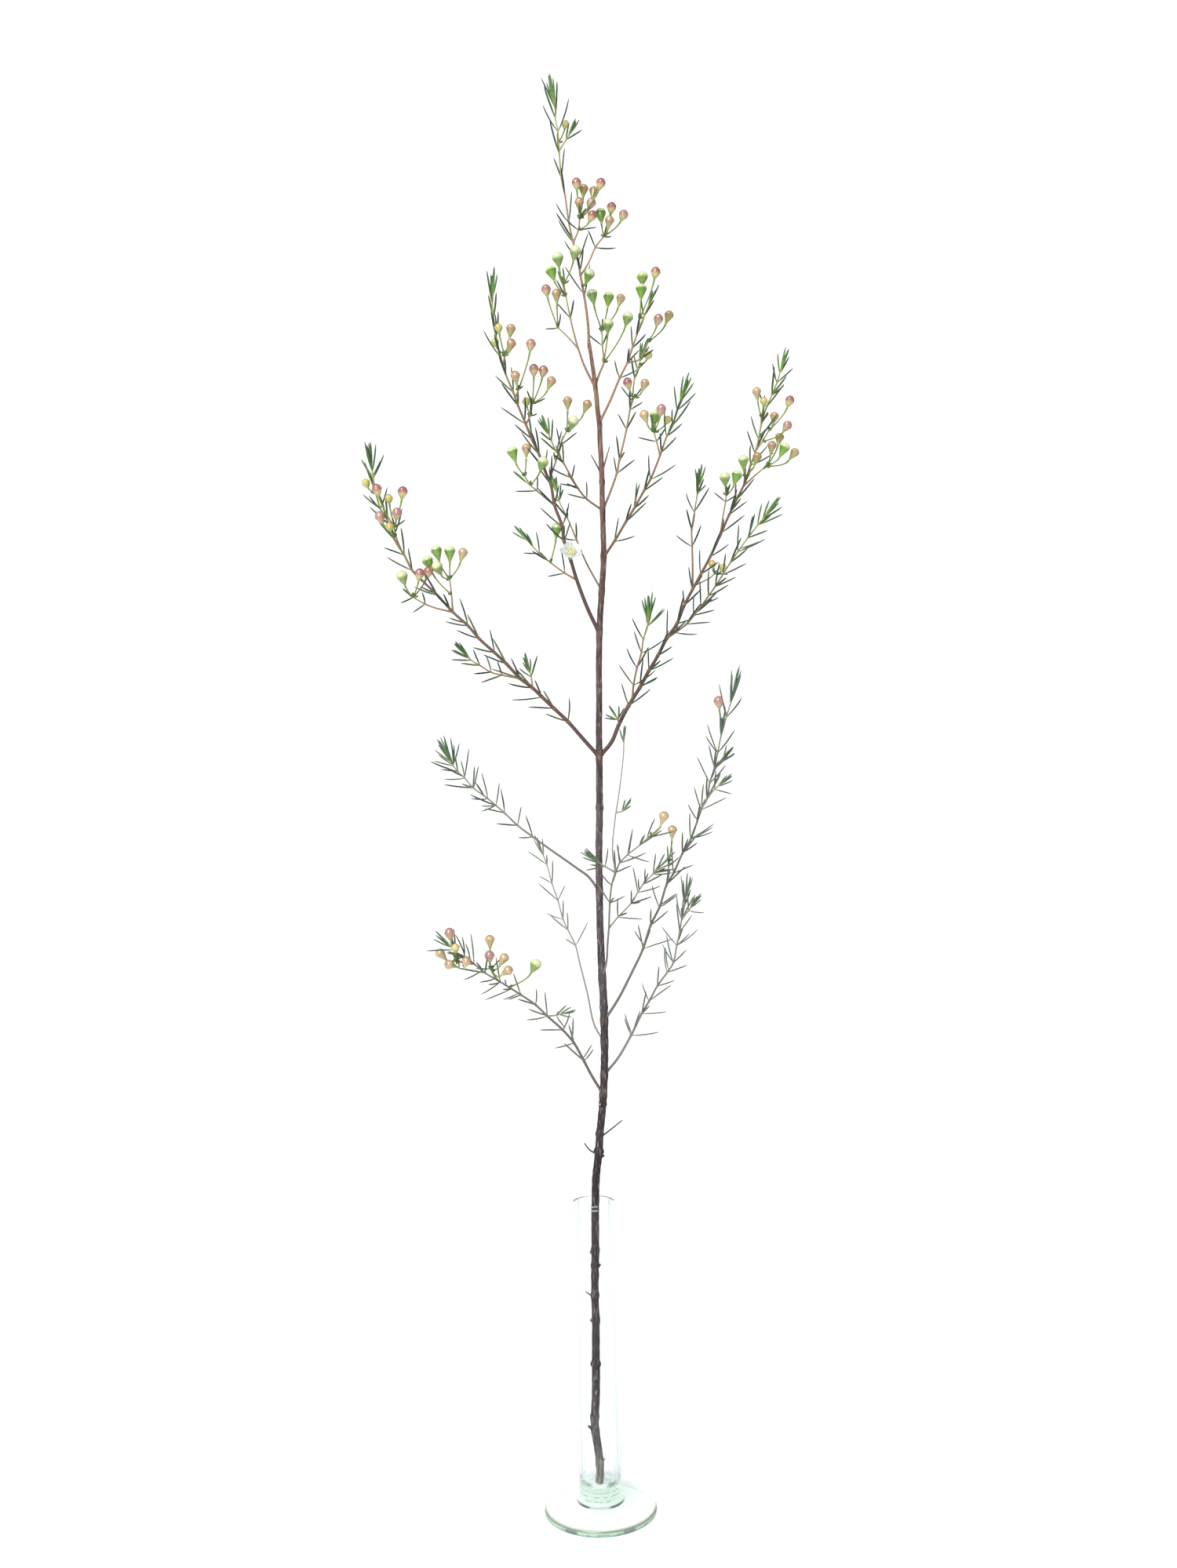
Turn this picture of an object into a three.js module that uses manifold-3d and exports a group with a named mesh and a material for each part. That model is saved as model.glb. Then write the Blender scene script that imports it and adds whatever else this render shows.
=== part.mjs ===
// A waxflower stem standing in a glass tube vase.
// Millimetres, +Z up, +X to the right and +Y away from the front. The origin is the centre of the foot's
// underside.
import * as THREE from "three";
import { mergeVertices } from "three/addons/utils/BufferGeometryUtils.js";
import Module from "manifold-3d";

const wasm = await Module();
wasm.setup();

// ---- driving dimensions ---------------------------------------------------------------------------------

const VASE = {
  height: 197,
  tubeRadius: 13.5,
  wall: 1.75,
  footRadius: 36,
  footEdge: 4,
  footRise: 3.4,
  beadRadius: 14.8,
  floor: 18,
  sides: 28,
};
const GAP = 0.35; // between two nodes that touch
const CLEARANCE = 0.42; // between a leaf and what it grows past
const STEM_LEAN = { start: -3.88, slope: 0.0735, ease: 0.000049 }; // the stem leans on the rim at the back
const FRONT_EYE = { x: 3.3, z: 462.8, distance: 950 }; // the routes are drawn as seen from here
const LEAF = { radius: 0.62, rootRadius: 0.22, widest: 0.6, samples: 12 };
// How leaves vary: a turn is a whole range of degrees, and the other ranges are [least, span] of a draw.
// Spreads of the pairs vary by degrees and those of the outer leaves of a tuft as a share of the twig's
// spread at its tip, lengths are shares of the twig's leaf length, and slides go back along the twig.
const PAIR = { turn: 60, spread: 22, length: [0.9, 0.4], curl: [-2.4, 12] };
const TUFT = { turn: 30, length: [0.8, 0.3], curl: 4, inner: [3, 5], outer: [0.3, 0.4] };
const SLIDE = { inner: -1.5, outer: -3.5 };
const PEDICEL = { radius: 0.48, flare: 1.15, upright: 0.7 };
const BUD_SIDES = 5;
const CUP_START = 0.6; // share of a cup's height from which it takes its full room
const BARK_SIDES = [[1.6, 8], [0.75, 5], [0, 4]]; // sides of a twig that is thicker than this
const SMOOTHING = 0.04; // the slivers that joining leaves behind are evened out to within this

// Each kind of bud from the end of its stalk up: [height, radius] of its cup, its shoulder and its crown,
// and the height of its heart, by which it is placed.
const BUDS = {
  pink: { rings: [[5.1, 3.0], [7.4, 2.4], [8.8, 0]], heart: 5.2 },
  tan: { rings: [[7.2, 2.95], [9.4, 2.45], [10.4, 0]], heart: 7.6 },
  green: { rings: [[8.0, 3.5], [10.1, 3.0], [11.3, 0]], heart: 6.0 },
  white: { rings: [[6.4, 3.5], [9.2, 3.1], [10.5, 0]], heart: 6.2 },
  yellow: { rings: [[3.6, 2.5], [5.5, 2.0], [6.4, 0]], heart: 4.0 },
};

const FINISH = {
  glass: { color: 0xdde8e2, roughness: 0.05, metalness: 0, transparent: true, opacity: 0.35 },
  bark: { color: 0x46342c, roughness: 0.75, metalness: 0 },
  leafy: { color: 0x3d5a35, roughness: 0.55, metalness: 0 },
  buds: { color: 0xb9705f, roughness: 0.4, metalness: 0 },
  flower: { color: 0xf3efe4, roughness: 0.5, metalness: 0 },
};

// ---- the plant ------------------------------------------------------------------------------------------
// A route is a list of [x, z] places drawn on the upright plane through the vase's axis. Each twig starts
// on another one, named by "on", and "reach" is how far it has come forward (-) or gone back (+) at its
// tip. Its leaf pairs grow at its places from the one counted by "from" on, turned about the twig by
// "phase" degrees and standing off it by "spread" degrees, low down and near the tip. "tuft" is the
// number of young leaves that close its tip. A bud is [x, z, reach, kind, place on the first stalk where
// its own stalk starts].

const STEM_ROUTE = [
  [-0.5, 17.6], [0, 24.5], [-0.5, 34.5], [-2.5, 51.5], [-2.5, 59], [-1.5, 72.5], [-1, 97.5], [-0.5, 117],
  [-0.5, 136], [0, 155], [0.5, 174.5], [1, 191.5], [2, 212.5], [4, 226], [5, 239.5], [7.5, 260], [9, 280.5],
  [9.5, 297.5], [9.5, 320.5], [9, 343.5], [8.5, 366.5], [8.5, 389.5], [9, 421], [10, 450.5], [10.5, 477],
  [11.5, 524], [12.5, 556], [14.5, 583.5], [16.5, 607.5], [16.5, 637], [16.5, 662], [16, 682.5],
  [16, 692.5], [15, 700], [14, 714], [12, 732.5], [10.5, 742.5],
];
const STEM_GIRTH = [[0, 2.5], [0.45, 2.35], [0.7, 2.0], [0.88, 1.7], [0.96, 1.4], [1, 1.2]];
// Trimmed twigs and bark scars of the stem: root and end [x, z], reach and thickness.
const STEM_STUBS = [
  { route: [[1.5, 226.5], [-1.5, 229.5], [-5, 234]], reach: -2, girth: [0.6, 0.35] },
  { route: [[5, 224], [7.5, 226]], reach: -1, girth: [1.1, 0.7] },
  { route: [[6, 237], [13, 243], [19.5, 248]], reach: -3, girth: [0.55, 0.35] },
  { route: [[8, 256], [5.5, 258.5]], reach: -3.5, girth: [1.1, 0.7] },
  { route: [[0, 162], [-3, 165]], reach: 0, girth: [1.3, 0.7] },
  { route: [[0.5, 154], [3.5, 156.5]], reach: -1, girth: [1.3, 0.7] },
  { route: [[-0.5, 135], [-6.5, 139.5]], reach: -1, girth: [0.5, 0.35] },
  { route: [[-0.5, 119], [-4, 121.5]], reach: -1, girth: [1.1, 0.6] },
  { route: [[-1, 92], [-4, 94]], reach: 1, girth: [1.1, 0.6] },
  { route: [[-2.5, 50], [-7, 54]], reach: -1, girth: [1.2, 0.7] },
  { route: [[-0.5, 30], [3, 32.5]], reach: -1, girth: [1.2, 0.7] },
  { route: [[15.5, 660], [22, 677.5]], reach: -4, girth: [0.7, 0.3] },
  { route: [[15.5, 660], [10, 672.5]], reach: -4, girth: [0.7, 0.3] },
];

const PLANT = [
  {
    name: "leader",
    finish: "leafy",
    twigs: [
      {
        on: "main_stem", reach: 6, girth: [0.88, 0.38], from: 2, phase: 20, spread: [26, 13], length: 18,
        tuft: 5, route: [
          [10.5, 742.5], [10, 757.5], [8, 775], [6, 787.5], [5, 796], [2, 808], [-0.5, 821], [-2.5, 838],
          [-4.5, 849], [-5.5, 864.5], [-6, 879], [-7.5, 887.5], [-7.5, 894], [-8.5, 900],
        ],
      },
      {
        on: "leader", reach: -3, girth: [0.5, 0.4], from: 1, phase: 50, spread: [34, 26], length: 11,
        tuft: 3, route: [[-4, 867], [-1, 873.5], [2.5, 879]],
      },
    ],
    buds: [],
  },
  {
    name: "leader_buds_upper",
    finish: "buds",
    twigs: [
      {
        on: "leader", reach: -5, girth: [0.55, 0.5], from: 1, phase: 10, spread: [60, 50], length: 10,
        tuft: 0, route: [[2, 808], [5.5, 816], [6.5, 823.5]],
      },
    ],
    buds: [
      [5, 846, -3, "pink", 2], [9.5, 842.5, 4, "tan", 2], [6.5, 834, -7, "tan", 2],
      [14, 833, 2, "pink", 2], [14.5, 825, -4, "pink", 1], [20.5, 845.5, -2, "pink", 2],
      [16, 841, 8, "tan", 2],
    ],
  },
  {
    name: "leader_buds_lower",
    finish: "buds",
    twigs: [
      {
        on: "leader", reach: 7, girth: [0.6, 0.5], from: 2, phase: 15, spread: [55, 45], length: 12,
        tuft: 0, route: [[6.5, 787], [11.5, 795], [16, 804.5], [21.5, 811.5]],
      },
    ],
    buds: [
      [34.5, 825, 2, "pink", 3], [20, 824.5, 4, "green", 3], [27, 830, -1, "pink", 3],
      [25.5, 822, -6, "tan", 3],
    ],
  },
  {
    name: "leader_bud_green",
    finish: "buds",
    twigs: [],
    on: "leader",
    root: [6.5, 781],
    buds: [[11, 786, -5, "green", 0]],
  },
  {
    name: "leader_bud_tip",
    finish: "buds",
    twigs: [],
    on: "leader",
    root: [-5.5, 872],
    buds: [[-1, 884, 5, "yellow", 0]],
  },
  {
    name: "fork_spray_left",
    finish: "buds",
    twigs: [
      {
        on: "main_stem", reach: -22, girth: [0.8, 0.4], from: 4, phase: 30, spread: [38, 26], length: 12,
        tuft: 2, route: [[13, 715], [7.5, 728.5], [3.5, 740.5], [0.5, 752.5], [-1, 760], [-3.5, 774],
        [-4.5, 782]],
      },
      {
        on: "fork_spray_left", reach: -4, girth: [0.55, 0.45], from: 2, phase: 40, spread: [55, 45],
        length: 9, tuft: 0, route: [[3.5, 740.5], [-3, 748], [-9, 754]],
      },
    ],
    buds: [
      [-9.5, 776, -6, "tan", "side"], [-16, 778.5, 1, "pink", "side"], [-8, 798, -7, "white", 5],
      [-12, 788.5, 5, "green", 5], [3, 802, -9, "white", 6],
    ],
  },
  {
    name: "fork_spray_right",
    finish: "buds",
    twigs: [
      {
        on: "main_stem", reach: 18, girth: [0.8, 0.45], from: 3, phase: 25, spread: [36, 26], length: 13,
        tuft: 2, route: [[14.5, 716.5], [17, 725], [19.5, 731], [19, 742], [19, 751.5]],
      },
    ],
    buds: [
      [13.5, 773, -6, "green", 4], [23.5, 771, 3, "green", 4], [31.5, 772, 7, "tan", 4],
      [23, 755, -7, "white", 2], [35.5, 759, -1, "white", 2],
    ],
  },
  {
    name: "branch_14_right",
    finish: "leafy",
    twigs: [
      {
        on: "main_stem", reach: -28, girth: [0.85, 0.45], from: 2, phase: 30, spread: [36, 28],
        length: 12, tuft: 3, route: [
          [16, 693], [22.5, 705.5], [29.5, 721], [34.5, 730.5], [38, 740], [41.5, 749.5], [46, 760],
          [50.5, 770],
        ],
      },
      {
        on: "branch_14_right", reach: 5, girth: [0.55, 0.45], from: 1, phase: 70, spread: [38, 30],
        length: 11, tuft: 2, route: [[34.5, 730.5], [42.5, 732.5], [46, 738]],
      },
    ],
    buds: [],
  },
  {
    name: "branch_14_buds_upper",
    finish: "buds",
    twigs: [
      {
        on: "branch_14_right", reach: 3, girth: [0.5, 0.45], from: 9, phase: 0, spread: [50, 40],
        length: 8, tuft: 0, route: [[42.5, 752], [43, 758.5]],
      },
    ],
    buds: [[44.5, 775.5, 2, "green", 1], [45.5, 784.5, 8, "white", 1], [54, 788, 6, "pink", 1]],
  },
  {
    name: "branch_14_buds_side",
    finish: "buds",
    twigs: [
      {
        on: "branch_14_right", reach: 3, girth: [0.5, 0.45], from: 9, phase: 0, spread: [50, 40],
        length: 8, tuft: 0, route: [[46, 738], [48, 743.5]],
      },
    ],
    buds: [[55, 758, -2, "pink", 1], [62, 760.5, 3, "tan", 1]],
  },
  {
    name: "branch_13_right",
    finish: "leafy",
    twigs: [
      {
        on: "main_stem", reach: 40, girth: [0.8, 0.45], from: 2, phase: 35, spread: [34, 26], length: 15,
        tuft: 5, route: [
          [17, 636.5], [21.5, 648], [26, 660], [28, 668.5], [33, 688], [35.5, 700.5], [37, 706.5],
          [39, 720.5], [41.5, 727.5], [43.5, 734],
        ],
      },
    ],
    buds: [],
  },
  {
    name: "branch_13_buds",
    finish: "buds",
    twigs: [
      {
        on: "branch_13_right", reach: -3, girth: [0.5, 0.45], from: 9, phase: 0, spread: [50, 40],
        length: 8, tuft: 0, route: [[36.5, 703], [38.5, 708.5]],
      },
    ],
    buds: [[34.5, 718, -5, "pink", 1], [45.5, 717.5, 1, "tan", 1]],
  },
  {
    name: "branch_13_bud_tip", finish: "buds", twigs: [], on: "branch_13_right", root: [42, 729],
    buds: [[48.5, 735.5, -4, "yellow", 0]],
  },
  {
    name: "branch_12_right",
    finish: "leafy",
    twigs: [
      {
        on: "main_stem", reach: -36, girth: [0.9, 0.45], from: 1, phase: 30, spread: [36, 30],
        length: 15.5, tuft: 6, route: [
          [18, 607], [23.5, 617], [31, 629], [36.5, 637.5], [43, 648.5], [47.5, 656], [54, 671],
          [58.5, 683], [62.5, 690], [65.5, 699.5], [69, 708.5],
        ],
      },
    ],
    buds: [],
  },
  {
    name: "branch_12_buds",
    finish: "buds",
    twigs: [
      {
        on: "branch_12_right", reach: 4, girth: [0.55, 0.45], from: 1, phase: 10, spread: [60, 50],
        length: 11, tuft: 0, route: [[54, 671], [52, 680], [50.5, 686]],
      },
    ],
    buds: [
      [44.5, 697.5, -4, "tan", 2], [51.5, 696, 4, "white", 2], [55.5, 700.5, -3, "pink", 2],
      [59.5, 694, 3, "yellow", 2],
    ],
  },
  {
    name: "branch_11_left",
    finish: "leafy",
    twigs: [
      {
        on: "main_stem", reach: 42, girth: [0.65, 0.4], from: 2, phase: 40, spread: [36, 28], length: 13,
        tuft: 4, route: [[13, 586], [5.5, 603.5], [-0.5, 618.5], [-6, 632.5], [-11, 643.5], [-13, 652]],
      },
    ],
    buds: [],
  },
  {
    name: "branch_10_left",
    finish: "leafy",
    twigs: [
      {
        on: "main_stem", reach: -34, girth: [0.7, 0.42], from: 1, phase: 35, spread: [38, 32], length: 13,
        tuft: 5, route: [
          [15.5, 637], [6.5, 644.5], [1.5, 651], [-2.5, 658], [-7.5, 667.5], [-12, 675], [-15, 682],
          [-17.5, 689],
        ],
      },
    ],
    buds: [],
  },
  {
    name: "branch_09_left",
    finish: "leafy",
    twigs: [
      {
        on: "main_stem", reach: -34, girth: [1.3, 0.4], from: 3, phase: 30, spread: [40, 15], length: 16,
        tuft: 5, route: [
          [11.5, 558.5], [5.5, 574.5], [-1, 593], [-4.5, 605.5], [-8.5, 618], [-9.5, 627.5], [-14, 641],
          [-16, 654], [-19.5, 663], [-23, 673.5], [-27.5, 683.5], [-31, 693], [-35.5, 704.5],
          [-38.5, 713.5], [-43, 725], [-46, 736], [-48.5, 749], [-50, 761.5], [-50.5, 770], [-50, 778.5],
        ],
      },
      {
        on: "branch_09_left", reach: 9, girth: [0.6, 0.42], from: 1, phase: 20, spread: [42, 30],
        length: 13, tuft: 4, route: [[-1, 593], [-8.5, 597.5], [-17.5, 604.5], [-24.5, 610.5],
        [-28.5, 615], [-34, 621.5]],
      },
      {
        on: "branch_09_left", reach: -10, girth: [0.65, 0.42], from: 2, phase: 20, spread: [42, 30],
        length: 12, tuft: 2, route: [[-14.5, 641], [-19.5, 645.5], [-25, 650.5], [-31, 655.5]],
      },
      {
        on: "branch_09_left", reach: 10, girth: [0.6, 0.42], from: 1, phase: 60, spread: [38, 28],
        length: 13, tuft: 3, route: [[-16.5, 657], [-12.5, 669], [-9.5, 679], [-7.5, 685]],
      },
    ],
    buds: [],
  },
  {
    name: "branch_09_buds_top",
    finish: "buds",
    twigs: [
      {
        on: "branch_09_left", reach: -3, girth: [0.5, 0.45], from: 9, phase: 0, spread: [50, 40],
        length: 8, tuft: 0, route: [[-44.5, 730.5], [-43.5, 737.5]],
      },
    ],
    buds: [
      [-47, 755.5, -5, "yellow", 1], [-39, 754.5, 1, "tan", 1], [-49.5, 746, 5, "yellow", 1],
      [-39, 745, -5, "tan", 1],
    ],
  },
  {
    name: "branch_09_buds_upper",
    finish: "buds",
    twigs: [
      {
        on: "branch_09_left", reach: -3, girth: [0.5, 0.45], from: 9, phase: 0, spread: [50, 40],
        length: 8, tuft: 0, route: [[-37.5, 710], [-35, 715.5]],
      },
    ],
    buds: [[-26.5, 744, -2, "pink", 1], [-37, 724.5, -5, "tan", 1]],
  },
  {
    name: "branch_09_buds_middle",
    finish: "buds",
    twigs: [
      {
        on: "branch_09_left", reach: 4, girth: [0.55, 0.45], from: 1, phase: 80, spread: [50, 40],
        length: 10, tuft: 0, route: [[-31, 693], [-28, 698.5], [-26.5, 706]],
      },
    ],
    buds: [
      [-25, 728, -3, "pink", 2], [-19, 727, 3, "pink", 2], [-14, 720.5, -1, "tan", 2],
      [-30.5, 708, 4, "yellow", 1],
    ],
  },
  {
    name: "branch_09_bud_low", finish: "buds", twigs: [], on: "branch_09_left", root: [-17.5, 604.5],
    buds: [[-13, 624.5, -5, "green", 0]],
  },
  {
    name: "branch_09_buds_left",
    finish: "buds",
    twigs: [
      {
        on: "branch_09_left", reach: -2, girth: [0.45, 0.42], from: 9, phase: 0, spread: [60, 50],
        length: 9, tuft: 0, route: [[-29, 654.5], [-32.5, 660]],
      },
    ],
    buds: [[-39.5, 674, -3, "green", 1], [-31, 678, 3, "tan", 1], [-21, 668, -3, "white", 0]],
  },
  {
    name: "branch_09_buds_inner",
    finish: "buds",
    twigs: [
      {
        on: "branch_09_left", reach: 1, girth: [0.45, 0.42], from: 9, phase: 0, spread: [60, 50],
        length: 9, tuft: 0, route: [[-8.5, 682], [-5, 688]],
      },
    ],
    buds: [[-1, 693.5, -5, "white", 1], [-4, 707.5, 2, "tan", 1], [8.5, 705, -3, "tan", 1]],
  },
  {
    name: "branch_08_right",
    finish: "leafy",
    twigs: [
      {
        on: "main_stem", reach: 50, girth: [1.35, 0.45], from: 3, phase: 35, spread: [38, 32], length: 16,
        tuft: 6, route: [
          [13.5, 480], [18.5, 489], [23.5, 500], [30, 512], [37.5, 523.5], [43.5, 534], [49.5, 543.5],
          [55.5, 554.5], [62, 563.5], [67, 575], [72.5, 585], [78, 594.5], [84.5, 606], [91, 619],
          [97, 632], [101.5, 641], [107, 651], [111.5, 663.5], [115, 672.5], [117, 680], [119, 689.5],
          [122.5, 700], [126, 707.5], [129.5, 715.5], [132.5, 724.5],
        ],
      },
      {
        on: "branch_08_right", reach: 10, girth: [0.7, 0.42], from: 2, phase: 30, spread: [40, 32],
        length: 15, tuft: 5, route: [[72.5, 585], [73, 598.5], [73, 612.5], [73, 623], [75, 634.5],
        [77, 645], [78.5, 654]],
      },
      {
        on: "branch_08_right", reach: -14, girth: [0.65, 0.42], from: 1, phase: 35, spread: [40, 34],
        length: 16, tuft: 6, route: [
          [55.5, 554.5], [61, 558], [68, 563], [73, 568.5], [77.5, 574], [82.5, 580.5], [87, 586.5],
          [92, 594], [97, 601.5], [102, 608.5], [108.5, 617], [115, 625], [120.5, 631.5],
        ],
      },
      {
        on: "branch_08_right", reach: -12, girth: [0.7, 0.42], from: 1, phase: 30, spread: [42, 34],
        length: 16, tuft: 7, route: [[32.5, 516], [33.5, 525], [36, 536], [39, 545.5], [40.5, 554],
        [43.5, 562.5], [44, 569.5]],
      },
      {
        on: "branch_08_right", reach: -2, girth: [0.5, 0.4], from: 1, phase: 20, spread: [60, 50],
        length: 10, tuft: 4, route: [[23.5, 500], [23, 503.5], [21.5, 506]],
      },
    ],
    buds: [],
  },
  {
    name: "branch_08_buds_tip",
    finish: "buds",
    twigs: [
      {
        on: "branch_08_right", reach: -3, girth: [0.45, 0.42], from: 9, phase: 0, spread: [60, 50],
        length: 9, tuft: 0, route: [[119, 689.5], [119, 694]],
      },
    ],
    buds: [[116.5, 710.5, -3, "tan", 1], [121, 704.5, -7, "yellow", 1]],
  },
  {
    name: "branch_08_buds_upper",
    finish: "buds",
    twigs: [
      {
        on: "branch_08_right", reach: -3, girth: [0.5, 0.45], from: 9, phase: 0, spread: [60, 50],
        length: 9, tuft: 0, route: [[115, 673], [119.5, 678.5], [123.5, 685]],
      },
    ],
    buds: [[135.5, 688, -7, "pink", 1], [127.5, 694.5, 3, "tan", 2], [137.5, 704, -3, "pink", 2]],
  },
  {
    name: "branch_08_buds_right",
    finish: "buds",
    twigs: [
      {
        on: "branch_08_right", reach: -4, girth: [0.6, 0.45], from: 2, phase: 20, spread: [30, 25],
        length: 7, tuft: 3, route: [[107, 650], [115, 657.5], [121.5, 662.5]],
      },
    ],
    buds: [
      [125.5, 676, -3, "tan", 2], [130.5, 681, 8, "tan", 2], [132.5, 672.5, -4, "green", 2],
      [140, 671, 2, "tan", 2],
    ],
  },
  {
    name: "branch_08_buds_inner",
    finish: "buds",
    twigs: [
      {
        on: "branch_08_right", reach: -3, girth: [0.5, 0.45], from: 9, phase: 0, spread: [60, 50],
        length: 9, tuft: 0, route: [[107, 651], [107.5, 656.5]],
      },
    ],
    buds: [[107, 665, -4, "green", 1], [116, 669, 0, "tan", 1]],
  },
  {
    name: "branch_08_buds_left",
    finish: "buds",
    twigs: [
      {
        on: "branch_08_right", reach: -5, girth: [0.55, 0.45], from: 2, phase: 10, spread: [55, 45],
        length: 9, tuft: 0, route: [[91, 619], [93, 630.5], [95, 640.5], [95.5, 644.5]],
      },
    ],
    buds: [[95, 655.5, -3, "white", 3], [102, 655.5, 3, "green", 3]],
  },
  {
    name: "branch_08_buds_low",
    finish: "buds",
    twigs: [
      {
        on: "branch_08_right", reach: 6, girth: [0.5, 0.45], from: 2, phase: 10, spread: [55, 45],
        length: 9, tuft: 0, route: [[74.5, 587.5], [83.5, 592], [87, 595]],
      },
    ],
    buds: [[85.5, 601.5, -3, "yellow", 2], [92.5, 599, 3, "yellow", 2]],
  },
  {
    name: "branch_07_left",
    finish: "leafy",
    twigs: [
      {
        on: "main_stem", reach: -52, girth: [1.3, 0.45], from: 2, phase: 35, spread: [40, 32], length: 16,
        tuft: 6,
        route: [
          [8, 480], [1.5, 490.5], [-9, 503], [-17.5, 511.5], [-25, 519], [-31, 525], [-38.5, 531],
          [-47, 540.5], [-54.5, 548], [-64, 557], [-71, 565.5], [-80.5, 574.5], [-90, 585.5],
          [-98, 593.5], [-105.5, 601.5], [-110.5, 611.5], [-116.5, 621.5], [-120.5, 633.5], [-125, 641.5],
          [-127.5, 651], [-129, 661], [-130, 669],
        ],
      },
      {
        on: "branch_07_left", reach: -10, girth: [0.6, 0.4], from: 1, phase: 40, spread: [48, 36],
        length: 13, tuft: 6, route: [[-38.5, 531], [-50, 533.5], [-57, 535.5], [-64, 540], [-69.5, 543.5],
        [-73, 547.5]],
      },
      {
        on: "branch_07_left", reach: 4, girth: [0.55, 0.4], from: 1, phase: 20, spread: [42, 32],
        length: 12, tuft: 5, route: [[-31, 525], [-31.5, 532], [-33, 537.5]],
      },
    ],
    buds: [],
  },
  {
    name: "branch_07_buds_left",
    finish: "buds",
    twigs: [
      {
        on: "branch_07_left", reach: -5, girth: [0.6, 0.45], from: 2, phase: 30, spread: [60, 50],
        length: 10, tuft: 0, route: [[-80.5, 574.5], [-90.5, 577], [-98, 580], [-105.5, 584.5]],
      },
    ],
    buds: [[-112, 597.5, -3, "white", 3], [-101, 599.5, -3, "pink", 3], [-95.5, 600.5, 3, "pink", 3]],
  },
  {
    name: "branch_07_buds_right",
    finish: "buds",
    twigs: [
      {
        on: "branch_07_left", reach: 5, girth: [0.6, 0.45], from: 9, phase: 20, spread: [60, 50],
        length: 9, tuft: 0, route: [[-80.5, 574.5], [-81, 585.5], [-82, 595.5]],
      },
    ],
    buds: [
      [-81.5, 611.5, -2, "green", 2], [-89.5, 612, 3, "green", 2], [-73, 612.5, 2, "tan", 2],
      [-89.5, 603, -5, "white", 2], [-95, 605.5, 1, "green", 1],
    ],
  },
  {
    name: "branch_07_buds_top",
    finish: "buds",
    twigs: [
      {
        on: "branch_07_left", reach: -5, girth: [0.6, 0.45], from: 2, phase: 20, spread: [60, 50],
        length: 9, tuft: 0, route: [[-112.5, 615.5], [-115.5, 623.5], [-116.5, 629.5]],
      },
    ],
    buds: [
      [-110.5, 652, 1, "pink", 2], [-119.5, 648.5, -4, "yellow", 2], [-127, 654, -7, "pink", 2],
      [-114.5, 638.5, -6, "pink", 2], [-125.5, 636.5, -5, "pink", 1], [-119.5, 630.5, -9, "yellow", 1],
    ],
  },
  {
    name: "branch_07_bud_tip", finish: "buds", twigs: [], on: "branch_07_left", root: [-127.5, 651],
    buds: [[-134, 658.5, 3, "yellow", 0]],
  },
  {
    name: "branch_06_left",
    finish: "leafy",
    twigs: [
      {
        on: "main_stem", reach: 36, girth: [0.85, 0.42], from: 5, phase: 35, spread: [52, 42], length: 17,
        tuft: 8,
        route: [
          [8, 394], [2, 403.5], [-5, 409], [-13, 415], [-22.5, 422], [-33, 430], [-42.5, 437.5],
          [-50.5, 445.5], [-56, 450.5], [-61, 455], [-70, 462], [-75.5, 468.5], [-79.5, 472.5],
          [-82.5, 476.5], [-85.5, 482],
        ],
      },
    ],
    buds: [],
  },
  {
    name: "branch_05_left",
    finish: "leafy",
    twigs: [
      {
        on: "main_stem", reach: 52, girth: [0.6, 0.4], from: 4, phase: 40, spread: [45, 32], length: 14,
        tuft: 4, route: [
          [6.5, 297.5], [3, 310], [-0.5, 328.5], [-5, 348.5], [-7.5, 360], [-12, 370], [-15, 377],
          [-18, 389], [-21.5, 400], [-24.5, 412], [-27.5, 420.5],
        ],
      },
    ],
    buds: [],
  },
  {
    name: "branch_04_middle",
    finish: "leafy",
    twigs: [
      {
        on: "main_stem", reach: -50, girth: [0.7, 0.42], from: 4, phase: 35, spread: [52, 34],
        length: 14.5, tuft: 6, route: [
          [10.5, 339], [12, 349.5], [13, 361], [14, 370.5], [15, 386.5], [16.5, 398], [19, 406],
          [22, 412], [27, 417], [35, 423], [42, 429], [48.5, 434.5],
        ],
      },
      {
        on: "branch_04_middle", reach: -12, girth: [0.5, 0.4], from: 1, phase: 30, spread: [48, 34],
        length: 14, tuft: 5, route: [[14, 370.5], [20, 377.5], [28.5, 386], [33, 393], [36.5, 398],
        [43, 404.5], [48, 409.5]],
      },
      {
        on: "branch_04_middle", reach: -3, girth: [0.5, 0.4], from: 1, phase: 30, spread: [55, 38],
        length: 13, tuft: 6, route: [[19, 406], [12.5, 410], [7, 414]],
      },
      {
        on: "branch_04_middle", reach: -6, girth: [0.45, 0.38], from: 9, phase: 40, spread: [50, 38],
        length: 11, tuft: 3, route: [[19, 406], [17.5, 420], [19.5, 439], [23, 459], [26, 481],
        [26.5, 492]],
      },
      {
        on: "branch_04_middle", reach: -1, girth: [0.42, 0.38], from: 2, phase: 40, spread: [60, 50],
        length: 8, tuft: 4, route: [[21, 444], [24.5, 445], [26.5, 447.5]],
      },
    ],
    buds: [],
  },
  {
    name: "branch_04_bud", finish: "buds", twigs: [], on: "branch_04_middle", root: [42, 429],
    buds: [[51, 441.5, -5, "tan", 0]],
  },
  {
    name: "branch_03_right",
    finish: "leafy",
    twigs: [
      {
        on: "main_stem", reach: -32, girth: [0.9, 0.42], from: 3, phase: 30, spread: [44, 30], length: 17,
        tuft: 7,
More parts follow.
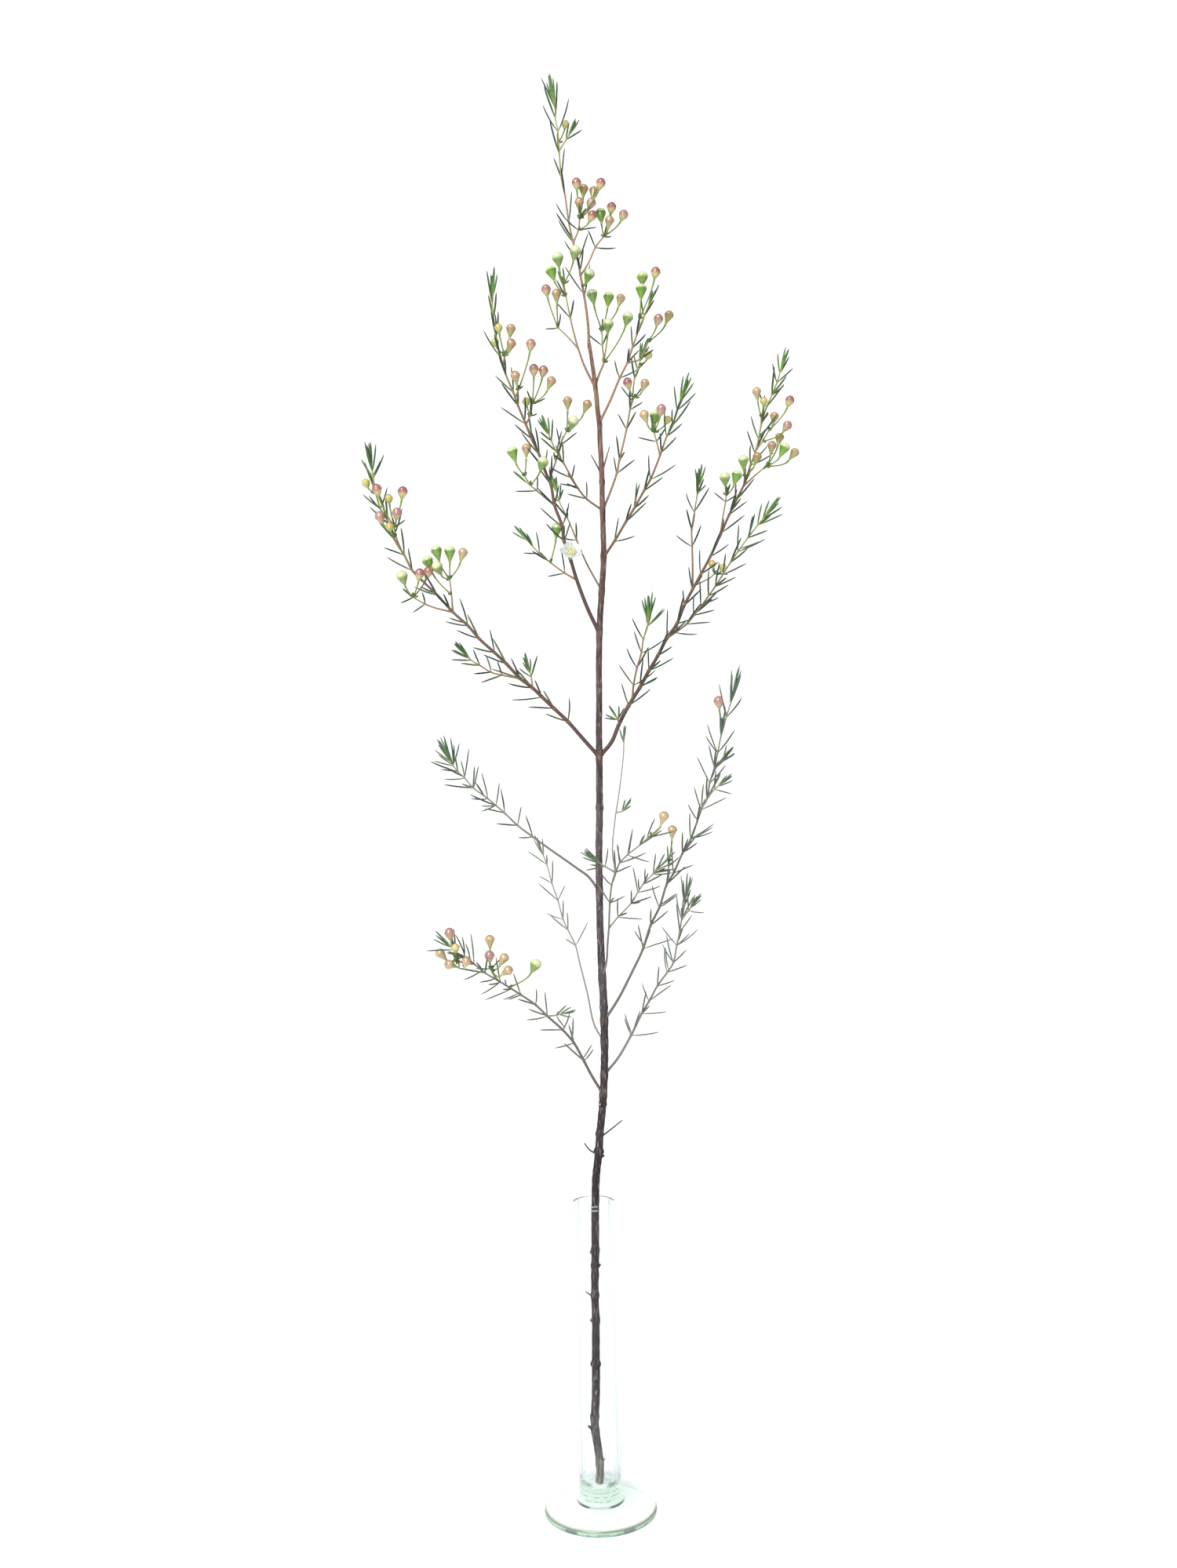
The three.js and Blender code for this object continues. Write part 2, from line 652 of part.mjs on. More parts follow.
        route: [
          [12, 311.5], [19, 325.5], [28.5, 343], [35.5, 357], [40.5, 371.5], [46.5, 383], [51.5, 397.5],
          [56, 404.5], [62, 417], [67.5, 426], [71.5, 436], [74.5, 444.5], [78.5, 451.5], [80.5, 461.5],
          [83.5, 470.5], [86, 480.5], [88.5, 491.5], [92, 503], [95, 512], [97, 519.5],
        ],
      },
      {
        on: "branch_03_right", reach: -3, girth: [0.5, 0.4], from: 1, phase: 30, spread: [50, 38],
        length: 11, tuft: 4, route: [[78.5, 451.5], [83.5, 457.5], [88.5, 461.5]],
      },
      {
        on: "branch_03_right", reach: 3, girth: [0.5, 0.4], from: 1, phase: 60, spread: [50, 38],
        length: 10, tuft: 5, route: [[83.5, 470.5], [89, 475], [91.5, 478.5]],
      },
      {
        on: "branch_03_right", reach: -5, girth: [0.5, 0.4], from: 1, phase: 60, spread: [42, 30],
        length: 12, tuft: 4, route: [[51.5, 397.5], [53, 409], [54, 416.5]],
      },
    ],
    buds: [],
  },
  {
    name: "branch_03_bud_low", finish: "buds", twigs: [], on: "branch_03_right", root: [53.5, 412],
    buds: [[56, 432.5, -7, "tan", 0]],
  },
  {
    name: "branch_03_bud_high", finish: "buds", twigs: [], on: "branch_03_right", root: [89.5, 495],
    buds: [[87.5, 513.5, -5, "pink", 0]],
  },
  {
    name: "branch_02_right",
    finish: "leafy",
    twigs: [
      {
        on: "main_stem", reach: 46, girth: [0.85, 0.42], from: 2, phase: 30, spread: [48, 32],
        length: 16.5, tuft: 7, route: [
          [11, 277], [18, 288], [26.5, 302], [33.5, 315.5], [38.5, 323.5], [44, 333], [50.5, 341.5],
          [54.5, 347.5], [57, 358.5], [59, 367], [60.5, 375], [62.5, 383.5], [63.5, 391],
        ],
      },
      {
        on: "branch_02_right", reach: -6, girth: [0.5, 0.4], from: 1, phase: 20, spread: [45, 35],
        length: 11, tuft: 5, route: [[60.5, 375], [65, 380.5], [68, 384.5]],
      },
    ],
    buds: [],
  },
  {
    name: "branch_01_left",
    finish: "leafy",
    twigs: [
      {
        on: "main_stem", reach: -46, girth: [0.95, 0.42], from: 2, phase: 35, spread: [58, 42],
        length: 15.5, tuft: 7, route: [
          [6.5, 265], [1, 276.5], [-4, 286.5], [-10, 298], [-17, 306.5], [-26.5, 315.5], [-34, 323],
          [-43, 329.5], [-50.5, 334.5], [-57.5, 339], [-65.5, 344], [-72.5, 350], [-78, 354.5],
          [-84, 358], [-88.5, 363.5],
        ],
      },
      {
        on: "branch_01_left", reach: -3, girth: [0.5, 0.4], from: 1, phase: 30, spread: [60, 45],
        length: 10, tuft: 4, route: [[-26.5, 315.5], [-21, 316], [-15.5, 317]],
      },
    ],
    buds: [],
  },
  {
    name: "branch_01_buds_tip",
    finish: "buds",
    twigs: [
      {
        on: "branch_01_left", reach: -4, girth: [0.55, 0.45], from: 9, phase: 30, spread: [60, 50],
        length: 9, tuft: 0, route: [[-72.5, 350], [-79, 350.5], [-83, 353]],
      },
    ],
    buds: [
      [-87.5, 370, -4, "pink", 2], [-84, 361, -7, "yellow", 2], [-94, 357.5, -1, "tan", 2],
      [-88.5, 350, -4, "tan", 2], [-77, 352, -6, "tan", 1],
    ],
  },
  {
    name: "branch_01_buds_upper",
    finish: "buds",
    twigs: [
      {
        on: "branch_01_left", reach: -2, girth: [0.55, 0.45], from: 2, phase: 10, spread: [70, 60],
        length: 11, tuft: 0, route: [[-57.5, 339], [-60, 342.5], [-62, 346.5]],
      },
    ],
    buds: [
      [-62, 365.5, 2, "tan", 2], [-62.5, 355, -4, "pink", 2], [-53, 353.5, 1, "tan", 2],
      [-50.5, 345.5, -5, "tan", 2],
    ],
  },
  {
    name: "branch_01_bud_right", finish: "buds", twigs: [], on: "branch_01_left", root: [-50.5, 334.5],
    buds: [[-33.5, 348, 4, "white", 0]],
  },
];

const FLOWER = {
  name: "open_flower",
  on: "branch_09_left",
  root: [-1.5, 594.5],
  heart: [-4, 611],
  reach: -8,
  petalRadius: 3.6,
  petalThickness: 0.22, // as a share of its width
  petalSpan: 4.4,
  petalLift: 0.5,
  petalTilt: 14,
  petals: 5,
  // radius and height
  cup: [[0, -7.2], [1.1, -5.8], [2.2, -2.6], [3, -0.4], [3, 0.5], [2.2, 1.1], [0, 1.3]],
  cupSides: 10,
  stalk: { radius: 0.5, foot: -6.6, bend: -2, steps: 3, sides: 4 },
  room: { stalk: 0.6, bloom: 8, depth: 2 },
  facing: [0.1, -0.78, 0.62],
};

// ---- seeded draws ---------------------------------------------------------------------------------------

/** A repeatable stream of draws between 0 and 1. */
function draws(seed) {
  let state = seed;
  return () => {
    state = (state * 1664525 + 1013904223) % 2 ** 32;
    return state / 2 ** 32;
  };
}

/** The place that a draw has in a range. */
const within = ([least, span], drawn) => least + span * drawn;

// ---- curves in space ------------------------------------------------------------------------------------

const FORWARD = new THREE.Vector3(0, 1, 0);
const UPWARD = new THREE.Vector3(0, 0, 1);
const radians = THREE.MathUtils.degToRad;

/** A drawn place, slid along its line of sight from the front until it lies at the given depth. */
function placed([x, z], depth) {
  const scale = 1 + depth / FRONT_EYE.distance;
  const eye = FRONT_EYE;
  return new THREE.Vector3(eye.x + (x - eye.x) * scale, depth, eye.z + (z - eye.z) * scale);
}

/** Distance along a drawn route to each of its places, as a share of the whole. */
function shares(route) {
  const along = [0];
  for (let i = 1; i < route.length; i += 1) {
    along.push(along[i - 1] + Math.hypot(route[i][0] - route[i - 1][0], route[i][1] - route[i - 1][1]));
  }
  return along.map((length) => length / along.at(-1));
}

/** Direction of a chain of points at each of them. */
function directions(points) {
  return points.map((_, i) => {
    const before = points[Math.max(i - 1, 0)];
    const after = points[Math.min(i + 1, points.length - 1)];
    return after.clone().sub(before).normalize();
  });
}

/** The side and back directions that are square to a direction. */
function squareTo(direction, reference = FORWARD) {
  const side = direction.clone().cross(reference).normalize();
  const back = side.clone().cross(direction).normalize();
  return { side, back };
}

/** Where on a twig a drawn place lies: the nearest point of its chain, with its depth and direction. */
function nearestOn(twigs, place) {
  let best = null;
  for (const twig of twigs) {
    for (let i = 0; i + 1 < twig.route.length; i += 1) {
      const [ax, az] = twig.route[i];
      const [bx, bz] = twig.route[i + 1];
      const [dx, dz] = [bx - ax, bz - az];
      const share = ((place[0] - ax) * dx + (place[1] - az) * dz) / (dx * dx + dz * dz);
      const t = THREE.MathUtils.clamp(share, 0, 1);
      const distance = Math.hypot(place[0] - ax - t * dx, place[1] - az - t * dz);
      if (!best || distance < best.distance - 1e-9) {
        const depth = twig.depths[i] + t * (twig.depths[i + 1] - twig.depths[i]);
        best = { distance, drawn: [ax + t * dx, az + t * dz], depth };
      }
    }
  }
  return best;
}

/** A twig from its description: its places in space, its thickness there and its depths. */
function grown(description, parents) {
  const root = nearestOn(parents, description.route[0]);
  const route = [root.drawn, ...description.route.slice(1)];
  const depths = shares(route).map((share) => root.depth + description.reach * share);
  const points = route.map((place, i) => placed(place, depths[i]));
  const [thick, thin] = description.girth;
  const radii = shares(route).map((share) => thick + (thin - thick) * share);
  return { ...description, route, depths, points, radii, directions: directions(points) };
}

// ---- solids ---------------------------------------------------------------------------------------------

/** A closed geometry as a manifold solid, with doubled corners and empty triangles removed. */
function solid(geometry) {
  geometry.deleteAttribute("normal");
  geometry.deleteAttribute("uv");
  const merged = mergeVertices(geometry, 1e-4);
  const corners = merged.index.array;
  const kept = [];
  for (let i = 0; i < corners.length; i += 3) {
    const [a, b, c] = corners.slice(i, i + 3);
    if (a !== b && b !== c && c !== a) kept.push(a, b, c);
  }
  const mesh = new wasm.Mesh({
    numProp: 3,
    vertProperties: new Float32Array(merged.attributes.position.array),
    triVerts: new Uint32Array(kept),
  });
  return new wasm.Manifold(mesh);
}

/**
 * A cylinder bent along a chain of points, with its own radius at each; a last radius of 0 gives a point.
 */
function bent(points, radii, sides, reference = FORWARD) {
  const steps = points.length - 1;
  const top = radii.at(-1) > 0 ? 1 : 0;
  const geometry = new THREE.CylinderGeometry(top, 1, 1, sides, steps);
  const along = directions(points);
  const position = geometry.attributes.position;
  const corner = new THREE.Vector3();
  for (let i = 0; i < position.count; i += 1) {
    corner.fromBufferAttribute(position, i);
    const row = Math.round((corner.y + 0.5) * steps);
    const rowRadius = top ? 1 : 1 - row / steps;
    const scale = rowRadius > 0 ? radii[row] / rowRadius : 0;
    const { side, back } = squareTo(along[row], reference);
    const place = points[row].clone().addScaledVector(side, corner.x * scale);
    place.addScaledVector(back, corner.z * scale);
    position.setXYZ(i, place.x, place.y, place.z);
  }
  return solid(geometry);
}

/** The bark of a twig, or with a margin the room that it takes, a little longer at both ends. */
function bark(twig, margin = 0) {
  const thickest = Math.max(...twig.radii);
  const [, sides] = BARK_SIDES.find(([radius]) => thickest > radius);
  const radii = twig.radii.map((radius) => radius + margin / Math.cos(Math.PI / sides));
  const points = twig.points.map((point) => point.clone());
  points[0].addScaledVector(twig.directions[0], -margin);
  points.at(-1).addScaledVector(twig.directions.at(-1), margin);
  return bent(points, radii, sides);
}

// ---- leaves ---------------------------------------------------------------------------------------------

/** One leaf's chain: it stands off its twig at first and bends back along it towards its tip. */
function leafChain(base, along, outward, spread, curl, length) {
  const heading = (angle) => {
    const way = along.clone().multiplyScalar(Math.cos(angle));
    return way.addScaledVector(outward, Math.sin(angle));
  };
  const middle = base.clone().addScaledVector(heading(spread + curl / 2), length * 0.5);
  const tip = middle.clone().addScaledVector(heading(spread - curl / 2), length * 0.5);
  return [base, middle, tip];
}

/** Evenly spaced points along a leaf, from just outside the bark to its tip. */
function leafSamples([base, middle, tip]) {
  const samples = [];
  for (let i = 1; i <= LEAF.samples; i += 1) {
    const share = (2 * i) / LEAF.samples;
    samples.push(
      share <= 1 ? base.clone().lerp(middle, share) : middle.clone().lerp(tip, share - 1),
    );
  }
  return samples;
}

/** Whether a leaf keeps clear of every piece of the other nodes. */
function isClear(chain, owner, pieces) {
  for (const sample of leafSamples(chain)) {
    for (const piece of pieces) {
      if (piece.owner === owner) continue;
      const { start, line, size } = piece;
      const offset = sample.clone().sub(start);
      const share = THREE.MathUtils.clamp(offset.dot(line) / size, 0, 1);
      const distance = offset.addScaledVector(line, -share).length();
      if (distance < piece.radius + LEAF.radius + CLEARANCE) return false;
    }
  }
  return true;
}

/** The room that a chain takes, piece by piece. */
function takeRoom(pieces, owner, points, radii) {
  for (let i = 0; i + 1 < points.length; i += 1) {
    const line = points[i + 1].clone().sub(points[i]);
    const size = Math.max(line.lengthSq(), 1e-9);
    pieces.push({ owner, start: points[i], line, size, radius: Math.max(radii[i], radii[i + 1]) });
  }
}

/**
 * Turns and slides tried in order until a leaf is clear: degrees about the twig, and millimetres along
 * it.
 */
const TRIES = [
  [0, 0], [25, 0], [-25, 0], [50, 0], [-50, 0], [0, -2], [35, -2], [-35, -2], [70, -2], [-70, -2],
  [0, 2], [40, 2], [-40, 2], [90, -2.5], [-90, -2.5], [120, -3], [-120, -3],
];

/** The clear leaf chain nearest to the wanted one, or null where none fits. */
function clearLeaf(twig, { at, azimuth, spread, curl, length, start }, owner, pieces) {
  const along = twig.directions[at];
  const { side, back } = squareTo(along);
  for (const [turn, slide] of TRIES) {
    const angle = radians(azimuth + turn);
    const outward = side.clone().multiplyScalar(Math.cos(angle)).addScaledVector(back, Math.sin(angle));
    const base = twig.points[at].clone().addScaledVector(along, start + slide);
    const chain = leafChain(base, along, outward, radians(spread), radians(curl), length);
    if (isClear(chain, owner, pieces)) return chain;
  }
  return null;
}

/**
 * The leaf chains of a twig: crossed pairs at its places and a tuft at its tip. Every leaf takes its
 * room, but only one leaf of each pair and about half of the tuft, an outer and an inner one at a time,
 * are modelled.
 */
function leavesOf(twig, seed, owner, pieces) {
  const draw = draws(seed);
  const last = twig.points.length - 1;
  const [low, high] = twig.spread;
  const modelled = [];
  const add = (isModelled, wish) => {
    const chain = clearLeaf(twig, wish, owner, pieces);
    if (!chain) return;
    takeRoom(pieces, owner, chain, chain.map(() => LEAF.radius));
    if (isModelled) modelled.push(chain);
  };
  for (let at = twig.from; at < last || (at === last && !twig.tuft); at += 1) {
    const age = (at - twig.from) / Math.max(last - twig.from, 1);
    for (const half of [0, 180]) {
      const azimuth = twig.phase + half + 90 * (at - twig.from) + (draw() - 0.5) * PAIR.turn;
      const spread = low + (high - low) * age + (draw() - 0.5) * PAIR.spread;
      const length = twig.length * within(PAIR.length, draw());
      const curl = within(PAIR.curl, draw());
      add(half === 0, { at, azimuth, spread, curl, length, start: 0 });
    }
  }
  for (let i = 0; i < twig.tuft; i += 1) {
    const isInner = i % 2 === 1;
    const azimuth = twig.phase + (360 * i) / twig.tuft + (draw() - 0.5) * TUFT.turn;
    const spread = isInner ? within(TUFT.inner, draw()) : high * within(TUFT.outer, draw());
    const length = twig.length * within(TUFT.length, draw());
    const start = isInner ? SLIDE.inner : SLIDE.outer;
    add(i % 4 < 2, { at: last, azimuth, spread, curl: TUFT.curl, length, start });
  }
  return modelled;
}

/** A three-sided needle with a narrow root, widest past its middle, with a point. */
function needle([base, middle, tip]) {
  const belly = middle.clone().lerp(tip, 2 * LEAF.widest - 1);
  const reference = Math.abs(tip.clone().sub(base).normalize().y) > 0.85 ? UPWARD : FORWARD;
  return bent([base, belly, tip], [LEAF.rootRadius, LEAF.radius, 0], 3, reference);
}

// ---- buds -----------------------------------------------------------------------------------------------

/**
 * A bud's axis and the points of its stalk and crown, from the root of the stalk and the place of its
 * heart.
 */
function budPlan(root, heart, kind) {
  const axis = heart.clone().sub(root).normalize().addScaledVector(UPWARD, PEDICEL.upright).normalize();
  const foot = heart.clone().addScaledVector(axis, -BUDS[kind].heart);
  return { axis, foot, kind, root };
}

/**
 * A bud in one piece with its stalk: a chain that swells from the stalk to the cup and closes at the
 * crown.
 */
function bud({ axis, foot, kind, root }) {
  const rings = BUDS[kind].rings;
  const points = [root, foot, ...rings.map(([height]) => foot.clone().addScaledVector(axis, height))];
  const radii = [PEDICEL.radius, PEDICEL.radius * PEDICEL.flare, ...rings.map(([, radius]) => radius)];
  return bent(points, radii, BUD_SIDES);
}

// ---- whole plant ----------------------------------------------------------------------------------------

/** The stem's twig, leaning on the rim of the vase. */
function mainStem() {
  const depthAt = (z) => STEM_LEAN.start + STEM_LEAN.slope * z - STEM_LEAN.ease * z * z;
  const depths = STEM_ROUTE.map(([, z]) => depthAt(z));
  const points = STEM_ROUTE.map((place, i) => placed(place, depths[i]));
  const radii = shares(STEM_ROUTE).map((share) => {
    const next = Math.max(STEM_GIRTH.findIndex(([s]) => s >= share), 1);
    const [[s0, r0], [s1, r1]] = [STEM_GIRTH[next - 1], STEM_GIRTH[next]];
    return r0 + ((r1 - r0) * (share - s0)) / (s1 - s0);
  });
  return { route: STEM_ROUTE, depths, points, radii, directions: directions(points) };
}

/** Twigs and bud plans of every node, before any leaf is placed. */
function framework() {
  const twigsOf = { main_stem: [mainStem()] };
  const nodes = [];
  for (const entry of PLANT) {
    const own = [];
    for (const description of entry.twigs) {
      const parents = description.on === entry.name ? own : twigsOf[description.on];
      own.push(grown(description, parents));
    }
    twigsOf[entry.name] = own;
    const parent = entry.on ?? entry.twigs[0].on;
    const bare = entry.root ? nearestOn(twigsOf[entry.on], entry.root) : null;
    const plans = entry.buds.map(([x, z, reach, kind, at]) => {
      const place = at === "side" ? own[1].route.length - 1 : at;
      const stalk = at === "side" ? own[1] : own[0];
      const start = bare ? bare.depth : stalk.depths[place];
      const root = bare ? placed(bare.drawn, bare.depth) : stalk.points[place];
      return budPlan(root, placed([x, z], start + reach), kind);
    });
    nodes.push({ name: entry.name, finish: entry.finish, twigs: own, plans, parent });
  }
  return { twigsOf, nodes };
}

/** Pieces joined into one body, without what lies apart from the largest of them. */
function joined(pieces) {
  const bodies = wasm.Manifold.union(pieces).asOriginal().simplify(SMOOTHING).decompose();
  return bodies.reduce((best, next) => (next.volume() > best.volume() ? next : best));
}

/** Cuts a node clear of what it grows from. */
function seated(pieces, parents) {
  const room = parents.map((parent) => bark(parent, GAP));
  return joined([wasm.Manifold.union(pieces).subtract(wasm.Manifold.union(room))]);
}

/** The open flower: a calyx on its stalk, five round petals and a raised centre. */
function openFlower(twigsOf) {
  const seat = nearestOn(twigsOf[FLOWER.on], FLOWER.root);
  const root = placed(seat.drawn, seat.depth);
  const heart = placed(FLOWER.heart, seat.depth + FLOWER.reach);
  const axis = new THREE.Vector3(...FLOWER.facing).normalize();
  const turn = new THREE.Quaternion().setFromUnitVectors(FORWARD, axis);
  const stand = (geometry) => {
    geometry.applyQuaternion(turn);
    geometry.translate(heart.x, heart.y, heart.z);
    return solid(geometry);
  };
  const cup = FLOWER.cup.map(([radius, height]) => new THREE.Vector2(radius, height));
  const parts = [stand(new THREE.LatheGeometry(cup, FLOWER.cupSides))];
  for (let i = 0; i < FLOWER.petals; i += 1) {
    const petal = new THREE.SphereGeometry(FLOWER.petalRadius, 8, 5);
    petal.scale(1, FLOWER.petalThickness, 1);
    petal.rotateX(radians(-FLOWER.petalTilt));
    petal.translate(0, FLOWER.petalLift, FLOWER.petalSpan);
    petal.rotateY((2 * Math.PI * i) / FLOWER.petals);
    parts.push(stand(petal));
  }
  const { radius, foot, bend, steps, sides } = FLOWER.stalk;
  const end = heart.clone().addScaledVector(axis, foot);
  const corner = end.clone().addScaledVector(axis, bend);
  const stalk = new THREE.QuadraticBezierCurve3(root, corner, end).getPoints(steps);
  parts.push(bent(stalk, stalk.map(() => radius), sides));
  return { parts, stalk, heart, axis };
}

/** The vase: a straight tube on a round foot, closed by a thick floor, turned in one piece. */
function vase() {
  const { height, tubeRadius, wall, footRadius, footEdge, footRise, beadRadius, floor, sides } = VASE;
  const bore = tubeRadius - wall;
  const seam = footEdge + footRise; // where the foot's slope meets the bead
  const outline = [
    [0, 0], [footRadius - 1, 0], [footRadius, 1.2], [footRadius, footEdge - 1],
    [footRadius - 1.2, footEdge], [beadRadius + 0.6, seam], [beadRadius, seam + 0.7],
    [beadRadius - 0.1, seam + 1.8], [tubeRadius, seam + 3.4], [tubeRadius, height - 1],
    [tubeRadius - 0.5, height], [bore + 0.4, height], [bore, height - 0.6], [bore, floor + 2.6],
    [bore - 2.6, floor + 0.5], [0, floor],
  ];
  const profile = outline.map(([r, h]) => new THREE.Vector2(r, h));
  return solid(new THREE.LatheGeometry(profile, sides).rotateX(Math.PI / 2));
}

/** A named mesh of a solid in one of the finishes. */
function node(name, body, finish) {
  const { numProp, vertProperties, triVerts } = body.getMesh();
  const geometry = new THREE.BufferGeometry();
  geometry.setAttribute("position", new THREE.BufferAttribute(new Float32Array(vertProperties), numProp));
  geometry.setIndex(new THREE.BufferAttribute(new Uint32Array(triVerts), 1));
  geometry.computeVertexNormals();
  const mesh = new THREE.Mesh(geometry, new THREE.MeshStandardMaterial(FINISH[finish]));
  mesh.name = name;
  return mesh;
}

const { twigsOf, nodes } = framework();
const flower = openFlower(twigsOf);
const room = [];
takeRoom(room, "main_stem", twigsOf.main_stem[0].points, twigsOf.main_stem[0].radii);
const bloom = [flower.heart, flower.heart.clone().addScaledVector(flower.axis, FLOWER.room.depth)];
takeRoom(room, FLOWER.name, flower.stalk, flower.stalk.map(() => FLOWER.room.stalk));
takeRoom(room, FLOWER.name, bloom, bloom.map(() => FLOWER.room.bloom));
for (const { name, twigs, plans } of nodes) {
  for (const twig of twigs) takeRoom(room, name, twig.points, twig.radii);
  for (const plan of plans) {
    const [cup, , crown] = BUDS[plan.kind].rings;
    const low = plan.foot.clone().addScaledVector(plan.axis, cup[0] * CUP_START);
    const high = plan.foot.clone().addScaledVector(plan.axis, crown[0] - cup[1]);
    takeRoom(room, name, [plan.root, plan.foot], [PEDICEL.radius, PEDICEL.radius]);
    takeRoom(room, name, [low, high], [cup[1], cup[1]]);
  }
}

const stem = twigsOf.main_stem[0];
const stubs = STEM_STUBS.map((stub) => bark(grown(stub, [stem])));
const part = new THREE.Group();
part.add(node("vase", vase(), "glass"));
part.add(node("main_stem", joined([bark(stem), ...stubs]), "bark"));
nodes.forEach(({ name, finish, twigs, plans, parent }, index) => {
  const pieces = [...twigs.map((twig) => bark(twig)), ...plans.map(bud)];
  twigs.forEach((twig, turn) => {
    pieces.push(...leavesOf(twig, 101 + 37 * index + 11 * turn, name, room).map(needle));
  });
  part.add(node(name, seated(pieces, twigsOf[parent]), finish));
});
part.add(node(FLOWER.name, seated(flower.parts, twigsOf[FLOWER.on]), "flower"));

export default part;
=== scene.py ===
"""The looks of a cut waxflower stem in a slender glass tube vase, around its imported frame.

The classes work in millimetres, and a finished piece is written in metres. A twig's places are drawn on
the upright plane through the vase's axis, as (x, z), and each of them has a depth behind that plane.
"""

import logging
from collections.abc import Sequence
from dataclasses import dataclass, field
from enum import Enum

import bpy
import numpy as np
from mathutils import Matrix, Vector
from numpy.typing import NDArray


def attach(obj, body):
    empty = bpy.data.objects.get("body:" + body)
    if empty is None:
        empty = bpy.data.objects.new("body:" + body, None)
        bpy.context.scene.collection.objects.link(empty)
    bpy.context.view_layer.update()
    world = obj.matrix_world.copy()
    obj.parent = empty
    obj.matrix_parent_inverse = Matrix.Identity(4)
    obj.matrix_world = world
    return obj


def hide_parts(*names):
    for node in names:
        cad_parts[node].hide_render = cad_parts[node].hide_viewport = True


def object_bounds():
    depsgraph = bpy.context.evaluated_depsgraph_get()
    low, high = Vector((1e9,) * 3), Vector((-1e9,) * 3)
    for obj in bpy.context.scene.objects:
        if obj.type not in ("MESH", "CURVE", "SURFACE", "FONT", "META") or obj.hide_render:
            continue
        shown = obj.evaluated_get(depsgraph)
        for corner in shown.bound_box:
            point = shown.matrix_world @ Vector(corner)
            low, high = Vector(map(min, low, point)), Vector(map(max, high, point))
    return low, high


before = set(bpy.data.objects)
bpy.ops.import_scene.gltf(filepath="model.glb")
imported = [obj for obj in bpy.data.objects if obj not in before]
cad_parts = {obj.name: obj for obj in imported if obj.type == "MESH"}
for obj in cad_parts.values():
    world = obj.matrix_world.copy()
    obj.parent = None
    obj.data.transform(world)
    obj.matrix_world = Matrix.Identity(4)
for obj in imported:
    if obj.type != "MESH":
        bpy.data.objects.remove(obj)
CAD_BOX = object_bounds()

Array = NDArray[np.float64]
Place = tuple[float, float]
Span = tuple[float, float]
Colour = tuple[int, int, int]
Stops = Sequence[tuple[float, Colour]]
LOG = logging.getLogger("waxflower")

METRES = 0.001
BODY = "root"
FORWARD = np.array((0.0, 1.0, 0.0))
UPWARD = np.array((0.0, 0.0, 1.0))
EYE = np.array((3.3, 462.8))  # the routes are drawn as seen from here
EYE_DISTANCE = 950.0
TURN = 2 * np.pi


# ---- shader graphs ----


class Value:
    """A shader value that works in Python expressions: each operator adds a Math node."""

    def __init__(self, graph: "Graph", socket: bpy.types.NodeSocket) -> None:
        """Wraps an output socket of a graph."""
        self.graph = graph
        self.socket = socket

    def __add__(self, other: "Value | float") -> "Value":
        """Sum of two values."""
        return self.graph.maths("ADD", self, other)

    def __sub__(self, other: "Value | float") -> "Value":
        """Difference of two values."""
        return self.graph.maths("SUBTRACT", self, other)

    def __rsub__(self, other: float) -> "Value":
        """A number less this value."""
        return self.graph.maths("SUBTRACT", other, self)

    def __mul__(self, other: "Value | float") -> "Value":
        """Product of two values."""
        return self.graph.maths("MULTIPLY", self, other)

    __radd__ = __add__
    __rmul__ = __mul__

    def step(self, low: float, high: float) -> "Value":
        """A soft step of this value, from 0 at low to 1 at high."""
        sockets = {"Value": self, "From Min": low, "From Max": high}
        return self.graph.node("ShaderNodeMapRange", {"interpolation_type": "SMOOTHSTEP"}, sockets)


